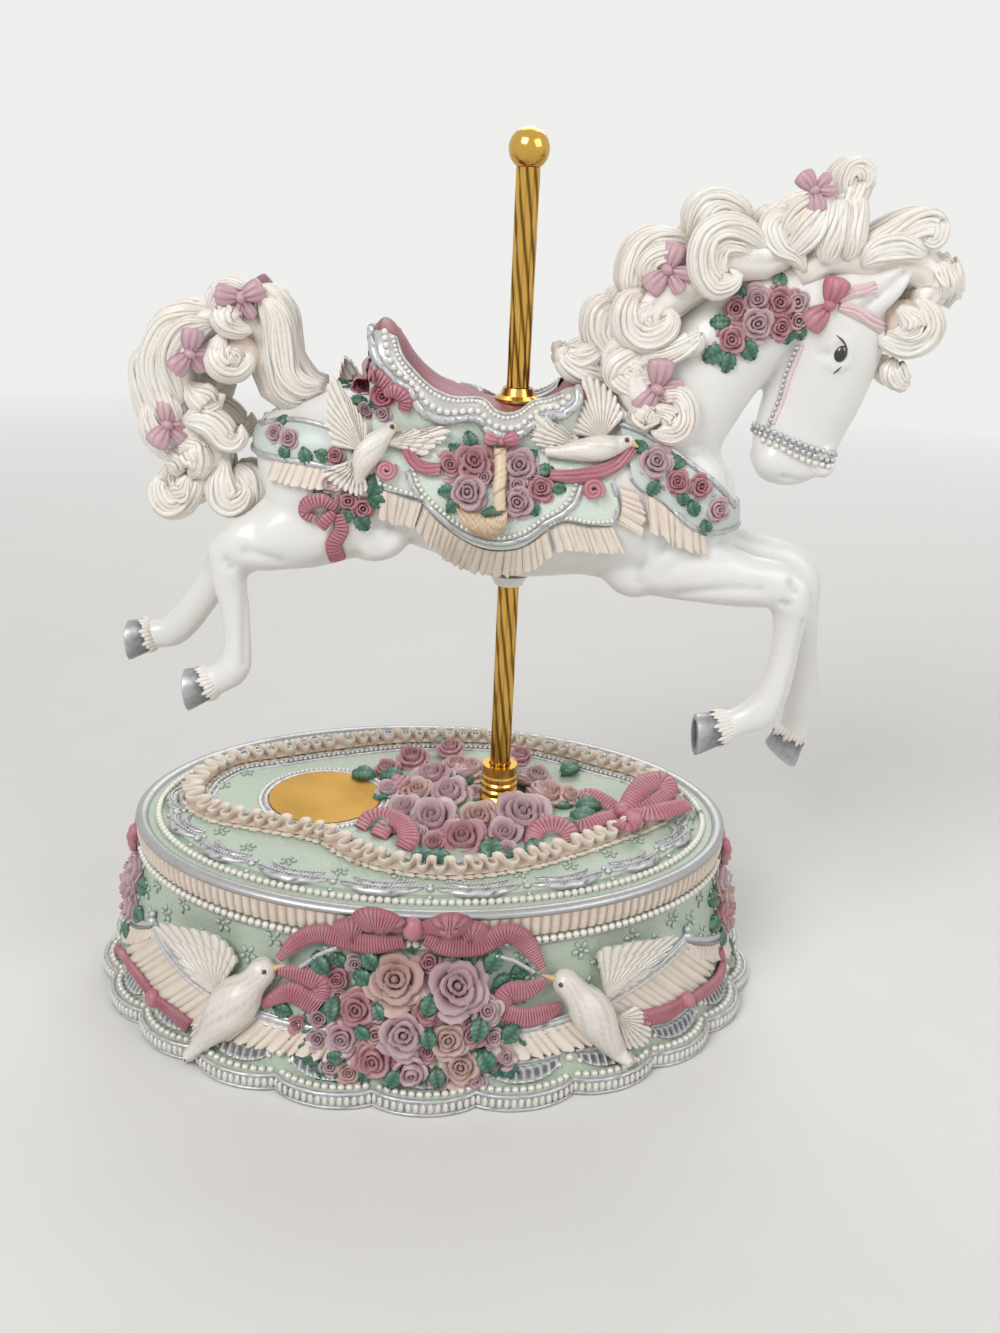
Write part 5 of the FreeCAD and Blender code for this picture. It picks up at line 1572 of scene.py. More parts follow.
@dataclass(frozen=True)
class HorseBody:
    """The white horse: barrel, neck, head, ears and legs as one skin, silver hooves, cream fetlocks."""
    voxel: float = 0.95
    # Barrel: x, height over the belly collar, half height, half width
    trunk: Rows = (
        (-70, 32, 6, 7), (-66, 32, 13, 14), (-58, 30.5, 19, 18.5), (-45, 31, 21, 20.5),
        (-30, 28.5, 19, 20.5), (-15, 24.5, 19.5, 21), (0, 21.7, 21.7, 21.5), (18, 23.5, 22.5, 21),
        (32, 24, 25, 20), (46, 23, 22, 17.5), (56, 22.5, 16.5, 13.5), (62, 23, 8, 7))
    # Neck and head: x, height over the belly collar, half depth, half width
    neck: Rows = (
        (30, 32, 22, 16), (41, 47, 18, 13.5), (52, 62, 15.5, 11.5), (65, 74, 13, 10), (76, 81, 10, 8.5))
    head: Rows = (
        (83, 90, 6, 5), (83.5, 84, 12, 9), (83, 70, 15.2, 11), (81.5, 57, 13.8, 10), (78.5, 46, 12.6, 8.5),
        (76.8, 36, 11.2, 8), (76.8, 31, 8.5, 7), (77, 29, 4, 4))
    # Legs: x, height over the belly collar, half thickness, from the body to the coronet
    front_near: Rows = (
        (38, 10, 12), (52, 6, 10), (64, 3.5, 7.8), (74, 2.5, 6.9), (78.9, -2, 6.3), (79.3, -10, 4.6),
        (79, -20, 4.2), (77.2, -30, 4.8), (74, -36, 5.4), (68, -39.5, 4.4), (63, -41.5, 5.2))
    front_far: Rows = (
        (40, 10, 11), (58, 7, 9), (72, 4, 7.2), (82.5, 2, 6.5), (87.5, -3, 6.2), (89.5, -12, 4.8),
        (91, -24, 4.6), (92.5, -35, 4.8), (93, -43, 5.3), (92, -49.5, 4.6), (91, -53, 5.2))
    hind_near: Rows = (
        (-42, 21, 14), (-55, 15, 12), (-67, 11, 9), (-75, 8, 7), (-77.3, 1, 5.2), (-76, -10, 4.1),
        (-75.8, -20, 4.1), (-77, -26.5, 5.0), (-81, -30, 4.5), (-84.5, -31.5, 5))
    hind_far: Rows = (
        (-44, 22, 13), (-60, 13, 10.5), (-72, 4, 8), (-81, -2.5, 6.6), (-86.5, -9.5, 5.2),
        (-91.5, -17, 4.8), (-96, -22.5, 5), (-99.5, -25.5, 4.8), (-103, -26.2, 4.4), (-106, -26.4, 5))
    # Each leg with its y at the body, its y below and its sole: x, height, half thickness
    legs: Sequence[Any] = (
        (front_near, -8.0, -11.5, (56, -43.8, 6.6)),
        (front_far, 8.0, 11.5, (88.5, -60, 6.5)),
        (hind_near, -8.5, -12.0, (-90.5, -34, 6)),
        (hind_far, 8.5, 12.0, (-112, -28.5, 6.2)))
    ear: Rows = ((86, 76, 3.8), (91, 80.5, 5.2), (96, 85, 4.3), (101.5, 90, 1.0))
    ear_y: float = 7.5
    # Muscles on both sides: x, y, height, half sizes and tilt
    muscles: Rows = (
        (42, 9.5, 22, 17, 9, 20, -24), (-48, 10, 28, 20, 11, 19, 30), (80, 5.2, 74, 10.5, 6.2, 12.5, 12),
        (72.5, 4.2, 36, 6.5, 4.2, 5.5, 0), (60, 9.5, 5, 12, 6, 7.5, -8), (-62, 11, 15, 11, 6.5, 9, 20),
        (84.5, 6.5, 36, 3.6, 2.6, 4.4, 0), (33, 9, 4.5, 9, 6.5, 7, -35), (-37, 12, 12, 9, 7, 6, 10))
    # Fetlocks, hocks and knees of the near legs and the far ones: x, y, height, half sizes and tilt
    knobs: Rows = (
        (75.6, -11.5, -33, 3.4, 3.8, 5.6, -30), (92, 11.5, -43, 3.6, 3.8, 5.4, -10),
        (-76.5, -12, -26, 4.2, 3.8, 5.2, 10), (-96.5, 12, -22.5, 5.0, 3.8, 4.2, 40),
        (-78.2, -12, 6.2, 4.6, 4.6, 5.4, 30), (79, -11.5, 1.0, 5.4, 5.4, 5.6, 40))
    chest: Row = (50, 0, 14, 12, 11, 13, 20)
    hoof_slant: float = 0.3
    # Hoof from coronet to sole: share of its length, size, groove (painted shade at the coronet and towards
    # the sole)
    hoof_section: Rows = (
        (-0.12, 0.98, 0.9), (0.02, 1.06, 0.5), (0.1, 1.0, 0.75), (0.5, 1.1, 0.45), (0.88, 1.2, 0.2),
        (1.0, 1.2, 0.0), (1.04, 1.12, 0.0), (1.03, 0.85, 0.6), (0.93, 0.7, 0.9))
    tuft_locks: int = 24
    skin_ease: float = 0.55
    skin_rounds: int = 14
    # How strongly the skin's creases take the glaze's grey painted shade.
    skin_crease_shade: float = 3.6
    eye_pixel: Row = (841, 354)
    # Painted lines round the eye: across, down
    lashes: Sequence[Rows] = (((836, 335), (843, 341), (848, 350)), ((833, 374), (838, 370), (842, 366)))
    # Sculpting of face and muscles on the near side: x, y, height rows, reach, lift
    strokes: Sequence[Stroke] = (
        Stroke(((80.2, -13, 68.2), (82.2, -13, 70.2), (85, -13, 69.6), (86.6, -13, 67)), 1.2, 0.45),
        Stroke(((80.6, -13, 63.6), (83, -13, 62.4), (86, -13, 63.8)), 1.1, 0.45),
        Stroke(((78.2, -13, 66.2), (80, -13, 66.4)), 1.6, -0.5),
        Stroke(((84, -13, 59), (81, -13, 54), (80, -12, 47)), 2.6, -0.25),
        Stroke(((86.5, -10, 38.5), (85, -11, 36.3), (83.6, -10, 37.2)), 1.25, -1.5),
        Stroke(((86.8, -10, 40.3), (84.2, -11, 39.6), (82.4, -10, 38)), 1.2, 0.6),
        Stroke(((84.5, -9, 31.3), (79, -9, 31.0), (73.5, -9, 32.2)), 0.9, -0.6),
        Stroke(((70, -9, 52), (72.5, -11, 62), (74, -11, 71)), 2.4, -0.55),
        Stroke(((-28, -22, 24), (-33, -22, 17), (-36, -21, 11)), 2.6, -0.8),
        Stroke(((-60, -15, 34), (-66, -13, 24), (-70, -12, 15)), 2.6, -0.6),
        Stroke(((40, -20, 6), (46, -20, 10), (56, -16, 12)), 2.4, -0.7),
        Stroke(((56, -16, 22), (50, -18, 30), (42, -18, 38)), 3.2, -0.6),
        Stroke(((88.5, -10.5, 78.5), (93, -11, 82.5), (98, -10, 87)), 2.1, -1.7),
        Stroke(((82.3, -15, -6.8), (82.1, -15, -16.7), (81.1, -15, -25.6), (79.3, -15, -36)), 1.1, -0.7),
        Stroke(((77.3, -16, 4.6), (78.4, -16, 2.6)), 1.5, -1.0),
        Stroke(((75.3, -16, -0.9), (76.6, -16, -1.2)), 1.2, -0.8),
        Stroke(((46, -17, 0.2), (57.1, -17, 2.6), (68, -17, 3.2)), 1.7, -0.8),
        Stroke(((46.9, -15, -3.6), (57, -15, -3.4), (68, -15, -2.6)), 1.3, -0.6),
        Stroke(((42.5, -20, 15.5), (37.5, -20, 8.7), (35.5, -20, 4)), 2.2, -0.9),
        Stroke(((-72.4, -15, 0), (-73, -15, -13), (-73.4, -15, -24)), 1.1, -0.7),
        Stroke(((-77.3, -18, 6.2), (-76.2, -18, 4.6)), 1.5, -0.9),
        Stroke(((-72, -20, 9.4), (-68, -20, 8.8), (-63, -20, 7)), 1.6, -0.8),
        Stroke(((-52.4, -19, 6.1), (-47.8, -19, 7.3), (-42, -19, 8.6)), 1.7, -0.8))

    @staticmethod
    def stand(x: float, y: float, height: float) -> np.ndarray:
        """A point by its height over the belly collar."""
        return np.array((x, y, BELLY + height))

    @staticmethod
    def stations(rows: Rows, count: int) -> np.ndarray:
        """A smooth line on the middle plane by rows of x, height, half depth and half width."""
        return smooth_rows([(x, 0.0, BELLY + z, deep, wide) for x, z, deep, wide in rows], count)

    def leg(self, rows: Rows, near: float, spread: float) -> Relief:
        """Sweeps one leg down to its coronet."""
        ys = [near, (near + spread) / 2] + [spread] * (len(rows) - 2)
        table = smooth_rows([(x, y, BELLY + z, half) for (x, z, half), y in zip(rows, ys)], 46)
        return tube(table[:, :3], table[:, 3] * 0.86, table[:, 3], self.side_face(table[:, :3]), 24)

    @staticmethod
    def side_face(path: np.ndarray) -> np.ndarray:
        """Directions square to a path in the side view."""
        way = along(path)
        return unit(np.stack([-way[:, 2], np.zeros(len(path)), way[:, 0]], axis=1))

    def parts(self) -> list[Relief]:
        """Makes the swept and rounded forms under the skin.

        Returns:
            The forms.
        """
        barrel = self.stations(self.trunk, 60)
        made = [tube(barrel[:, :3], barrel[:, 4], barrel[:, 3], UP, 40)]
        for table in (self.stations(self.neck, 30), self.stations(self.head, 40)):
            made.append(tube(table[:, :3], table[:, 4], table[:, 3], self.side_face(table[:, :3]), 32))
        made += [self.leg(*leg[:3]) for leg in self.legs]
        for side in (-1, 1):
            ear = smooth_rows([(*self.stand(x, side * self.ear_y, z), half) for x, z, half in self.ear], 16)
            made.append(tube(ear[:, :3], ear[:, 3] * 0.8, ear[:, 3], self.side_face(ear[:, :3]), 16))
            for x, y, z, a, b, c, tilt in self.muscles:
                made.append(ellipsoid(self.stand(x, side * y, z), (a, b, c), tilt, 28))
        for x, y, z, a, b, c, tilt in (self.chest, *self.knobs):
            made.append(ellipsoid(self.stand(x, y, z), (a, b, c), tilt, 28))
        return made

    def carve(self, points: np.ndarray, normals: np.ndarray) -> np.ndarray:
        """Moves a skin along its normals by the strokes of both sides.

        Args:
            points: the skin's points.
            normals: their outward directions.

        Returns:
            The moved points.
        """
        shift = np.zeros(len(points))
        for stroke in self.strokes:
            for side in (1, -1):
                line = smooth_rows([self.stand(x, y * side, z) for x, y, z in stroke.line], 56)
                near = points[:, 1] * -side > -2.0
                seen = points[:, [0, 2]][:, None] - line[None, :, [0, 2]]
                reach = np.sqrt((seen ** 2).sum(axis=2)).min(axis=1)
                outer = np.clip(normals[:, 1] * -side, 0, 1) ** 0.5
                near = near & (np.abs(points[:, 1] - line[:, 1].mean()) < 14)
                shift += np.where(near, stroke.lift * np.exp(-(reach / stroke.reach) ** 2) * outer, 0.0)
        return points + normals * shift[:, None]

    def skin(self) -> Relief:
        """Joins the forms into one smooth skin and sculpts it.

        Returns:
            The skin with its creases.
        """
        whole = gathered(self.parts())
        mesh = bpy.data.meshes.new("horse_forms")
        mesh.from_pydata((whole.points * MM).tolist(), [], whole.faces)
        made = bpy.data.objects.new("horse_forms", mesh)
        bpy.context.collection.objects.link(made)
        select_only(made)
        wrap = made.modifiers.new("wrap", "REMESH")
        wrap.mode = "VOXEL"
        wrap.voxel_size = self.voxel * MM
        ease = made.modifiers.new("ease", "SMOOTH")
        ease.factor = self.skin_ease
        ease.iterations = self.skin_rounds
        for modifier in ("wrap", "ease"):
            bpy.ops.object.modifier_apply(modifier=modifier)
        count = len(made.data.vertices)
        points = np.empty(count * 3)
        normals = np.empty(count * 3)
        made.data.vertices.foreach_get("co", points)
        made.data.vertices.foreach_get("normal", normals)
        faces = [tuple(p.vertices) for p in made.data.polygons]
        bpy.data.objects.remove(made)
        carved = self.carve(points.reshape(-1, 3) / MM, normals.reshape(-1, 3))
        relief = Relief(carved, faces, np.zeros(count))
        # The creases are marked for the glaze's grey painted shade.
        relief.groove = creases(relief, self.skin_crease_shade)
        return relief

    def hoof(self, rows: Rows, y: float, sole: Row) -> Relief:
        """A hoof: an oval block that flares from the coronet to a hollow sole.

        Args:
            rows: the leg's rows.
            y: the leg's y.
            sole: x, height and half thickness of the sole.

        Returns:
            The hoof.
        """
        start = self.stand(rows[-1][0], y, rows[-1][1])
        end = self.stand(sole[0], y, sole[1])
        way = end - start
        share, size, shade = np.array(self.hoof_section).T
        size = size * (rows[-1][2] * 0.96)
        path = start + share[:, None] * way
        facing = np.broadcast_to(self.side_face(np.array([start, end]))[0], path.shape)
        side = np.array((0.0, 1.0, 0.0))
        angle = np.linspace(0, 2 * math.pi, 36, endpoint=False)
        toe = np.array((-way[2], 0.0, way[0])) / np.linalg.norm(way)
        slant = np.clip(share, 0, 1) * self.hoof_slant * (facing[0] @ toe)
        rings = (path[:, None] + side * (size[:, None] * 0.92 * np.cos(angle))[..., None]
                 + facing[:, None] * (size[:, None] * np.sin(angle))[..., None]
                 + unit(way) * (slant[:, None] * size[:, None] * np.sin(angle))[..., None])
        groove = np.broadcast_to(shade[:, None], rings.shape[:2])
        shape = lattice(rings, groove, True, True)
        if np.cross(side, facing[0]) @ way > 0:
            return shape
        return Relief(shape.points, [face[::-1] for face in shape.faces], shape.groove)

    def tuft(self, rows: Rows, y: float, sole: Row) -> Relief:
        """Cream hair all round over the coronet.

        Args:
            rows: the leg's rows.
            y: the leg's y.
            sole: x, height and half thickness of the sole.

        Returns:
            The hair of one leg.
        """
        start = self.stand(rows[-2][0], y, rows[-2][1])
        middle = self.stand(rows[-1][0], y, rows[-1][1])
        end = self.stand(sole[0], y, sole[1])
        facing = self.side_face(np.array([start, end]))[0]
        made = []
        for k in range(self.tuft_locks):
            angle = 2 * math.pi * k / self.tuft_locks
            out = facing * math.sin(angle) + np.array((0, 1.0, 0)) * math.cos(angle) * 0.9
            half = rows[-1][2]
            line = [start * 0.6 + middle * 0.4 + out * half * 0.8,
                    middle * 0.85 + start * 0.15 + out * half * 0.98,
                    middle + (end - middle) * (0.06 + 0.1 * (k * 7 % 3)) + out * half * 1.08]
            path = smooth_rows(line, 9)
            size = np.interp(np.linspace(0, 1, 9), [0, 0.4, 0.8, 1], [0.4, 0.85, 0.7, 0.15])
            made.append(tube(path, size, size * 0.6, out, 8))
        return gathered(made)

    def dress(self) -> Carrier:
        """Makes the horse's pieces.

        Returns:
            The skin, for ornaments to sit on.
        """
        skin = self.skin()
        piece("horse_skin", skin, WHITE, Body.HORSE, ["horse_casting"], 180.0)
        hooves = gathered([self.hoof(rows, spread, sole) for rows, _, spread, sole in self.legs])
        piece("horse_hooves", hooves, HOOF, Body.HORSE, [], 40.0)
        tufts = gathered([self.tuft(rows, spread, sole) for rows, _, spread, sole in self.legs])
        piece("fetlock_hair", tufts, DOVE, Body.HORSE)
        carrier = Carrier([skin])
        spot, out = carrier.seen(*self.eye_pixel)
        eye = ellipsoid((0, 0, 0), (1.8, 2.35, 1.25), 0, 24).moved(frame_at(spot - out * 0.35, out, -14))
        piece("eye_beads", eye.both_sides(), EYE, Body.HORSE, ["horse_eyes"], 180.0)
        lines = []
        for row in self.lashes:
            path, outs = carrier.traced(row, 14)
            size = 0.3 * np.sin(np.linspace(0.25, math.pi - 0.1, 14))
            lines.append(tube(path, size, size * 0.8, outs, 8))
        piece("eye_lines", gathered(lines).both_sides(), LASH, Body.HORSE)
        return carrier


@dataclass(frozen=True)
class Stage:
    """Pale floor, soft lamps and a pale world."""
    pale: Row = (0.83, 0.82, 0.80)
    speckled: Row = (0.80, 0.79, 0.77)
    floor_size: float = 8.0
    # Lamps: place in metres, size in metres, power in watts
    lamps: Sequence[Any] = (
        ((-0.55, -0.75, 0.95), 0.6, 8.8),
        ((0.7, -0.55, 0.7), 0.6, 3.2),
        ((0.1, 0.75, 0.9), 0.8, 4.6))
    aim: Row = (0.0, 0.0, 0.11)
    world_light: float = 0.27
    # Distance in metres over which the floor turns into the pale backdrop
    fade: Row = (0.35, 1.1)
    backdrop: Row = (0.86, 0.86, 0.85)

    def floor(self) -> None:
        """A wide pale floor that keeps the object's shadow."""
        bpy.ops.object.select_all(action="DESELECT")
        bpy.ops.mesh.primitive_plane_add(size=self.floor_size, location=(0, 0, 0))
        made = bpy.context.object
        made.name = "pale_floor"
        bpy.ops.object.mode_set(mode="EDIT")
        bpy.ops.mesh.subdivide(number_cuts=2)
        bpy.ops.object.mode_set(mode="OBJECT")
        paint = Paint("pale_floor_paint")
        speck = paint.noise(40.0, 3.0)
        away = (paint.axis(0) ** 2.0 + paint.axis(1) ** 2.0) ** 0.5
        far = ((away - self.fade[0]) / (self.fade[1] - self.fade[0])).held()
        near = paint.mix(self.pale, self.speckled, speck)
        glow = paint.mix((0.0, 0.0, 0.0), self.backdrop, far)
        paint.tree.links.new(glow, paint.shader.inputs["Emission Color"])
        paint.shader.inputs["Emission Strength"].default_value = 1.0
        paint.shader.inputs["Specular IOR Level"].default_value = 0.0
        made.data.materials.append(paint.dress(paint.mix(near, (0.0, 0.0, 0.0), far), 0.85))

    def light(self) -> None:
        """Soft lamps and a world that shows pale to the camera and in reflections."""
        for place, size, power in self.lamps:
            lamp = bpy.data.lights.new("studio_lamp", "AREA")
            lamp.size = size
            lamp.energy = power
            made = bpy.data.objects.new("studio_lamp", lamp)
            made.location = place
            made.rotation_euler = (Vector(self.aim) - Vector(place)).to_track_quat("-Z", "Y").to_euler()
            bpy.context.collection.objects.link(made)
        world = bpy.data.worlds.new("studio_world")
        bpy.context.scene.world = world
        world.use_nodes = True
        tree = world.node_tree
        back = tree.nodes["Background"]
        path = tree.nodes.new("ShaderNodeLightPath")
        total = tree.nodes.new("ShaderNodeMath")
        more = tree.nodes.new("ShaderNodeMath")
        share = tree.nodes.new("ShaderNodeMapRange")
        tree.links.new(path.outputs["Is Camera Ray"], total.inputs[0])
        tree.links.new(path.outputs["Is Glossy Ray"], total.inputs[1])
        tree.links.new(total.outputs[0], more.inputs[0])
        tree.links.new(path.outputs["Is Transmission Ray"], more.inputs[1])
        tree.links.new(more.outputs[0], share.inputs["Value"])
        share.inputs["To Min"].default_value = self.world_light
        share.inputs["To Max"].default_value = 1.0
        back.inputs["Color"].default_value = (*self.backdrop, 1.0)
        tree.links.new(share.outputs["Result"], back.inputs["Strength"])


@dataclass(frozen=True)
class Hair:
    """Mane, forelock and tail: heavy curls of grooved strands, tied with lilac bows."""
    # Ridges round a lock, their depth as a share of its half width, and where wisps lie across it
    ridges: int = 18
    ridge_depth: float = 0.24
    wisps: Row = (-0.5, 0.42)
    # Factor on all widths, and how far a lock's middle moves into its curl
    slim: float = 0.92
    inset: float = 0.75
    # Locks by the photograph: across, down, y in mm, half width in mm; from root to curled tip
    mane: Sequence[Rows] = (
        ((772, 252, -9, 2), (765, 236, -10, 3), (745, 220, -11, 4.2), (722, 216, -12, 4.6),
         (700, 228, -12, 4.8), (690, 252, -13, 4.8), (694, 280, -13, 4.6), (712, 297, -13, 4.0),
         (735, 290, -13, 3.0), (742, 275, -13, 2.2), (730, 268, -13, 1.3)),
        ((758, 250, -10, 2), (742, 237, -11, 3.2), (722, 236, -12, 3.4), (709, 250, -12, 3.4),
         (708, 270, -12, 3.2), (720, 282, -12, 2.6), (732, 277, -12, 1.6)),
        ((754, 226, -2, 2.5), (747, 203, -3, 4.2), (724, 192, -4, 5.2), (702, 197, -4, 5.2),
         (688, 215, -4, 4.5), (686, 238, -4, 2.5)),
        ((742, 226, -6, 2.5), (727, 206, -7, 4), (706, 212, -7, 4), (696, 232, -7, 2.6)),
        ((698, 242, -4, 2.5), (680, 233, -5, 4), (655, 231, -5, 4.8), (634, 243, -5, 4.8),
         (623, 266, -6, 4.5), (623, 290, -7, 4), (634, 306, -8, 2.2)),
        ((692, 258, -8, 2), (668, 246, -9, 3.4), (646, 252, -9, 3.6), (637, 270, -9, 3.4),
         (644, 288, -9, 1.8)),
        ((642, 284, -10, 2.4), (624, 292, -11, 3.8), (614, 312, -12, 4.6), (617, 335, -12, 4.8),
         (634, 349, -12, 4.6), (656, 349, -13, 4.2), (674, 335, -13, 3.6), (678, 318, -13, 2.8),
         (668, 308, -13, 2.0), (661, 316, -13, 1.2)),
        ((650, 298, -11, 2.2), (634, 312, -12, 3.2), (634, 328, -12, 3.4), (650, 335, -12, 2.8),
         (665, 327, -12, 1.6)),
        ((622, 301, -4, 3), (605, 298, -5, 4.6), (590, 311, -6, 5.2), (588, 335, -6, 5.2),
         (598, 356, -6, 4.8), (606, 378, -7, 3)),
        ((612, 387, -7, 2.5), (590, 386, -7, 4.2), (571, 379, -7, 4.6), (558, 366, -7, 4.0),
         (556, 352, -7, 3.0), (564, 347, -7, 2.4), (572, 354, -7, 1.4)),
        ((602, 352, -7, 2.5), (590, 359, -8, 3.6), (576, 361, -8, 3.2), (564, 357, -8, 1.6)),
        ((642, 345, -11, 2.5), (622, 351, -12, 4), (608, 363, -12, 4.6), (608, 382, -12, 4.6),
         (624, 394, -13, 4), (646, 398, -13, 2.2)),
        ((652, 361, -12, 2.2), (632, 362, -13, 3.4), (623, 374, -13, 3.4), (636, 384, -13, 3.4),
         (655, 384, -13, 3), (669, 375, -13, 1.6)),
        ((640, 352, -12, 2), (660, 350, -13, 3), (680, 338, -13, 3.4), (695, 329, -13, 3.2),
         (703, 340, -13, 3), (698, 354, -13, 2.4), (688, 358, -13, 1.3)),
        ((650, 392, -14, 2), (678, 386, -15, 3.2), (693, 396, -16, 3.8), (697, 415, -16, 4.2),
         (690, 434, -17, 4.2), (674, 443, -17, 3.6), (656, 439, -17, 2.6), (650, 431, -17, 1.4)),
        ((648, 404, -15, 2), (670, 407, -16, 3.2), (683, 419, -17, 3.2), (676, 431, -17, 2.6),
         (661, 430, -17, 1.4)),
        ((803, 274, -9, 1.6), (793, 262, -9, 2.8), (776, 253, -9, 3.4), (764, 234, -8, 3.6),
         (768, 215, -6, 4), (788, 203, -5, 4.4)),
        ((625, 412, -14, 2), (640, 404, -15, 3.6), (660, 415, -16, 4.2), (650, 426, -16, 3)))
    mane_core: Rows = (
        (640, 425, -12, 5), (618, 390, -9, 6.5), (603, 355, -6, 6.5), (622, 325, -6, 7),
        (645, 288, -5, 7.5), (685, 258, -4, 7.5), (724, 236, -4, 8), (768, 238, -4, 7), (800, 240, -4, 7.5))
    forelock: Sequence[Rows] = (
        ((798, 264, -6, 3.5), (812, 242, -6, 5), (828, 216, -5, 5.4), (840, 192, -4, 5),
         (848, 174, -3, 4.8), (862, 166, -3, 4.2), (868, 176, -3, 3), (858, 184, -3, 1.8)),
        ((844, 206, -4, 2.5), (837, 184, -5, 3.2), (845, 164, -5, 3.6), (862, 159, -5, 3.6),
         (873, 172, -5, 3.4), (867, 188, -5, 2.8), (853, 187, -5, 2.0), (851, 177, -5, 1.2)),
        ((780, 240, -6, 3), (792, 222, -7, 5), (812, 206, -7, 5), (834, 198, -6, 3.4)),
        ((790, 256, -9, 2.6), (806, 236, -10, 4.4), (818, 216, -9, 4.4), (828, 200, -8, 2.6)),
        ((824, 264, -10, 2.8), (830, 240, -10, 4.4), (838, 216, -9, 4.4), (842, 198, -7, 2.6)),
        ((846, 262, -9, 3.5), (850, 238, -8, 5), (855, 212, -6, 4.8), (852, 192, -4, 3)),
        ((850, 264, -6, 3), (868, 241, -6, 4.8), (890, 227, -6, 5.2), (915, 213, -6, 5.2),
         (935, 211, -6, 5), (946, 224, -6, 4.6), (942, 242, -7, 4), (929, 249, -7, 3.4),
         (917, 240, -7, 2.4), (921, 230, -7, 1.4)),
        ((858, 262, -9, 2.8), (876, 247, -9, 4.2), (902, 241, -9, 4.2), (928, 252, -9, 2.4)),
        ((934, 254, -3, 3.5), (949, 254, -3, 5), (960, 272, -3, 5.2), (958, 298, -3, 4.6),
         (945, 308, -3, 3), (938, 300, -3, 1.6)),
        ((940, 262, -6, 3), (948, 282, -6, 4.4), (944, 300, -6, 2.6)),
        ((922, 292, -7, 2.6), (939, 310, -7, 4.6), (941, 330, -7, 5), (927, 348, -7, 5),
         (904, 356, -7, 4.6), (884, 349, -7, 3.6), (876, 338, -7, 2.4), (884, 328, -7, 1.3)),
        ((902, 302, -9, 2.4), (920, 315, -9, 3.8), (920, 332, -9, 3.8), (904, 340, -9, 3),
         (891, 333, -9, 1.5)),
        ((888, 356, -4, 2.6), (882, 370, -4, 3.8), (888, 384, -4, 4), (900, 391, -4, 3.4),
         (910, 385, -4, 2.6), (907, 375, -4, 1.5)))
    forelock_core: Rows = (
        (786, 262, -3, 6), (826, 238, -3, 7), (880, 244, -3, 6), (930, 256, -2, 6), (944, 290, -2, 5.5),
        (918, 326, -3, 6))
    tail: Sequence[Rows] = (
        ((322, 394, -4, 2.6), (297, 400, -5, 3.8), (278, 389, -5, 4.0), (271, 360, -5, 4.2),
         (271, 330, -5, 4.2), (266, 306, -5, 4.4), (252, 292, -5, 3)),
        ((326, 385, -3, 2.6), (306, 381, -3, 3.4), (292, 360, -3, 3.4), (284, 335, -3, 3.4),
         (277, 311, -3, 3.6), (265, 297, -3, 3.4), (252, 290, -3, 2.6)),
        ((324, 390, -7, 2.4), (301, 391, -8, 3.6), (284, 374, -8, 3.8), (278, 345, -8, 3.8),
         (274, 319, -8, 3.8), (262, 300, -8, 2.8)),
        ((258, 294, -3, 3), (240, 286, -4, 4.6), (222, 285, -4, 4.6), (208, 294, -4, 4),
         (206, 310, -5, 2.4)),
        ((236, 300, -8, 2.4), (218, 305, -8, 4), (214, 320, -9, 4.4), (224, 334, -9, 4.2),
         (240, 338, -9, 3.2), (254, 332, -9, 1.5)),
        ((217, 330, -8, 2.6), (207, 346, -8, 4.6), (208, 365, -9, 5), (222, 379, -9, 5),
         (240, 380, -9, 4.4), (252, 369, -9, 3.4), (254, 356, -9, 2.4), (245, 350, -9, 1.3)),
        ((228, 344, -10, 2), (224, 357, -10, 3), (233, 367, -10, 3), (244, 361, -10, 1.6)),
        ((214, 304, -4, 3), (185, 305, -4, 5), (161, 314, -4, 5.2), (147, 336, -4, 5.2),
         (142, 362, -4, 5.2), (149, 390, -4, 5), (160, 415, -5, 5), (176, 436, -5, 3.5)),
        ((212, 317, -7, 2.6), (186, 320, -7, 4.8), (170, 334, -7, 5), (162, 358, -7, 5),
         (167, 385, -7, 4.4), (180, 405, -7, 2.6)),
        ((143, 342, -1, 2.8), (136, 366, -1, 4.4), (141, 396, -1, 4.8), (149, 420, -1, 4.8),
         (156, 440, -2, 4), (174, 456, -2, 2.6)),
        ((144, 402, -4, 3.4), (152, 430, -4, 5), (166, 449, -4, 5), (186, 462, -4, 3)),
        ((180, 386, -8, 2.6), (191, 405, -9, 4.6), (207, 414, -9, 4.6), (221, 407, -9, 3.4),
         (226, 395, -9, 1.4)),
        ((184, 428, -8, 2.8), (205, 431, -9, 4.6), (221, 446, -9, 4.6), (237, 449, -9, 4),
         (247, 437, -9, 2.8), (242, 424, -9, 1.2)),
        ((178, 440, -7, 3.4), (198, 441, -8, 5), (210, 456, -8, 5), (206, 474, -8, 4), (190, 480, -8, 2)),
        ((168, 450, -5, 3), (182, 458, -6, 4.6), (188, 470, -6, 4)),
        ((206, 470, -5, 3.4), (201, 495, -6, 5), (186, 513, -6, 5.2), (166, 514, -6, 5),
         (152, 500, -6, 4.4), (150, 483, -6, 3.4), (159, 473, -6, 2.2), (167, 480, -6, 1.2)),
        ((194, 478, -8, 2.4), (189, 496, -8, 3.6), (174, 501, -8, 3.2), (163, 492, -8, 1.6)),
        ((217, 455, -5, 3.4), (208, 480, -6, 5), (214, 504, -6, 5.2), (232, 514, -6, 5),
         (250, 506, -6, 4.6), (256, 490, -6, 3.8), (247, 479, -6, 2.6), (236, 484, -6, 1.4)),
        ((238, 462, -3, 3), (255, 474, -4, 4.8), (262, 494, -4, 4.6), (254, 510, -4, 2.6)))
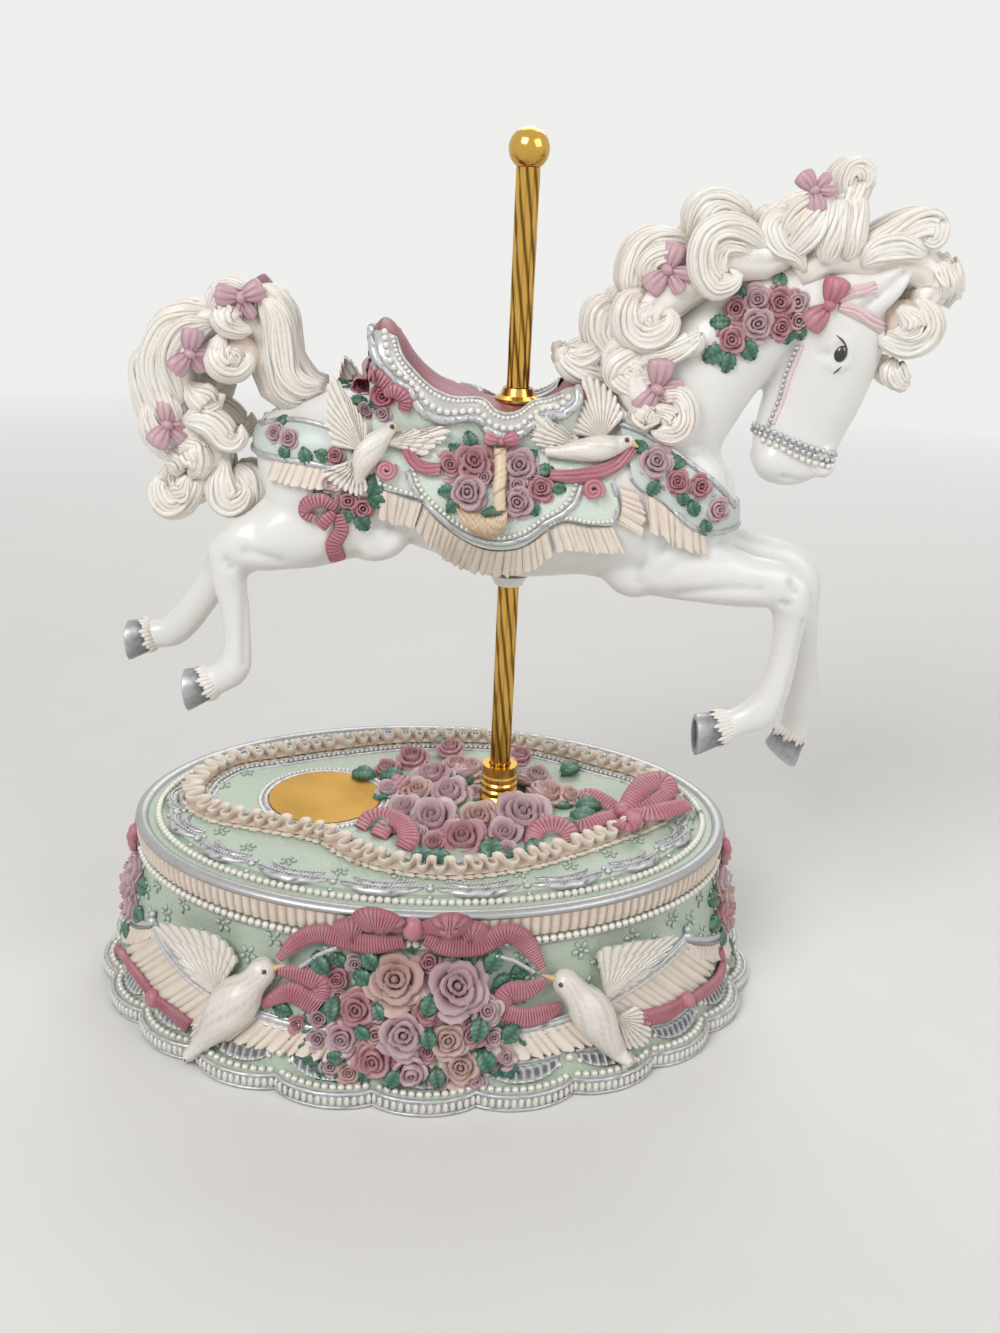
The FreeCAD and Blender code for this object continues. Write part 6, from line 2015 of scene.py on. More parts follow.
    tail_core: Rows = (
        (305, 388, -1, 5), (280, 376, -1, 4.6), (272, 325, -1, 4.6), (238, 303, -1, 6), (180, 315, -1, 6),
        (155, 360, -1, 6), (166, 420, -1, 6), (196, 452, -1, 6.5), (186, 492, -1, 5.5),
        (214, 490, -1, 5.5), (240, 492, -1, 5.5))
    # Peach pieces set in the hollows between strands, partly the hair's peach paint and partly painted shade:
    # across, down, y, half sizes
    hollows: Rows = (
        (726, 258, -8, 7, 3, 6), (662, 268, -5, 9, 4, 8), (650, 316, -8, 8, 3, 6),
        (660, 415, -12, 9, 3, 6), (238, 354, -5, 6, 3, 5), (905, 322, -4, 6, 4, 6),
        (812, 226, -5, 8, 4, 8), (885, 262, -5, 8, 4, 4), (235, 497, -3, 5, 3, 5))
    # Bows: across, down, degrees, loop length in mm
    mane_bows: Rows = ((668, 272, 62, 7.0), (656, 386, 70, 7.6))
    top_bow: Row = (814, 192, 118, 5.6)
    tail_bows: Rows = ((240, 296, 8, 6.4), (187, 352, 62, 6.4), (166, 426, 70, 6.6))

    def line(self, rows: Rows) -> tuple[np.ndarray, np.ndarray]:
        """Draws the middle line of a lock, tapered to its tip.

        Args:
            rows: across, down, y and half width along it.

        Returns:
            The points and the half width at each.
        """
        count = 8 + int(2.6 * len(rows))
        table = smooth_rows([(*VIEW.at_depth(u, v, y), half) for u, v, y, half in rows], count)
        ends = np.minimum(1.0, np.sqrt(np.linspace(0, 1, len(table))[::-1] * 9 + 0.04))
        half = table[:, 3] * ends * self.slim
        way = along(table[:, :3])
        inward = unit(np.cross(way, NEAR))
        bend = float(np.cross(way[:-1], way[1:])[:, 1].sum())
        return table[:, :3] + inward * (half * self.inset * np.clip(bend / 2.2, -1, 1))[:, None], half

    def lock(self, rows: Rows, first: int) -> Relief:
        """One lock: a flat ridged band with raised wisps along it.

        Args:
            rows: across, down, y and half width along it, from root to tip.
            first: number that varies the strands from lock to lock.

        Returns:
            The lock's mesh.
        """
        path, half = self.line(rows)
        side = unit(np.cross(along(path), NEAR))
        face = np.cross(side, along(path))
        gone = np.linspace(0, 1, len(path))
        wide = half * np.minimum(1.0, 0.5 + 4 * gone) * (1 + 0.05 * np.sin(9 * gone + first))
        twist = 0.05 + 0.03 * math.sin(first * 2.1)
        made = [tube(path, wide, wide * 0.7, NEAR, 4 * self.ridges, self.ridges, self.ridge_depth, twist)]
        for k, spread in enumerate(self.wisps):
            wander = spread + 0.2 * np.sin(5 * gone + first * 1.3 + 2.1 * k)
            lift = 0.66 * np.sqrt(1 - wander ** 2)
            spots = path + side * (wander * wide)[:, None] + face * (lift * wide)[:, None]
            size = wide * 0.19 * np.sin(np.linspace(0.3, math.pi - 0.15, len(path)))
            wisp = tube(spots, size, size, NEAR, 8)
            # The wisps are darkened along their flanks, where they lie on the lock, as painted shade.
            height = np.sin(np.linspace(0, 2 * math.pi, 8, endpoint=False))
            wisp.groove[:-2] = np.tile(0.9 * np.exp(-((height - 0.1) / 0.4) ** 2), len(path))
            made.append(wisp)
        return gathered(made)

    def mass(self, locks: Sequence[Rows], core: Rows) -> Relief:
        """Models a head of locks over a core.

        Args:
            locks: rows of each lock.
            core: rows of the core.

        Returns:
            The mesh of both sides.
        """
        parts = [self.lock(rows, k) for k, rows in enumerate(locks)]
        path, half = self.line(core)
        parts.append(tube(path, half, half * 1.1, NEAR, 30, 10, 0.12, 0.12))
        return gathered(parts).both_sides()

    @staticmethod
    def ties(carrier: Carrier, rows: Rows) -> Relief:
        """Ties bows into the hair.

        Args:
            carrier: the hair's surface.
            rows: across, down, degrees and loop length of each bow.

        Returns:
            The bows.
        """
        made = []
        for across, down, turn, size in rows:
            place, out = carrier.seen(across, down)
            out = unit(out * 0.3 - VIEW.ray(across, down) * 0.7)
            made.append(bow(size).moved(frame_at(place + out * 1.6, out, turn)))
        return gathered(made)

    def dress(self) -> None:
        """Makes the hair's pieces."""
        masses = []
        parts = (("mane", self.mane, self.mane_core), ("forelock", self.forelock, self.forelock_core),
                 ("tail", self.tail, self.tail_core))
        for name, locks, core in parts:
            whole = self.mass(locks, core)
            piece(f"{name}_curls", whole, HAIR, Body.HORSE, [name], 180.0)
            masses.append(whole)
        # Peach pieces in the hollows between strands: partly peach paint, partly painted shade.
        hollows = gathered([ellipsoid(VIEW.at_depth(*row[:3]), row[3:]) for row in self.hollows])
        piece("hair_hollows", hollows.both_sides(), HOLLOW, Body.HORSE, [], 180.0)
        head = Carrier(masses[:2])
        bows = self.ties(head, self.mane_bows).both_sides() + self.ties(head, [self.top_bow])
        piece("mane_bows", bows, PINK, Body.HORSE)
        bows = self.ties(Carrier(masses[2:]), self.tail_bows).both_sides()
        piece("tail_bows", bows, PINK, Body.HORSE)


def carried_round(carrier: Carrier, path: np.ndarray, outs: np.ndarray, ahead: float, count: int = 6) -> Line:
    """Carries a line on from its last point to the horse's middle plane.

    Args:
        carrier: the surface under it.
        path: its points so far.
        outs: outward directions there.
        ahead: 1 to go round the chest, -1 to go round the rump.
        count: points added.

    Returns:
        The longer line and its outward directions.
    """
    last = path[-1]
    spots, ways = list(path), list(outs)
    for y in np.linspace(last[1], 0, count + 1)[1:]:
        spot, normal, _, _ = carrier.tree.ray_cast(Vector((ahead * 150, y, last[2])), Vector((-ahead, 0, 0)))
        spots.append(np.array(spot) if spot is not None else np.array((last[0], y, last[2])))
        ways.append(np.array(normal) if spot is not None else outs[-1])
    return np.array(spots), unit(np.array(ways))


def panel(carrier: Carrier, top: Rows, foot: Rows, lift: float, columns: int = 60, rows: int = 8,
          puff: float = 0.0, ahead: float = 0.0) -> Relief:
    """A band of leather or cloth laid on a surface between two lines of pixels.

    Args:
        carrier: the surface under it.
        top: across, down pixels of its upper edge.
        foot: across, down pixels of its lower edge.
        lift: its thickness in millimetres.
        columns: points along it.
        rows: points across it.
        puff: extra height along its middle.
        ahead: 1 or -1 to carry its last end round the chest or the rump to the middle plane.

    Returns:
        The band, with its edges turned down into the surface.
    """
    upper = smooth_rows([(p[0], p[1], 0.0) for p in top], columns)
    lower = smooth_rows([(p[0], p[1], 0.0) for p in foot], columns)
    made, groove = [], []
    for s in [-0.001] + list(np.linspace(0, 1, rows)) + [1.001]:
        under = s < 0 or s > 1
        share = min(1.0, max(0.0, s))
        path, outs = split([carrier.seen(*(a[:2] + (b[:2] - a[:2]) * share)) for a, b in zip(upper, lower)])
        if ahead:
            path, outs = carried_round(carrier, path, outs, ahead)
        made.append(path + outs * (-1.2 if under else lift + puff * math.sin(math.pi * share)))
        # groove: the edges turned down into the surface are darkened as painted shade
        groove.append(np.full(len(path), 0.9 if under else 0.0))
    points = np.array(made)
    for _ in range(2):
        points[1:-1, 1:-1] = (points[1:-1, 1:-1] * 2 + points[1:-1, :-2] + points[1:-1, 2:]) / 4
    return lattice(points, np.array(groove)).faced(-VIEW.ray(*top[0][:2]))


@dataclass(frozen=True)
class Tack:
    """Saddle, cloth, straps and bridle with their pearls, frills, roses, doves and ribbons."""
    # Saddle: x, seat height, edge height over the belly collar, half width at the edge
    saddle: Rows = (
        (-39.5, 58, 52, 11), (-38.8, 66, 60.5, 13), (-37, 69.2, 59.5, 14.5), (-34.5, 69, 57, 15.5),
        (-31, 65, 54.5, 16.2), (-28, 60.5, 51, 16.6), (-24.5, 57, 47.2, 16.8), (-20, 54, 46, 17),
        (-13, 51.5, 46, 17), (-8.5, 50, 44, 17), (-4.5, 49.2, 42.3, 17), (0.5, 49, 42.7, 17),
        (4, 49.2, 45.2, 17), (7.5, 50, 47, 16.8), (11, 52, 48, 16), (14, 55.5, 51, 15),
        (16.5, 56.8, 52.5, 13.5), (18.5, 54, 50, 12))
    saddle_curve: float = 2.0
    skirt_foot: float = 34.0
    # Lines by the photograph: across, down
    seat_pearls: Rows = (
        (392, 338), (398, 358), (411, 375), (425, 388), (438, 397), (455, 402), (475, 402), (484, 406),
        (493, 415), (506, 419), (521, 415), (533, 406), (550, 402), (563, 397))
    field_pearls: Rows = (
        (384, 333), (387, 352), (394, 368), (408, 380), (419, 392), (428, 404), (445, 412), (466, 412),
        (479, 413), (488, 422), (501, 428), (516, 428), (529, 420), (541, 411), (558, 408), (569, 398))
    saddle_edge: Rows = (
        (371, 330), (373, 350), (381, 367), (395, 381), (409, 390), (416, 404), (426, 414), (445, 420),
        (466, 419), (478, 419), (486, 429), (501, 436), (519, 435), (534, 424), (548, 416), (564, 415),
        (578, 403), (578, 388))
    seat_line: Rows = (
        (396, 338), (403, 357), (415, 372), (428, 385), (441, 393), (456, 398), (476, 398), (486, 401),
        (495, 410), (507, 414), (520, 411), (532, 402), (549, 398), (561, 393))
    cloth_middle: Row = (492, 438)
    cloth_edge: Rows = (
        (372, 395), (372, 425), (374, 455), (379, 484), (400, 492), (422, 497), (438, 516), (456, 531),
        (478, 543), (500, 547), (524, 543), (546, 527), (562, 517), (584, 521), (603, 524), (615, 521),
        (617, 505), (612, 480), (603, 450), (592, 425), (580, 402), (560, 385), (520, 378), (470, 378),
        (420, 372), (390, 372))
    shield: Rows = (
        (407, 470), (413, 488), (428, 506), (448, 524), (472, 538), (500, 544), (526, 538), (547, 523),
        (562, 515), (575, 503), (582, 486))
    hem_left: Sequence[Rows] = (((380, 489), (400, 496), (422, 503)), ((378, 514), (398, 520), (416, 524)))
    hem_middle: Sequence[Rows] = (
        ((424, 506), (440, 523), (460, 538), (480, 548), (500, 551), (524, 547), (548, 531)),
        ((416, 524), (432, 542), (452, 558), (476, 568), (502, 571), (530, 566), (554, 550)))
    hem_right: Sequence[Rows] = (
        ((550, 530), (566, 524), (590, 528), (612, 527)),
        ((556, 549), (572, 546), (594, 549), (622, 549)))
    hem_end: Sequence[Rows] = (((617, 522), (622, 505), (619, 485)), ((640, 535), (642, 512), (634, 490)))
    chest: Sequence[Rows] = (
        ((620, 424), (642, 432), (668, 448), (696, 468), (720, 488), (734, 506)),
        ((632, 478), (642, 489), (660, 499), (678, 515), (694, 528), (716, 533)))
    chest_frill: Sequence[Rows] = (
        ((644, 492), (660, 502), (678, 518), (704, 535)),
        ((648, 528), (666, 536), (684, 547), (704, 553)))
    rump: Sequence[Rows] = (
        ((352, 438), (330, 428), (304, 421), (280, 420), (264, 424)),
        ((352, 474), (328, 467), (304, 462), (282, 459), (270, 456)))
    rump_frill: Sequence[Rows] = (((346, 474), (300, 464), (273, 459)), ((340, 489), (298, 485), (268, 477)))
    cloth_roses: Sequence[RoseSpot] = (
        RoseSpot(450, 466, 14, ROSE), RoseSpot(473, 463, 20, ROSE), RoseSpot(467, 492, 19, LILAC),
        RoseSpot(519, 467, 19, LILAC), RoseSpot(541, 488, 14, ROSE), RoseSpot(517, 502, 17, LILAC),
        RoseSpot(517, 486, 11, LILAC), RoseSpot(484, 478, 10, LILAC), RoseSpot(535, 472, 8, LILAC))
    cloth_leaves: Rows = (
        (470, 440, 20, 5), (456, 449, 45, 4.5), (447, 491, 100, 5), (453, 506, 140, 5), (491, 511, 175, 6),
        (533, 508, 210, 5), (531, 455, -30, 4.5), (545, 470, -80, 5), (558, 488, -100, 4.5))
    chest_roses: Sequence[RoseSpot] = (
        RoseSpot(655, 462, 17, LILAC), RoseSpot(676, 482, 13, ROSE), RoseSpot(700, 487, 12, ROSE),
        RoseSpot(717, 509, 13, LILAC))
    chest_leaves: Rows = (
        (641, 447, 40, 5), (654, 488, 150, 5), (679, 462, -40, 5), (683, 498, 190, 4.5),
        (694, 508, 200, 5), (706, 528, 200, 5))
    rump_roses: Sequence[RoseSpot] = (
        RoseSpot(276, 434, 10, LILAC), RoseSpot(290, 439, 10, LILAC), RoseSpot(335, 456, 9, ROSE))
    rump_leaves: Rows = ((282, 420, 20, 4.5), (284, 452, 170, 4.5), (305, 456, 200, 5), (322, 455, 250, 4.5))
    flank_roses: Sequence[RoseSpot] = (
        RoseSpot(331, 482, 11, LILAC), RoseSpot(348, 500, 11, ROSE), RoseSpot(362, 508, 11, ROSE),
        RoseSpot(334, 505, 8, LILAC))
    flank_leaves: Rows = (
        (322, 495, 80, 5), (375, 485, -20, 7), (378, 501, -120, 6), (345, 516, 170, 5.5),
        (362, 522, 215, 6))
    # Ribbons of the flank sprig and the cantle: across, down, width in pixels, stand in mm
    flank_ribbons: Sequence[Rows] = (
        ((336, 508, 9, 2), (322, 501, 15, 3), (308, 504, 15, 2.6), (304, 513, 12, 2), (314, 519, 10, 1.4)),
        ((334, 512, 9, 2), (326, 520, 13, 2.2), (320, 527, 13, 1.4)),
        ((338, 514, 12, 1.4), (341, 530, 16, 1.0), (334, 545, 17, 1.0), (338, 560, 18, 0.8)),
        ((384, 393, 10, 2), (396, 392, 15, 3), (405, 400, 15, 2.4), (404, 411, 12, 1.2)),
        ((362, 372, 12, 2), (378, 378, 16, 3.2), (392, 388, 12, 2)))
    cantle_roses: Sequence[RoseSpot] = (
        RoseSpot(357, 366, 11, LILAC), RoseSpot(366, 412, 9, LILAC), RoseSpot(383, 413, 9, LILAC),
        RoseSpot(364, 382, 12, RIBBON), RoseSpot(384, 396, 12, RIBBON))
    cantle_leaves: Rows = ((358, 400, 90, 5), (376, 402, -60, 5), (346, 377, 60, 4.5))
    brow_roses: Sequence[RoseSpot] = (
        RoseSpot(757, 301, 15, LILAC), RoseSpot(779, 303, 16, ROSE), RoseSpot(797, 302, 12, LILAC),
        RoseSpot(736, 310, 12, ROSE), RoseSpot(757, 324, 17, LILAC), RoseSpot(780, 326, 14, ROSE),
        RoseSpot(731, 340, 15, ROSE), RoseSpot(799, 320, 11, LILAC))
    brow_leaves: Rows = (
        (740, 293, 50, 5), (780, 281, -10, 5), (720, 322, 95, 5.5), (715, 354, 120, 7), (728, 362, 170, 6),
        (749, 350, 215, 6.5), (788, 336, 190, 5), (799, 332, 200, 5))
    cheek_strap: Sequence[Rows] = (
        ((797, 346), (786, 372), (779, 398), (770, 422)),
        ((804, 346), (793, 374), (785, 400), (775, 424)))
    cheek_beads: Rows = ((797, 348), (786, 374), (779, 400), (769, 424))
    nose_beads: Sequence[Rows] = (
        ((756, 426), (774, 432), (796, 442), (815, 449), (834, 454)),
        ((757, 432), (776, 439), (797, 449), (815, 456), (832, 461)))
    nose_pearls: Rows = ((764, 440), (779, 447), (798, 457), (815, 463), (828, 467))
    swag_left: Rows = ((402, 434, 9), (408, 452, 11), (420, 466, 13), (440, 470, 13))
    swag_right: Rows = ((550, 474, 11), (570, 476, 13), (598, 472, 15), (620, 462, 14), (634, 448, 9))
    cloth_end: Rows = ((615, 522), (618, 505), (613, 482))
    # The shield's pearls: middle and factors on its outline
    shield_middle: Row = (495, 460)
    shield_inset: Row = (0.93, 0.92)
    hem_rise: int = 6
    basket: Sequence[Rows] = (((455, 506), (482, 512), (508, 506)), ((474, 532), (490, 537), (504, 532)))
    basket_handle: Rows = ((500, 448), (501, 470), (499, 490), (500, 510))
    basket_bow: Row = (501, 441)
    brow_knot: Row = (829, 306)
    # Ribbons of the bridle: across, down, width in pixels
    brow_bands: Sequence[Rows] = (
        ((838, 298, 10), (856, 291, 12), (876, 287, 12)),
        ((840, 306, 10), (862, 314, 14), (888, 330, 14)))
    swag_curls: Rows = ((386, 470, 9, 1), (593, 490, 10, -1))
    hind_dove: Plumage = Plumage(
        ((391, 428, 6.5), (382, 437, 9.5), (371, 449, 14), (363, 462, 12), (360, 473, 7.5),
         (358, 483, 3.5)),
        (((364, 452, 3.0), ((368, 428, 3), (352, 402, 4), (334, 378, 4.5), (326, 396, 4), (326, 424, 3),
                            (334, 448, 2)), 14),
         ((384, 446, 1.5), ((414, 430, 2), (440, 424, 2.2), (450, 430, 2), (436, 448, 1.6),
                            (424, 458, 1.2)), 9),
         ((361, 458, 2.4), ((322, 467, 1.6), (329, 479, 1.8), (343, 488, 2), (357, 493, 2),
                            (369, 487, 1.8)), 10)),
        (402, 431), (392, 427), 4.0, 1)
    front_dove: Plumage = Plumage(
        ((628, 441, 6.5), (617, 445, 9.5), (600, 448, 13), (582, 450, 11), (562, 452, 7), (545, 452, 4)),
        (((602, 444, 3.0), ((624, 420, 3), (612, 396, 4), (588, 382, 4.5), (576, 398, 4), (570, 420, 3),
                            (572, 436, 2)), 14),
         ((580, 447, 1.5), ((560, 424, 2), (542, 418, 2.2), (530, 428, 2), (532, 440, 1.6),
                            (544, 450, 1.2)), 9)),
        (638, 447), (627, 440), 4.0, 1)

    def saddle_shape(self) -> tuple[Relief, Relief]:
        """Models the arched seat between cantle and pommel, and the skirt under its edge.

        Returns:
            The seat and the skirt.
        """
        stations = [(x, 0.0, BELLY + seat, BELLY + edge, half) for x, seat, edge, half in self.saddle]
        table = smooth_rows(stations, 60)
        share = np.linspace(-1, 1, 45)
        rise = np.clip(1 - np.abs(share) ** self.saddle_curve, 0, 1) ** (1 / self.saddle_curve)
        rows, skirt = [], []
        foot = BELLY + self.skirt_foot
        for x, _, seat, edge, half in table:
            row = [(x, half * y, edge + (seat - edge) * z) for y, z in zip(share, rise)]
            rows.append([(x, -half * 0.8, edge - 1.2)] + row + [(x, half * 0.8, edge - 1.2)])
            skirt.append([(x, -half * 0.8, foot), (x, -half * 0.97, (edge + foot) / 2),
                          (x, -half * 0.97, edge - 0.2), (x, half * 0.97, edge - 0.2),
                          (x, half * 0.97, (edge + foot) / 2), (x, half * 0.8, foot)])
        points = np.array(rows)
        shape = lattice(points[:, ::-1], np.zeros(points.shape[:2]), True, True)
        # The seat's hollows are darkened as painted shade.
        shape.groove = creases(shape, 1.5) * 0.5
        points = np.array(skirt)
        return shape, lattice(points[:, ::-1], np.zeros(points.shape[:2]), True, True)

    def cloth_shape(self, carrier: Carrier) -> Relief:
        """Lays the saddle cloth in rings of points from its middle to its edge.

        Args:
            carrier: the horse's surface.

        Returns:
            The cloth of the near side.
        """
        edge = smooth_rows([(u, v, 0.0) for u, v in self.cloth_edge + self.cloth_edge[:1]], 141)[:-1]
        middle = np.array((*self.cloth_middle, 0.0))
        rows = []
        for s in list(np.linspace(0.12, 1, 15)) + [1.002]:
            ring = []
            for spot in middle + (edge - middle) * min(s, 1.0):
                place, out = carrier.seen(spot[0], spot[1])
                ring.append(place + out * (1.3 if s <= 1 else -1.2))
            rows.append(ring)
        points = np.array(rows)
        for _ in range(3):
            inner = points[1:-2]
            points[1:-2] = (inner * 2 + np.roll(inner, 1, axis=1) + np.roll(inner, -1, axis=1)) / 4
        groove = np.zeros(points.shape[:2])
        # The edge tucked into the horse is darkened as painted shade.
        groove[-1] = 1.0
        return lattice(points[::-1], groove[::-1], True, True)

    @staticmethod
    def cord(carrier: Carrier, pixels: Rows, radius: float) -> Relief:
        """A silver cord along a line of pixels."""
        return braid(*carrier.traced(pixels, 12 * len(pixels), radius * 0.4), radius)

    @staticmethod
    def frill(carrier: Carrier, lines: tuple[Rows, Rows], pleats: int, swell: float = 1.6) -> Relief:
        """A pleated frill between two lines of pixels."""
        return ruffle(*(carrier.traced(line, 40, 0.9) for line in lines), pleats, swell)

    @staticmethod
    def plain_ribbon(carrier: Carrier, rows: Rows, lift: float) -> Relief:
        """A plain ribbon along across, down and width rows of pixels."""
        return streamer(carrier, rows, 24, lift, 0.0, 1.3)

    @staticmethod
    def curl(carrier: Carrier, across: float, down: float, radius: float, turn: float) -> Relief:
        """Models a ribbon's rolled end, a spiral seen from its side.

        Args:
            carrier: the surface under it.
            across: its middle's pixel across.
            down: its middle's pixel down.
            radius: its radius in pixels.
            turn: 1 or -1 for the way that it winds.

        Returns:
            The curl.
        """
        angle = np.linspace(0, 4.2 * math.pi, 46)
        grow = radius * (0.18 + 0.82 * angle / angle[-1])
        place, out = carrier.seen(across, down, 1.0)
        matrix = frame_at(place, out)
        flat = np.stack([grow * np.cos(angle * turn), grow * np.sin(angle * turn), np.zeros(46)], axis=1)
        path = flat / PX_PER_MM @ matrix[:3, :3].T + place
        size = np.full(46, 0.85)
        return tube(path, size * 0.9, size * 2.0, out, 10)

    def dress_saddle(self, skin: Carrier) -> Carrier:
        """Makes the saddle, its cloth, edges and frills.

        Args:
            skin: the horse's surface.

        Returns:
            The horse with its saddle and cloth on.
        """
        saddle, skirt = self.saddle_shape()
        cloth = self.cloth_shape(skin)
        piece("saddle_cloth_mint", cloth.both_sides() + skirt, MINT, Body.HORSE, ["saddle_cloth"])
        piece("saddle_seat", saddle, SEAT, Body.HORSE, ["saddle"])
        dressed = skin.with_more(cloth, saddle, skirt)
        border = panel(dressed, self.seat_line, self.saddle_edge, 0.5, 90, 7, 0.5)
        piece("saddle_border", border.both_sides(), SILVER, Body.HORSE)
        dressed = dressed.with_more(border)
        cords = [self.cord(dressed, line, size) for line, size in (
            (self.saddle_edge, 1.3), (self.seat_line, 0.5), (self.shield, 0.85), (self.hem_left[0], 0.6),
            (self.hem_right[0], 0.6), (self.cloth_end, 0.6))]
        piece("saddle_cords", gathered(cords).both_sides(), SILVER, Body.HORSE)
        pearls = [beaded(*dressed.traced(line, 12 * len(line)), size) for line, size in (
            (self.seat_pearls, 0.62), (self.field_pearls, 0.95))]
        inner = [[(p - m) * s + m for p, m, s in zip(spot, self.shield_middle, self.shield_inset)]
                 for spot in self.shield]
        pearls.append(beaded(*dressed.traced(inner, 80), 0.7))
        for lines, size in ((self.hem_left, 0.7), (self.hem_right, 0.6)):
            pearls.append(beaded(*dressed.traced([(u, v - self.hem_rise) for u, v in lines[0]], 30), size))
        piece("saddle_pearls", gathered(pearls).both_sides(), PEARL, Body.HORSE)
        frills = [self.frill(dressed, lines, pleats) for lines, pleats in (
            (self.hem_left, 6), (self.hem_middle, 22), (self.hem_right, 11), (self.hem_end, 6))]
        piece("cloth_frill", gathered(frills).both_sides(), RUFFLE, Body.HORSE, ["saddle_cloth"])
        return dressed

    def dress_straps(self, skin: Carrier) -> Carrier:
        """Makes the chest and rump straps with their cords and frills.

        Args:
            skin: the horse's surface, with its saddle.

        Returns:
            The surface with the straps on.
        """
        chest = panel(skin, *self.chest, 1.0, 50, 8, 0.5, 1.0)
        rump = panel(skin, *self.rump, 1.0, 40, 8, 0.5, -1.0)
        piece("chest_strap_green", chest.both_sides(), STRAP_GREEN, Body.HORSE, ["chest_strap"])
        piece("rump_strap_green", rump.both_sides(), STRAP_GREEN, Body.HORSE, ["rump_strap"])
        dressed = skin.with_more(chest, rump)
        cords = []
        for lines, ahead in ((self.chest, 1.0), (self.rump, -1.0)):
            for line in lines:
                path, outs = carried_round(dressed, *dressed.traced(line, 60), ahead)
                cords.append(braid(path + outs * 0.3, outs, 0.8))
        piece("strap_cords", gathered(cords).both_sides(), SILVER, Body.HORSE)
        frills = [self.frill(skin, self.chest_frill, 7, 2.0), self.frill(skin, self.rump_frill, 9, 1.6)]
        piece("strap_frills", gathered(frills).both_sides(), RUFFLE, Body.HORSE)
        return dressed

    def dress_flowers(self, carrier: Carrier) -> None:
        """Sets the roses, ribbons, doves and basket on the tack.

        Args:
            carrier: the horse's surface, with its tack.
        """
        basket = panel(carrier, *self.basket, 1.2, 30, 10, 2.4)
        weave = np.sin(basket.points * 4.0)
        basket.groove = np.clip(0.5 + 0.5 * weave[:, 0] * weave[:, 2], 0, 1)
        path, outs = carrier.traced(self.basket_handle, 60, 2.0)
        size = np.full(60, 1.7)
        handle = tube(path, size, size * 0.8, outs, 24, 3, 0.34, 3.2)
        piece("rose_basket", (basket + handle).both_sides(), WICKER, Body.HORSE)
        full = carrier.with_more(basket)
        posy = Posy(full).seen(self.cloth_roses, self.cloth_leaves)
        posy.seen(self.chest_roses, self.chest_leaves).seen(self.rump_roses, self.rump_leaves)
        posy.seen(self.flank_roses, self.flank_leaves).seen(self.cantle_roses, self.cantle_leaves)
        posy.seen(self.brow_roses, self.brow_leaves)
        posy.dress("horse_roses", Body.HORSE)
        ribbons = [self.plain_ribbon(carrier, rows, 1.8) for rows in (self.swag_left, self.swag_right)]
        ribbons += [self.curl(carrier, *row) for row in self.swag_curls]
        place, out = carrier.seen(*self.basket_bow, 1.4)
        ribbons.append(bow(4.6, 24.0, False).moved(frame_at(place, out)))
        ribbons += [looped(carrier, rows, 1.0, 0.9, 1.1) for rows in self.flank_ribbons]
        piece("tack_ribbons", gathered(ribbons).both_sides(), RIBBON, Body.HORSE)
        dress_doves("tack", (self.hind_dove, self.front_dove), carrier, Body.HORSE)

    def dress_bridle(self, skin: Carrier) -> None:
        """Makes the bridle: cheek strap, beads, nose pearls, brow bow and ribbons.

        Args:
            skin: the horse's surface.
        """
        strap = panel(skin, *self.cheek_strap, 0.5, 24, 4, 0.2)
        place, out = skin.seen(*self.brow_knot)
        out = unit(out * 0.5 - VIEW.ray(*self.brow_knot) * 0.5)
        knot = bow(7.4, 24.0, False).moved(frame_at(place, out, 62))
        piece("brow_bow", knot.both_sides(), RIBBON, Body.HORSE)
        bands = [self.plain_ribbon(skin, rows, 0.6) for rows in self.brow_bands]
        piece("bridle_ribbons", gathered([strap] + bands).both_sides(), PALE_PINK, Body.HORSE)
        dressed = skin.with_more(strap)
        beads = [beaded(*dressed.traced(self.cheek_beads, 40), 0.72)]
        beads += [beaded(*dressed.traced(line, 40), 0.85) for line in self.nose_beads]
        piece("bridle_beads", gathered(beads).both_sides(), SILVER, Body.HORSE)
        pearls = beaded(*dressed.traced(self.nose_pearls, 40), 0.9)
        piece("nose_pearls", pearls.both_sides(), PEARL, Body.HORSE)

    def dress(self, skin: Carrier) -> None:
        """Makes all the tack on the horse's surface."""
        dressed = self.dress_straps(self.dress_saddle(skin))
        self.dress_bridle(skin)
        self.dress_flowers(dressed)


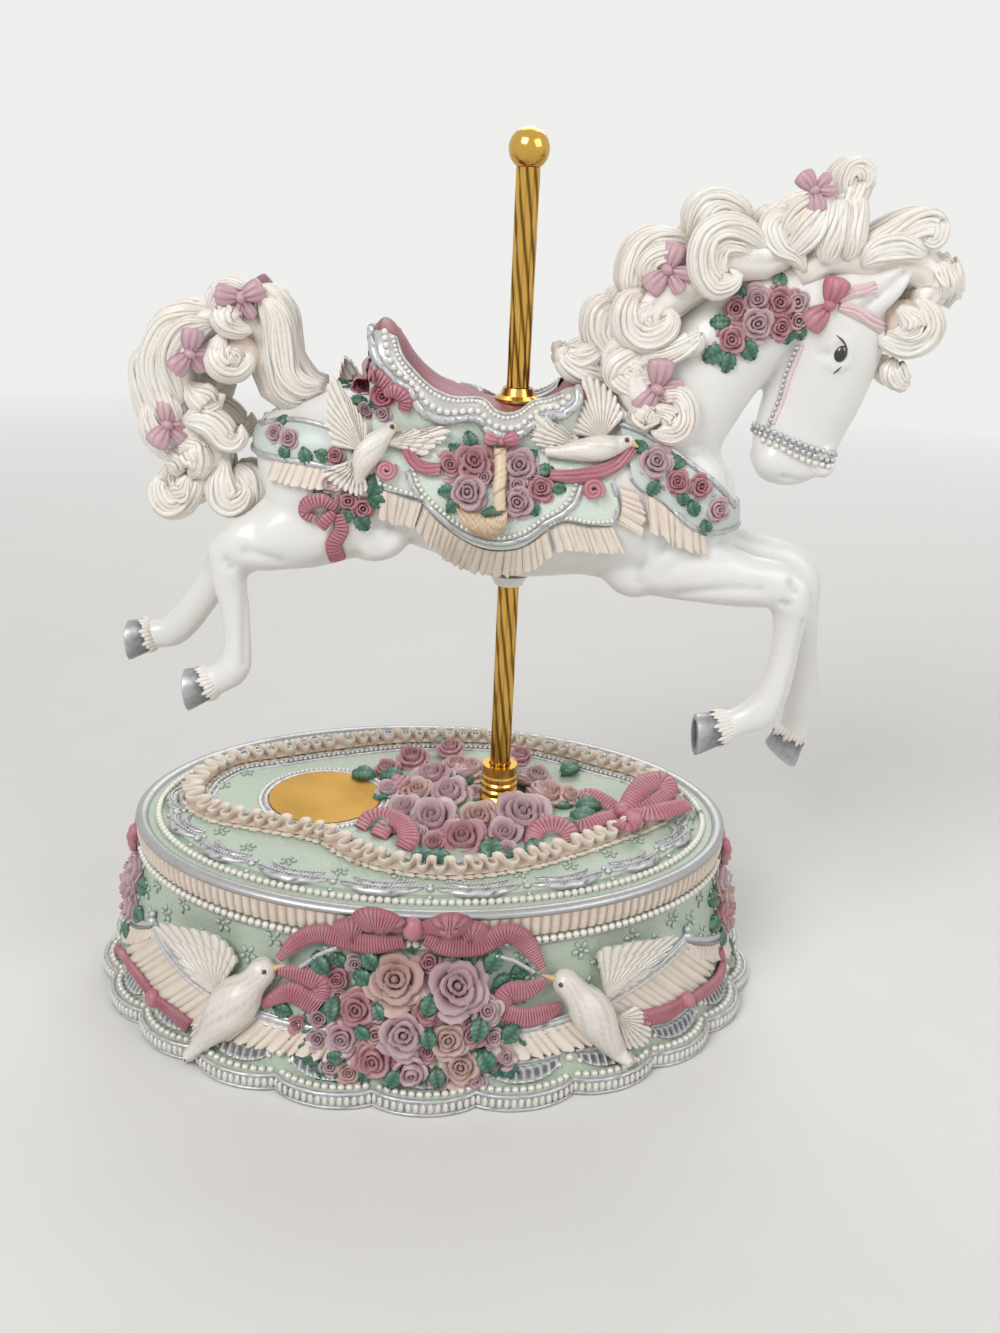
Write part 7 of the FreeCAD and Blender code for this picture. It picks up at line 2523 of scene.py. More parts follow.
@dataclass(frozen=True)
class Plinth:
    """The oval base: mouldings, pearls, scalloped foot, swags, doves, flowers and rose sprays."""
    # Half sizes of the ovals of rim, band, and the scallops' notches and tips, and the wall's flare
    rim: Row = (88.5, 60.5)
    band: Row = (87.3, 59.3)
    notch: Row = (97.6, 72.9)
    tip: Row = (101.2, 76.5)
    flare: Row = (10.3, 13.6)
    wall_foot: float = 1.0
    wall_top: float = 43.0
    plate: float = 5.0    # height of the scalloped foot
    top_level: float = 53.2    # height of the field inside the rim
    scallops: int = 22
    ribs: int = 190
    # Ribbed band: depth of the valley at four steps of a rib
    rib_wave: Row = (1.0, 0.25, 0.0, 0.25)
    # Its section: distance out on a rib, valley's depth, height, groove on a rib, more groove in a valley;
    # the groove is painted shade in the valleys and at the edges, partly antiquing
    band_section: Rows = (
        (-1.0, 0.0, 51.2, 0.9, 0.0), (1.9, 0.6, 50.9, 0.2, 0.7), (1.9, 0.8, 47.8, 0.0, 0.9),
        (1.2, 0.6, 44.9, 0.2, 0.7), (-1.0, 0.0, 44.5, 0.9, 0.0))
    close_set: float = 1.95    # gap of pearls that touch, as a share of their radius
    # Lines round the wall: height, lift
    wall_pearls: Row = (43.3, 0.6)
    wall_cord: Row = (41.6, 0.2)
    # Pearls round the top: half sizes of their oval, and their height
    top_pearls: Row = (82.6, 54.6)
    top_pearl_level: float = 52.2
    # Distances out from the medallion's edge
    medallion_pearls: float = 2.6
    medallion_cord: float = 1.0
    fan_top: float = 10.3    # height of the cord over the fans
    # Pearls between the fans: share of a scallop aside, height, radius
    notch_pearls: Rows = ((0, 9.6, 1.25), (-0.12, 8.2, 0.8), (0.12, 8.2, 0.8))
    # Pearls of a finial: along the wall, up, radius
    finial_pearls: Rows = ((0, 0.4, 1.6), (-2.3, -0.6, 1.1), (2.3, -0.6, 1.1), (0, 2.8, 1.1))
    # Swags at the ends: lowest height of the cord, and depth of the drape
    swag_low: float = 17.0
    swag_depth: float = 8.5
    # Rows of embossed flowers on the wall: height, number
    flower_rows: Rows = ((38.4, 30), (33.4, 28), (28.0, 30), (22.5, 28), (16.5, 30))
    top_flowers: int = 26
    top_flower_oval: Row = (69, 42)    # half sizes
    crescents: int = 18
    crescent_oval: Row = (76.6, 48.6)
    crescent_arch: float = 2.6
    # Each crescent's two rolls: reach as a share of the step, inset, half width
    crescent_rolls: Rows = ((0.42, 0.0, 1.9), (0.32, 3.0, 1.2))
    # Pearls between the crescents: distance out, radius, height
    crescent_pearls: Rows = ((0.0, 1.1, 53.1), (2.3, 0.8, 52.0), (-2.2, 0.8, 53.1))
    crescent_pearl_oval: Row = (77.4, 49.4)
    # Section of the rim moulding: distance out from the rim oval and height
    rim_section: Rows = (
        (-3.0, 51.9), (-2.4, 52.8), (-1.4, 53.2), (-0.2, 53.0), (0.7, 52.4), (0.9, 51.7), (0.6, 51.1),
        (-0.2, 50.8), (-2.2, 50.8))
    # Lines by the photograph: across, down
    swag_cord: Rows = (
        (155, 926), (166, 948), (184, 970), (205, 987), (230, 1003), (258, 1015), (300, 1026), (360, 1034),
        (420, 1037), (480, 1035), (545, 1026), (590, 1009), (622, 990), (650, 972), (671, 955), (685, 940))
    swag_hem: Rows = (
        (131, 945), (136, 968), (152, 991), (174, 1011), (205, 1029), (245, 1043), (300, 1054),
        (360, 1062), (420, 1065), (480, 1063), (545, 1054), (600, 1039), (645, 1017), (677, 1000),
        (700, 984), (712, 958))
    finials: Rows = ((155, 922), (685, 937))
    knots: Sequence[Any] = (
        (((118, 946, 11), (130, 966, 13), (143, 984, 13), (152, 998, 12)), (152, 998),
         ((152, 998, 12), (170, 1012, 15), (188, 1027, 17))),
        (((721, 949, 12), (724, 965, 17), (716, 983, 16), (692, 1000, 13)), (688, 1000),
         ((688, 1000, 14), (668, 1013, 20), (643, 1019, 18))))
    ruffle_edge: Rows = (
        (180, 795), (190, 812), (215, 824), (250, 831), (285, 837), (320, 845), (345, 860), (380, 872),
        (430, 880), (480, 879), (530, 871), (580, 857), (620, 843), (660, 827), (683, 806), (668, 786),
        (640, 772), (600, 761), (560, 750), (525, 743), (480, 738), (400, 738), (330, 745), (280, 752),
        (230, 760), (198, 775))
    ruffle_width: float = 7.0
    ruffle_rise: float = 3.5
    ruffle_pleats: int = 118
    ruffle_folds: int = 74
    ruffle_sway: Row = (2.3, 3.2)
    bouquet_middle: Row = (415, 1020)
    bouquet_mound: Row = (24.0, 13.0, 3.0)
    sprig_rise: float = 3.4
    bouquet: Sequence[RoseSpot] = (
        RoseSpot(396, 981, 29, BLUSH), RoseSpot(456, 987, 30, LILAC), RoseSpot(429, 961, 11, ROSE),
        RoseSpot(338, 979, 13, ROSE), RoseSpot(339, 994, 11, LILAC), RoseSpot(357, 1009, 19, ROSE),
        RoseSpot(486, 1010, 15, LILAC), RoseSpot(319, 1038, 12, LILAC), RoseSpot(343, 1037, 16, LILAC),
        RoseSpot(404, 1032, 25, LILAC), RoseSpot(374, 1057, 19, ROSE), RoseSpot(412, 1066, 20, LILAC),
        RoseSpot(448, 1038, 19, BLUSH), RoseSpot(460, 1066, 20, BLUSH), RoseSpot(493, 1036, 10, LILAC),
        RoseSpot(505, 1056, 12, LILAC), RoseSpot(349, 1072, 13, BLUSH), RoseSpot(331, 1066, 10, LILAC),
        RoseSpot(476, 1080, 10, LILAC), RoseSpot(440, 1078, 11, LILAC), RoseSpot(298, 1024, 10, ROSE),
        RoseSpot(356, 963, 10, LILAC), RoseSpot(428, 1010, 14, ROSE), RoseSpot(377, 1014, 12, LILAC),
        RoseSpot(472, 1034, 13, ROSE), RoseSpot(376, 1034, 12, BLUSH), RoseSpot(320, 1018, 11, LILAC),
        RoseSpot(508, 1022, 11, ROSE), RoseSpot(428, 1050, 11, ROSE), RoseSpot(488, 1062, 11, ROSE))
    # Leaves that stand out between the roses: across, down, degrees, length in mm
    bouquet_sprigs: Rows = (
        (332, 1008, 15, 6), (378, 1012, 30, 5), (429, 1006, -20, 6.5), (428, 1040, 10, 6),
        (479, 1030, -15, 7), (486, 1062, 20, 7), (393, 1079, 150, 6), (437, 1078, 190, 6),
        (362, 1033, 60, 5), (336, 1057, 100, 5.5), (370, 961, 40, 6.5), (364, 978, 70, 6.5),
        (320, 964, 40, 7), (510, 1034, -60, 7), (493, 962, -30, 7))
    bouquet_leaves: Rows = (
        (321, 964, 55, 6), (373, 958, 20, 6), (363, 978, 80, 6), (326, 1005, 90, 7), (379, 1004, 40, 6),
        (282, 1010, 85, 6), (311, 1024, 95, 6), (303, 1049, 120, 7), (335, 1056, 150, 6),
        (428, 994, 10, 6), (428, 1044, 180, 5), (476, 1026, 210, 5), (485, 1066, 200, 6),
        (487, 967, -30, 6), (503, 983, -60, 7), (520, 971, -70, 6), (514, 1034, -95, 7),
        (522, 1046, -110, 6), (340, 1074, 165, 6), (390, 1073, 180, 6), (458, 1077, 190, 6),
        (430, 1076, 175, 6), (412, 946, 10, 5), (306, 1034, 100, 6), (497, 1069, 220, 6),
        (364, 1074, 165, 6), (322, 1071, 140, 6), (292, 1036, 100, 5), (526, 1016, -80, 6),
        (340, 960, 40, 5), (470, 958, -20, 6), (440, 952, 0, 5), (312, 1058, 130, 6), (510, 1070, 230, 6))
    # Ribbons of the front bow: across, down, width in pixels, stand in mm
    bow_ribbons: Sequence[Rows] = (
        ((404, 928, 14, 4), (386, 923, 27, 6), (369, 921, 29, 5.6), (361, 927, 22, 3)),
        ((362, 932, 24, 3), (350, 931, 27, 4), (337, 932, 22, 2.6)),
        ((422, 929, 14, 4), (441, 927, 28, 6), (456, 927, 30, 5.6), (464, 932, 23, 3)),
        ((462, 934, 22, 3.4), (473, 933, 26, 4.2), (484, 936, 21, 2.6)),
        ((404, 942, 12, 4), (373, 945, 19, 4), (343, 940, 20, 3), (319, 934, 19, 2.6), (296, 942, 15, 3),
         (278, 959, 8, 4)),
        ((424, 940, 13, 4), (448, 947, 20, 4), (480, 945, 22, 3.4), (507, 934, 22, 3), (526, 943, 19, 3),
         (543, 969, 8, 4)),
        ((278, 971, 9, 4), (300, 975, 18, 3), (319, 984, 21, 3), (320, 1000, 19, 2)),
        ((262, 1004, 10, 1.4), (288, 993, 19, 2.4), (307, 1001, 21, 2.4), (318, 1009, 19, 2)),
        ((546, 981, 9, 4), (528, 990, 19, 3), (509, 994, 21, 3), (498, 1008, 19, 2)),
        ((562, 1006, 10, 1.4), (546, 1013, 18, 2), (524, 1018, 20, 2.4), (499, 1013, 20, 2)))
    # Short silver cords over the bow's ends: across, down
    bow_cords: Sequence[Rows] = (((337, 948), (320, 954), (300, 967)), ((489, 955), (512, 960), (534, 972)))
    bow_knot: Row = (413, 929)
    back_drop: float = 8.0
    left_dove: Plumage = Plumage(
        ((262, 971, 14.5), (252, 983, 15.5), (242, 994, 23), (231, 1007, 25), (218, 1024, 19),
         (204, 1040, 10.5), (186, 1057, 5)),
        (((226, 990, 3.6), ((244, 957, 3), (238, 941, 4), (228, 928, 5), (207, 921, 5.5), (173, 919, 5.5),
                            (178, 935, 5), (187, 948, 4.6), (193, 961, 4.2), (204, 980, 3.4)), 16),
         ((226, 1010, 3.6), ((240, 1018, 3.6), (226, 1032, 3.2), (208, 1045, 2.6), (196, 1040, 2.6),
                             (204, 1020, 3)), 8),
         ((212, 1030, 2.2), ((204, 1044, 2.2), (184, 1060, 2.2), (196, 1060, 2.2), (210, 1049, 2.2)), 6)),
        (285, 965), (264, 972), 6.0)
    right_dove: Plumage = Plumage(
        ((566, 982, 14), (577, 994, 15.5), (586, 1004, 21), (596, 1019, 21.5), (607, 1037, 15.5),
         (619, 1053, 9.5), (631, 1064, 4.5)),
        (((598, 992, 3.4), ((592, 951, 3), (597, 941, 4), (610, 938, 4.6), (624, 934, 5), (646, 931, 5.5),
                            (664, 928, 5.5), (656, 945, 5), (645, 958, 4.6), (632, 975, 4.2),
                            (616, 989, 3.4)), 16),
         ((609, 1014, 2.6), ((630, 1003, 2.6), (642, 1016, 2.6), (645, 1032, 2.4), (640, 1044, 2.2),
                             (622, 1048, 2.2)), 10),
         ((614, 1040, 2.2), ((622, 1054, 2.2), (636, 1067, 2.2), (626, 1070, 2.2), (614, 1060, 2.2)), 6)),
        (542, 975), (561, 985), 6.0)
    # Roses round the ferrule: across, down, radius in pixels, height in mm, paint
    wreath: Sequence[Any] = (
        (386, 766, 15, 56, ROSE), (412, 754, 18, 57, ROSE), (432, 772, 23, 58, LILAC),
        (456, 762, 16, 58, BLUSH), (470, 766, 20, 58, BLUSH), (447, 791, 25, 58, LILAC),
        (417, 789, 20, 57, BLUSH), (404, 806, 20, 56, LILAC), (432, 816, 28, 57, LILAC),
        (478, 815, 22, 57, BLUSH), (462, 836, 26, 56, ROSE), (434, 841, 14, 55, ROSE),
        (414, 832, 14, 55, LILAC), (505, 832, 20, 56, LILAC), (522, 812, 32, 58, LILAC),
        (549, 791, 21, 57, BLUSH), (538, 774, 18, 58, LILAC), (571, 794, 16, 56, BLUSH),
        (586, 800, 13, 55, LILAC), (508, 850, 13, 55, LILAC), (388, 788, 16, 56, LILAC),
        (520, 753, 14, 59, ROSE), (478, 793, 16, 57, LILAC), (450, 745, 15, 58, ROSE))
    wreath_middle: Row = (-8.0, -1.0)
    wreath_mound: Row = (23.0, 17.0, 3.2)
    # Roses behind the ferrule: x, y, radius
    wreath_back: Rows = (
        (-30, 8, 4.6), (-20, 15, 4.8), (-11, 17, 4.6), (-1, 18, 5.0), (9, 14, 4.6), (13, 5, 4.2))
    wreath_leaves: Rows = (
        (420, 846, 190, 7), (441, 848, 175, 7), (492, 838, 180, 7), (503, 843, 190, 6), (531, 839, 200, 7),
        (570, 813, 260, 7), (556, 820, 240, 6), (576, 804, 280, 6), (470, 785, 30, 6), (404, 776, 80, 6),
        (395, 822, 110, 6), (560, 772, -50, 6), (376, 774, 80, 6), (448, 752, 10, 6))
    # Ribbons on the top: across, down, width in pixels, stand in mm
    top_ribbons: Sequence[Rows] = (
        ((360, 828, 12, 0.8), (370, 817, 16, 2.6), (388, 815, 18, 3.4), (404, 824, 19, 3.6),
         (409, 838, 19, 2.4), (403, 848, 16, 0.8)),
        ((378, 836, 16, 1.0), (386, 826, 18, 2.2), (398, 826, 18, 1.4)),
        ((530, 844, 12, 0.8), (537, 829, 17, 2.8), (552, 823, 18, 3.8), (567, 829, 18, 2.8),
         (572, 842, 15, 0.8)),
        ((622, 811, 11, 3.0), (632, 797, 18, 5.6), (646, 783, 22, 7.6), (662, 780, 21, 7.2),
         (668, 790, 17, 6.2), (652, 802, 14, 4.6), (630, 811, 11, 3.0)),
        ((626, 812, 12, 3.0), (650, 813, 17, 5.4), (671, 808, 19, 5.8), (687, 803, 16, 5.0)),
        ((618, 809, 12, 2.0), (604, 800, 15, 2.6), (589, 794, 15, 2.4), (573, 799, 12, 1.0)),
        ((618, 812, 12, 2.0), (601, 819, 16, 2.4), (583, 825, 15, 1.8), (566, 823, 11, 0.9)),
        ((624, 811, 11, 3.0), (635, 818, 14, 5.0), (629, 825, 13, 5.4), (614, 822, 11, 3.0)))
    top_knot: Row = (622, 810)
    # Sprays at the ends: degrees round the oval, height, radius and paint; leaves with their turn
    spray: Sequence[Any] = (
        (-9, 35, 4.6, LILAC), (0, 37, 4.8, ROSE), (9, 35, 4.6, LILAC), (-6, 28, 5.0, BLUSH),
        (5, 27, 5.4, LILAC), (-1, 19, 4.8, ROSE), (-12, 25, 3.8, ROSE), (11, 22, 4.0, LILAC),
        (-7, 18, 3.6, LILAC), (4, 33, 3.8, BLUSH))
    spray_leaves: Rows = (
        (-14, 32, 70), (14, 32, -70), (-12, 20, 110), (9, 17, -120), (-5, 12, 165), (4, 13, 190),
        (0, 44, 0), (-8, 42, 35), (8, 42, -35), (15, 25, -95), (-15, 26, 95))
    medallion: Row = (-53.2, 3.0)
    medallion_radius: float = 17.0

    @staticmethod
    def oval(half: Row, angle: float) -> Line:
        """A point of an oval round the base's middle at height 0, and its outward direction."""
        c, s = math.cos(angle), math.sin(angle)
        out = unit(np.array((c / half[0], s / half[1], 0.0)))
        return np.array((BASE_X + half[0] * c, half[1] * s, 0.0)), out

    def wall(self, angle: float, height: float, lift: float = 0.0) -> Line:
        """A spot on the flared wall.

        Args:
            angle: round the oval, in radians.
            height: over the table.
            lift: off the wall.

        Returns:
            The spot and the wall's outward direction.
        """
        left = 1 - min(1.0, max(0.0, (height - self.wall_foot) / (self.wall_top - self.wall_foot)))
        half = [b + f * left ** 1.5 for b, f in zip(self.band, self.flare)]
        place, out = self.oval(half, angle)
        slope = 1.5 * left ** 0.5 / (self.wall_top - self.wall_foot)
        lean = slope * (self.flare[0] * abs(out[0]) + self.flare[1] * abs(out[1]))
        out = unit(out + UP * lean)
        return place + UP * height + out * lift, out

    def ring(self, half: Row, section: Rows, count: int) -> Relief:
        """A moulding round the base: its section swept round an oval.

        Args:
            half: half sizes of the oval.
            section: distance out from the oval and height, from the inside over the top and down.
            count: steps round it.

        Returns:
            The moulding.
        """
        rows = []
        for i in range(count):
            place, out = self.oval(half, 2 * math.pi * i / count)
            rows.append([place + out * away + UP * height for away, height in section])
        ring = lattice(np.array(rows), np.zeros((count, len(section))), True, False, True)
        # The moulding's hollows are darkened partly as antiquing and partly as painted shade.
        ring.groove = np.clip(creases(ring, 1.2), 0, 1)
        return ring

    def loop(self, half: Row, height: float, count: int = 160) -> Line:
        """A level line round an oval that looks up, closed."""
        spots = [self.oval(half, 2 * math.pi * i / count)[0] + UP * height for i in range(count + 1)]
        return np.array(spots), np.tile((0.0, 0.0, 1.0), (count + 1, 1))

    def girdle(self, height: float, lift: float, count: int = 160) -> Line:
        """A level line round the wall that looks out, closed."""
        return split([self.wall(2 * math.pi * i / count, height, lift) for i in range(count + 1)])

    def ribbed(self) -> Relief:
        """Models the ribbed band under the rim.

        Returns:
            The band.
        """
        count = self.ribs * 4
        rows, groove = [], []
        for i in range(count):
            place, out = self.oval(self.band, 2 * math.pi * i / count)
            valley = self.rib_wave[i % 4]
            rows.append([place + out * (away - dip * valley) + UP * height
                         for away, dip, height, _, _ in self.band_section])
            groove.append([shade + more * valley for _, _, _, shade, more in self.band_section])
        return lattice(np.array(rows), np.array(groove), True, False, True)

    def scallop_edge(self, index: int, inset: float, count: int = 15) -> np.ndarray:
        """Draws one scallop's edge.

        Args:
            index: the scallop's number.
            inset: distance in from the edge.
            count: points along it.

        Returns:
            The points, at height 0.
        """
        step = 2 * math.pi / self.scallops
        first, last = self.oval(self.notch, step * index)[0], self.oval(self.notch, step * (index + 1))[0]
        high, out = self.oval(self.tip, step * (index + 0.5))
        share = np.linspace(0, 1, count)[:, None]
        bulge = high - (first + last) / 2
        line = first + (last - first) * share + bulge * (1 - (2 * share - 1) ** 2) ** 0.8
        return line - out * inset

    def dress_mouldings(self) -> None:
        """Makes the rim, the ribbed band and the rows of pearls."""
        piece("rim_moulding", self.ring(self.rim, self.rim_section, 160), PEWTER, Body.BASE)
        piece("ribbed_band", self.ribbed(), BAND, Body.BASE)
        pearls = [beaded(*self.girdle(*self.wall_pearls), 1.12, self.close_set),
                  beaded(*self.loop(self.top_pearls, self.top_pearl_level), 1.1, self.close_set)]
        around, outs = self.loop((self.medallion_radius + self.medallion_pearls,) * 2, self.top_level, 60)
        shift = np.array((self.medallion[0] - BASE_X, self.medallion[1], 0.0))
        pearls.append(beaded(around + shift, outs, 0.7, 2.1))
        piece("base_pearls", gathered(pearls), PEARL, Body.BASE)
        lines = [braid(*self.girdle(*self.wall_cord), 0.6)]
        around, outs = self.loop((self.medallion_radius + self.medallion_cord,) * 2, self.top_level, 60)
        lines.append(braid(around + shift, outs, 0.9))
        piece("base_cords", gathered(lines), SILVER, Body.BASE)

    def dress_foot(self) -> None:
        """Makes the scalloped foot's rims, beads and fluted fans."""
        rims, beads, bars, fans = [], [], [], []
        step = 2 * math.pi / self.scallops
        for k in range(self.scallops):
            edge = self.scallop_edge(k, 0.4) + UP * (self.plate - 0.2)
            rims.append(braid(edge, np.tile(UP, (len(edge), 1)), 0.75))
            low = self.scallop_edge(k, 0.1) + UP * 0.7
            rims.append(braid(low, np.tile(UP, (len(low), 1)), 0.6))
            bars.append(self.bars(k))
            row = self.scallop_edge(k, 2.5)[1:-1] + UP * (self.plate - 0.1)
            beads.append(beaded(row, np.tile(UP, (len(row), 1)), 1.1, self.close_set))
            fans.append(self.flutes(step * (k + 0.5), step))
            arc = [self.wall(step * (k + 0.5 + 0.42 * q), self.fan_top + 0.6 * q * q, 0.2)
                   for q in np.linspace(-1, 1, 13)]
            rims.append(braid(*split(arc), 0.7))
            for aside, height, radius in self.notch_pearls:
                beads.append(pearl(radius).moved(frame_at(*self.wall(step * (k + aside), height, 0.1))))
        piece("foot_rims", gathered(rims), SILVER, Body.BASE)
        piece("foot_beads", gathered(beads), PEARL, Body.BASE)
        piece("foot_bars", gathered(bars), PEARL, Body.BASE)
        piece("foot_fans", gathered(fans), SILVER, Body.BASE)

    def bars(self, index: int, count: int = 15) -> Relief:
        """Models the upright pearl bars along one scallop's side.

        Args:
            index: the scallop's number.
            count: number of bars.

        Returns:
            The bars.
        """
        line = smooth_rows(self.scallop_edge(index, 0.1, 31), count + 1)
        ways = along(line)
        made = []
        for spot, way in list(zip(line, ways))[:-1]:
            out = np.array((way[1], -way[0], 0.0))
            bar = ellipsoid((0, 0, 0), (0.86, 1.75, 0.8), 0, 8)
            # The bars darken towards their back, where they sit against the foot, as painted shade.
            bar.groove[:] = np.clip(0.75 - bar.points[:, 2] * 1.6, 0, 1)
            made.append(bar.moved(frame_at(spot + way * 0.85 + UP * 2.75, out)))
        return gathered(made)

    def flutes(self, middle: float, step: float, count: int = 9) -> Relief:
        """Models the fluted crescent over one scallop.

        Args:
            middle: angle of its middle.
            step: angle from scallop to scallop.
            count: number of flutes.

        Returns:
            The crescent.
        """
        rows, groove = [], []
        for i in range(count * 4 + 1):
            q = i / (count * 2) - 1
            valley = (1.0, 0.8, 0.0, 0.8)[i % 4]
            angle = middle + q * step * 0.4
            drop = math.sqrt(max(0.0, 1 - q * q))
            top = 9.2 + 0.9 * abs(q) ** 2
            low = 9.0 + 0.9 * q * q - 3.9 * drop
            row = []
            for share, lift in ((0.0, -0.4), (0.06, 0.9), (0.3, 1.1), (0.7, 1.5), (0.96, 1.9), (1.0, -0.4)):
                flute = 0.7 * valley * (0 < share < 1)
                height = top + (low - top) * share
                row.append(self.wall(angle, height, (lift - flute) * (0.3 + 0.7 * drop))[0])
            rows.append(row)
            # groove: the flutes' valleys and the edges set into the wall are darkened as painted shade,
            # partly antiquing
            groove.append([1.0, 0.1, 0.9 * valley, 0.9 * valley, 0.1, 1.0])
        return lattice(np.array(rows), np.array(groove)).faced(self.wall(middle, 8.0)[1])

    def end_swag(self, middle: float, reach: float, heights: Row, drop: float) -> Line:
        """A hanging line across one end of the wall.

        Args:
            middle: angle of the end.
            reach: angle from the middle to each finial.
            heights: height at the finials and lowest height.
            drop: further down, for the hem.

        Returns:
            The points and outward directions.
        """
        hits = []
        for q in np.linspace(-1, 1, 41):
            height = heights[1] + (heights[0] - heights[1]) * abs(q) ** 1.8 - drop * (1 - 0.45 * q * q)
            hits.append(self.wall(middle + reach * q, height, 0.3))
        return split(hits)

    @staticmethod
    def wire(path: np.ndarray, outs: np.ndarray, half: float) -> Relief:
        """A thin smooth line along a swag, with its half width."""
        return tube(path, np.full(len(path), half), np.full(len(path), 0.5), outs, 8)

    def dress_swags(self, shell: Carrier) -> None:
        """Hangs the pleated swags with their cords, finials and knotted ribbons.

        Args:
            shell: the base's surface.
        """
        cord = shell.traced(self.swag_cord, 90, 0.9)
        hem = shell.traced(self.swag_hem, 90, 0.9)
        drapes = [ruffle(cord, hem, 66, 1.5).both_sides()]
        inner = shell.traced([(u, v + 7) for u, v in self.swag_cord], 90, 0.9)
        outer = shell.traced([(u, v - 4) for u, v in self.swag_cord], 90, 0.6)
        cords = [braid(*cord, 1.0), self.wire(*inner, 0.55), self.wire(*outer, 0.5)]
        beads, ends = [], []
        for across, down in self.finials:
            place, out = shell.seen(across, down)
            side = np.cross(UP, out)
            for along_wall, rise, radius in self.finial_pearls:
                beads.append(pearl(radius).moved(frame_at(place + side * along_wall + UP * rise, out)))
            ends.append((place, math.atan2(place[1] / self.band[1], (place[0] - BASE_X) / self.band[0])))
        for place, angle in ends:
            middle = 0.0 if abs(angle) < math.pi / 2 else math.pi
            reach = abs(angle) if middle == 0.0 else math.pi - abs(angle)
            heights = (place[2], self.swag_low)
            line = self.end_swag(middle, reach, heights, 0.0)
            drapes.append(ruffle(line, self.end_swag(middle, reach, heights, self.swag_depth), 36, 1.5))
            cords.append(braid(line[0] + line[1] * 0.3, line[1], 1.0))
            low = self.end_swag(middle, reach, heights, 1.9)
            cords.append(self.wire(low[0] + low[1] * 0.6, low[1], 0.55))
        piece("swag_drapes", gathered(drapes), RUFFLE, Body.BASE)
        piece("swag_cords", gathered(cords).both_sides(), SILVER, Body.BASE)
        piece("swag_finials", gathered(beads).both_sides(), SILVER, Body.BASE)
        ribbons = []
        for first, knot, second in self.knots:
            ribbons += [streamer(shell, rows, 20, 2.6, 0.7, 1.4) for rows in (first, second)]
            place, out = shell.seen(*knot, 2.8)
            ribbons.append(ellipsoid((0, 0, 0), (2.3, 2.8, 1.9), 0, 14).moved(frame_at(place, out, 30)))
        piece("swag_ribbons", gathered(ribbons).both_sides(), RIBBON, Body.BASE)

    def dress_flowers(self) -> None:
        """Scatters the embossed flowers over the wall and the top."""
        flowers = []
        for row, (height, count) in enumerate(self.flower_rows):
            for k in range(count):
                wander = math.sin(k * 12.9898 + row * 78.233) * 0.5
                angle = 2 * math.pi * (k + 0.5 * (row % 2) + 0.3 * wander) / count
                place, out = self.wall(angle, height + 1.6 * wander, 0.0)
                flowers.append(bloom(4 + (k + row) % 2).moved(frame_at(place, out, 360 * wander, 2.9)))
        for k in range(self.top_flowers):
            wander = math.sin(k * 12.9898) * 0.5
            half = [size + 3 * wander for size in self.top_flower_oval]
            place = self.oval(half, 2 * math.pi * k / self.top_flowers)[0] + UP * self.top_level
            flowers.append(bloom(5).moved(frame_at(place, UP, 360 * wander, 2.5)))
        piece("embossed_flowers", gathered(flowers), RELIEF_GREEN, Body.BASE)

    def dress_top(self) -> None:
        """Makes the ruffle ring, crescents and beads of the top."""
        closed = (*self.ruffle_edge, self.ruffle_edge[0])
        edge = smooth_rows([VIEW.at_height(u, v, self.top_level) for u, v in closed], 261)
        inward = unit(np.cross(UP, along(edge)))
        inward = inward if (inward * (edge.mean(axis=0) - edge)).sum() > 0 else -inward
        ups = np.tile(UP, (261, 1))
        frill = ruffle((edge + inward * self.ruffle_width, ups), (edge, ups), self.ruffle_pleats, 1.5)
        middle = edge + inward * self.ruffle_width * 0.5 + UP * 0.6
        share = np.array((0.1, 0.5, 0.9)) * self.ruffle_width
        strip = edge + inward * share[:, None, None] + UP * 1.3
        # A flat strip through the ruffle under the standing frill, darkened as painted shade.
        frill = frill + lattice(strip, np.full(strip.shape[:2], 0.7)).faced(UP)
        frill = frill + meander(middle, inward, UP, self.ruffle_folds, self.ruffle_sway, self.ruffle_rise)
        piece("top_frill", frill, RUFFLE, Body.BASE, ["top_ruffle"])
        inner = edge + inward * (self.ruffle_width + 1.3)
        border = [beaded(inner, ups, 0.8, 2.0), braid(edge + inward * (self.ruffle_width + 2.9), ups, 0.6)]
        step = 2 * math.pi / self.crescents
        q = np.linspace(-1, 1, 15)
        for k in range(self.crescents):
            for reach, inset, size in self.crescent_rolls:
                line = []
                for s in q:
                    half = [axis - inset + self.crescent_arch * (1 - s * s) for axis in self.crescent_oval]
                    line.append(self.oval(half, step * (k + reach * s))[0] + UP * (self.top_level + 0.1))
                line = np.array(line)
                wide = size * np.sqrt(np.clip(1.02 - q * q, 0.05, 1))
                border.append(tube(line, wide, wide * 0.8, UP, 12, 4, 0.3, 2.0))
                border.append(beaded(line + UP * wide[:, None] * 0.8, np.tile(UP, (15, 1)), 0.42, 2.4))
            place, out = self.oval(self.crescent_pearl_oval, step * (k + 0.5))
            for away, radius, height in self.crescent_pearls:
                border.append(pearl(radius).moved(frame_at(place + out * away + UP * height, UP)))
        piece("top_silver", gathered(border), SILVER, Body.BASE)

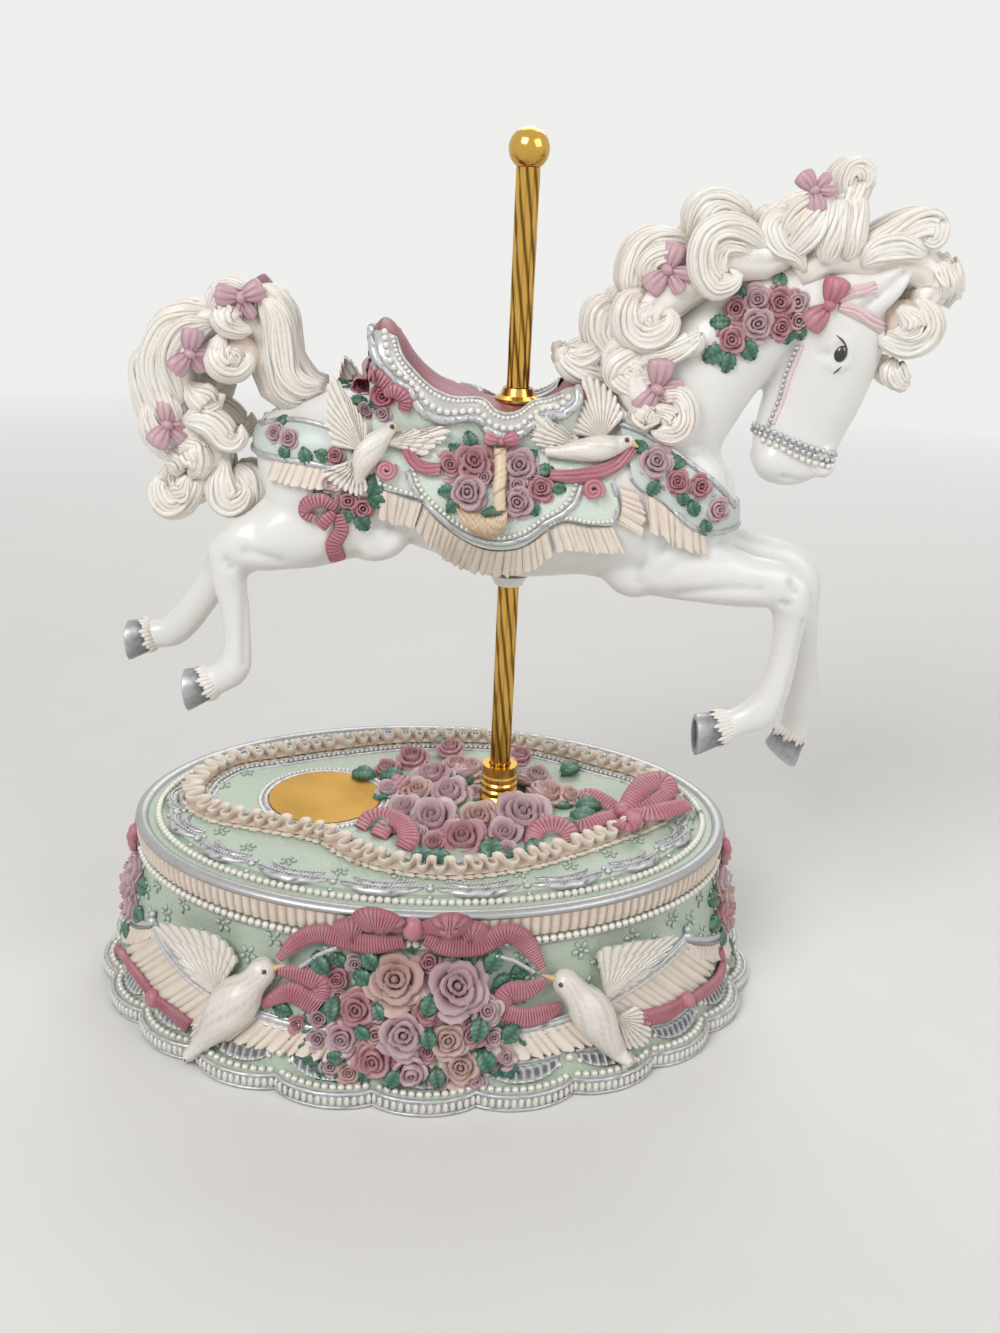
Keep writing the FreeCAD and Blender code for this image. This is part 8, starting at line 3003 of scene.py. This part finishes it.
    def dress_wreath(self) -> None:
        """Sets the rose wreath, its curled ribbons and its bow on the top."""
        x, y = self.wreath_middle
        mound = ellipsoid((x, y, self.top_level - 0.4), self.wreath_mound, 0, 28)
        posy = Posy(Carrier([mound]))
        for across, down, radius, height, finish in self.wreath:
            place = VIEW.at_height(across, down, height)
            outward = unit(place * (1 - UP))
            out = unit(UP * 0.62 - VIEW.ray(across, down) * 0.42 + outward * 0.18)
            posy.rose_at(place - out * radius / PX_PER_MM * 0.5, out, radius / PX_PER_MM, finish)
        for x, y, radius in self.wreath_back:
            place = np.array((x, y, self.top_level + 1.6))
            out = unit(UP + unit(place * (1 - UP)) * 0.6)
            posy.rose_at(place, out, radius, LILAC if x % 2 else ROSE)
        for across, down, turn, length in self.wreath_leaves:
            spot = VIEW.at_height(across, down, self.top_level + 2.0)
            posy.leaf_at(spot, unit(UP - VIEW.ray(across, down) * 0.3), turn, length * 1.3)
        for k in range(12):
            angle = k * 0.55
            spot = (-8 + 25 * math.cos(angle), 19 * abs(math.sin(angle)) + 1.0, self.top_level + 1.0)
            posy.leaf_at(np.array(spot), UP, math.degrees(angle) - 90, 6.0)
        posy.dress("wreath", Body.BASE, ["top_rose_wreath"], False)
        piece("wreath_mound", mound, LEAF, Body.BASE)
        ribbons = []
        for rows in self.top_ribbons:
            spots = [(*VIEW.at_height(u, v, self.top_level + lift), wide) for u, v, wide, lift in rows]
            line = smooth_rows(spots, 30)
            outs = np.tile(unit(UP * 0.8 - VIEW.ray(*rows[0][:2]) * 0.6), (30, 1))
            ribbons.append(ribbon(line[:, :3], outs, line[:, 3] / PX_PER_MM * 1.25, 1.15, 1.1))
        knot = VIEW.at_height(*self.top_knot, self.top_level + 3.2)
        ribbons.append(ellipsoid(knot, (2.6, 2.6, 2.2), 0, 16))
        piece("top_ribbons", gathered(ribbons), RIBBON, Body.BASE)

    def dress_bouquets(self, shell: Carrier) -> None:
        """Sets the bouquets and bows on the front, the back and both ends, and the doves.

        Args:
            shell: the base's surface.
        """
        place, out = shell.seen(*self.bouquet_middle)
        mound = ellipsoid((0, 0, 0), self.bouquet_mound, 0, 28).moved(frame_at(place, out))
        posy = Posy(shell.with_more(mound))
        posy.seen(self.bouquet, self.bouquet_leaves, 0.45, -0.12)
        posy.seen((), self.bouquet_sprigs, rise=self.sprig_rise)
        posy.dress("bouquet", Body.BASE, ["front_rose_spray", "back_rose_spray"])
        piece("bouquet_mounds", mound.both_sides(), LEAF, Body.BASE)
        ribbons = [looped(shell, rows, 1.08, 0.75, 1.0) for rows in self.bow_ribbons]
        place, out = shell.seen(*self.bow_knot, 4.0)
        ribbons.append(ellipsoid((0, 0, 0), (2.8, 3.6, 2.6), 0, 16).moved(frame_at(place, out)))
        bows = gathered(ribbons)
        behind = np.eye(4)
        behind[1, 1] = -1.0
        behind[2, 3] = -self.back_drop
        piece("bouquet_bows", bows + bows.moved(behind), RIBBON, Body.BASE)
        cords = gathered([braid(*shell.traced(line, 20, 3.4), 0.65) for line in self.bow_cords])
        piece("bow_cords", cords + cords.moved(behind), SILVER, Body.BASE)
        dress_doves("base", (self.left_dove, self.right_dove), shell, Body.BASE, ["wall_doves"])
        ends = Posy(shell)
        knots = []
        for middle in (0.0, math.pi):
            for degrees, height, radius, finish in self.spray:
                place, out = self.wall(middle + math.radians(degrees), height, 1.0)
                ends.rose_at(place, out, radius, finish)
            for degrees, height, turn in self.spray_leaves:
                place, out = self.wall(middle + math.radians(degrees), height, 0.8)
                ends.leaf_at(place, out, turn, 7.0)
            place, out = self.wall(middle, 42.0, 1.5)
            knots.append(bow(9.5, 30.0).moved(frame_at(place, out)))
        ends.dress("end_spray", Body.BASE, ["right_rose_spray", "left_rose_spray"], False)
        piece("end_bows", gathered(knots), RIBBON, Body.BASE)

    def dress(self) -> None:
        """Makes all the base's pieces."""
        shell = Carrier.of_node("base_shell")
        self.dress_mouldings()
        self.dress_foot()
        self.dress_swags(shell)
        self.dress_flowers()
        self.dress_top()
        self.dress_wreath()
        self.dress_bouquets(shell)


@dataclass(frozen=True)
class Hardware:
    """Finishes of the nodes that show as they are: brass, movement, cover and felt."""
    finishes: Sequence[Any] = (
        (GREEN, ("base_shell",)),
        (MEDAL, ("medallion",)),
        (POLE, ("twisted_pole",)),
        (GOLD, ("pole_ferrule", "ball_finial", "saddle_flange")),
        (WHITE, ("belly_collar",)),
        (MOVEMENT, ("great_wheel", "drive_wheel", "governor_wheel", "slow_wheel", "music_drum",
                    "spring_barrel", "heart_cam", "cam_pinion", "great_pinion", "slow_pinion",
                    "fly_pinion", "winding_key", "lift_fork", "lift_roller")),
        (STEEL, ("roller_pin", "cam_arbor", "key_arbor", "drum_arbor", "slow_shaft", "mainspring", "comb",
                 "comb_screws", "cover_screws", "movement_screws", "fly")),
        (CAST, ("cam_bracket", "movement_bedplate")),
        (FELT, ("felt_pads",)),
        (BOARD, ("bottom_cover",)))

    def dress(self) -> None:
        """Gives each node its finish."""
        for finish, names in self.finishes:
            for name in names:
                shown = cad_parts[name]
                shown.data.materials.clear()
                shown.data.materials.append(finish.material())
            LOG.info("%s: %s", finish.name, ", ".join(names))


def main() -> None:
    """Builds the music box's looks in order and reports each piece."""
    logging.basicConfig(level=logging.INFO, format="%(message)s")
    bpy.context.scene.view_settings.view_transform = "Standard"
    VIEW.camera()
    stage = Stage()
    stage.floor()
    stage.light()
    skin = HorseBody().dress()
    Hair().dress()
    Tack().dress(skin)
    Plinth().dress()
    Hardware().dress()


if __name__ == "__main__":
    main()
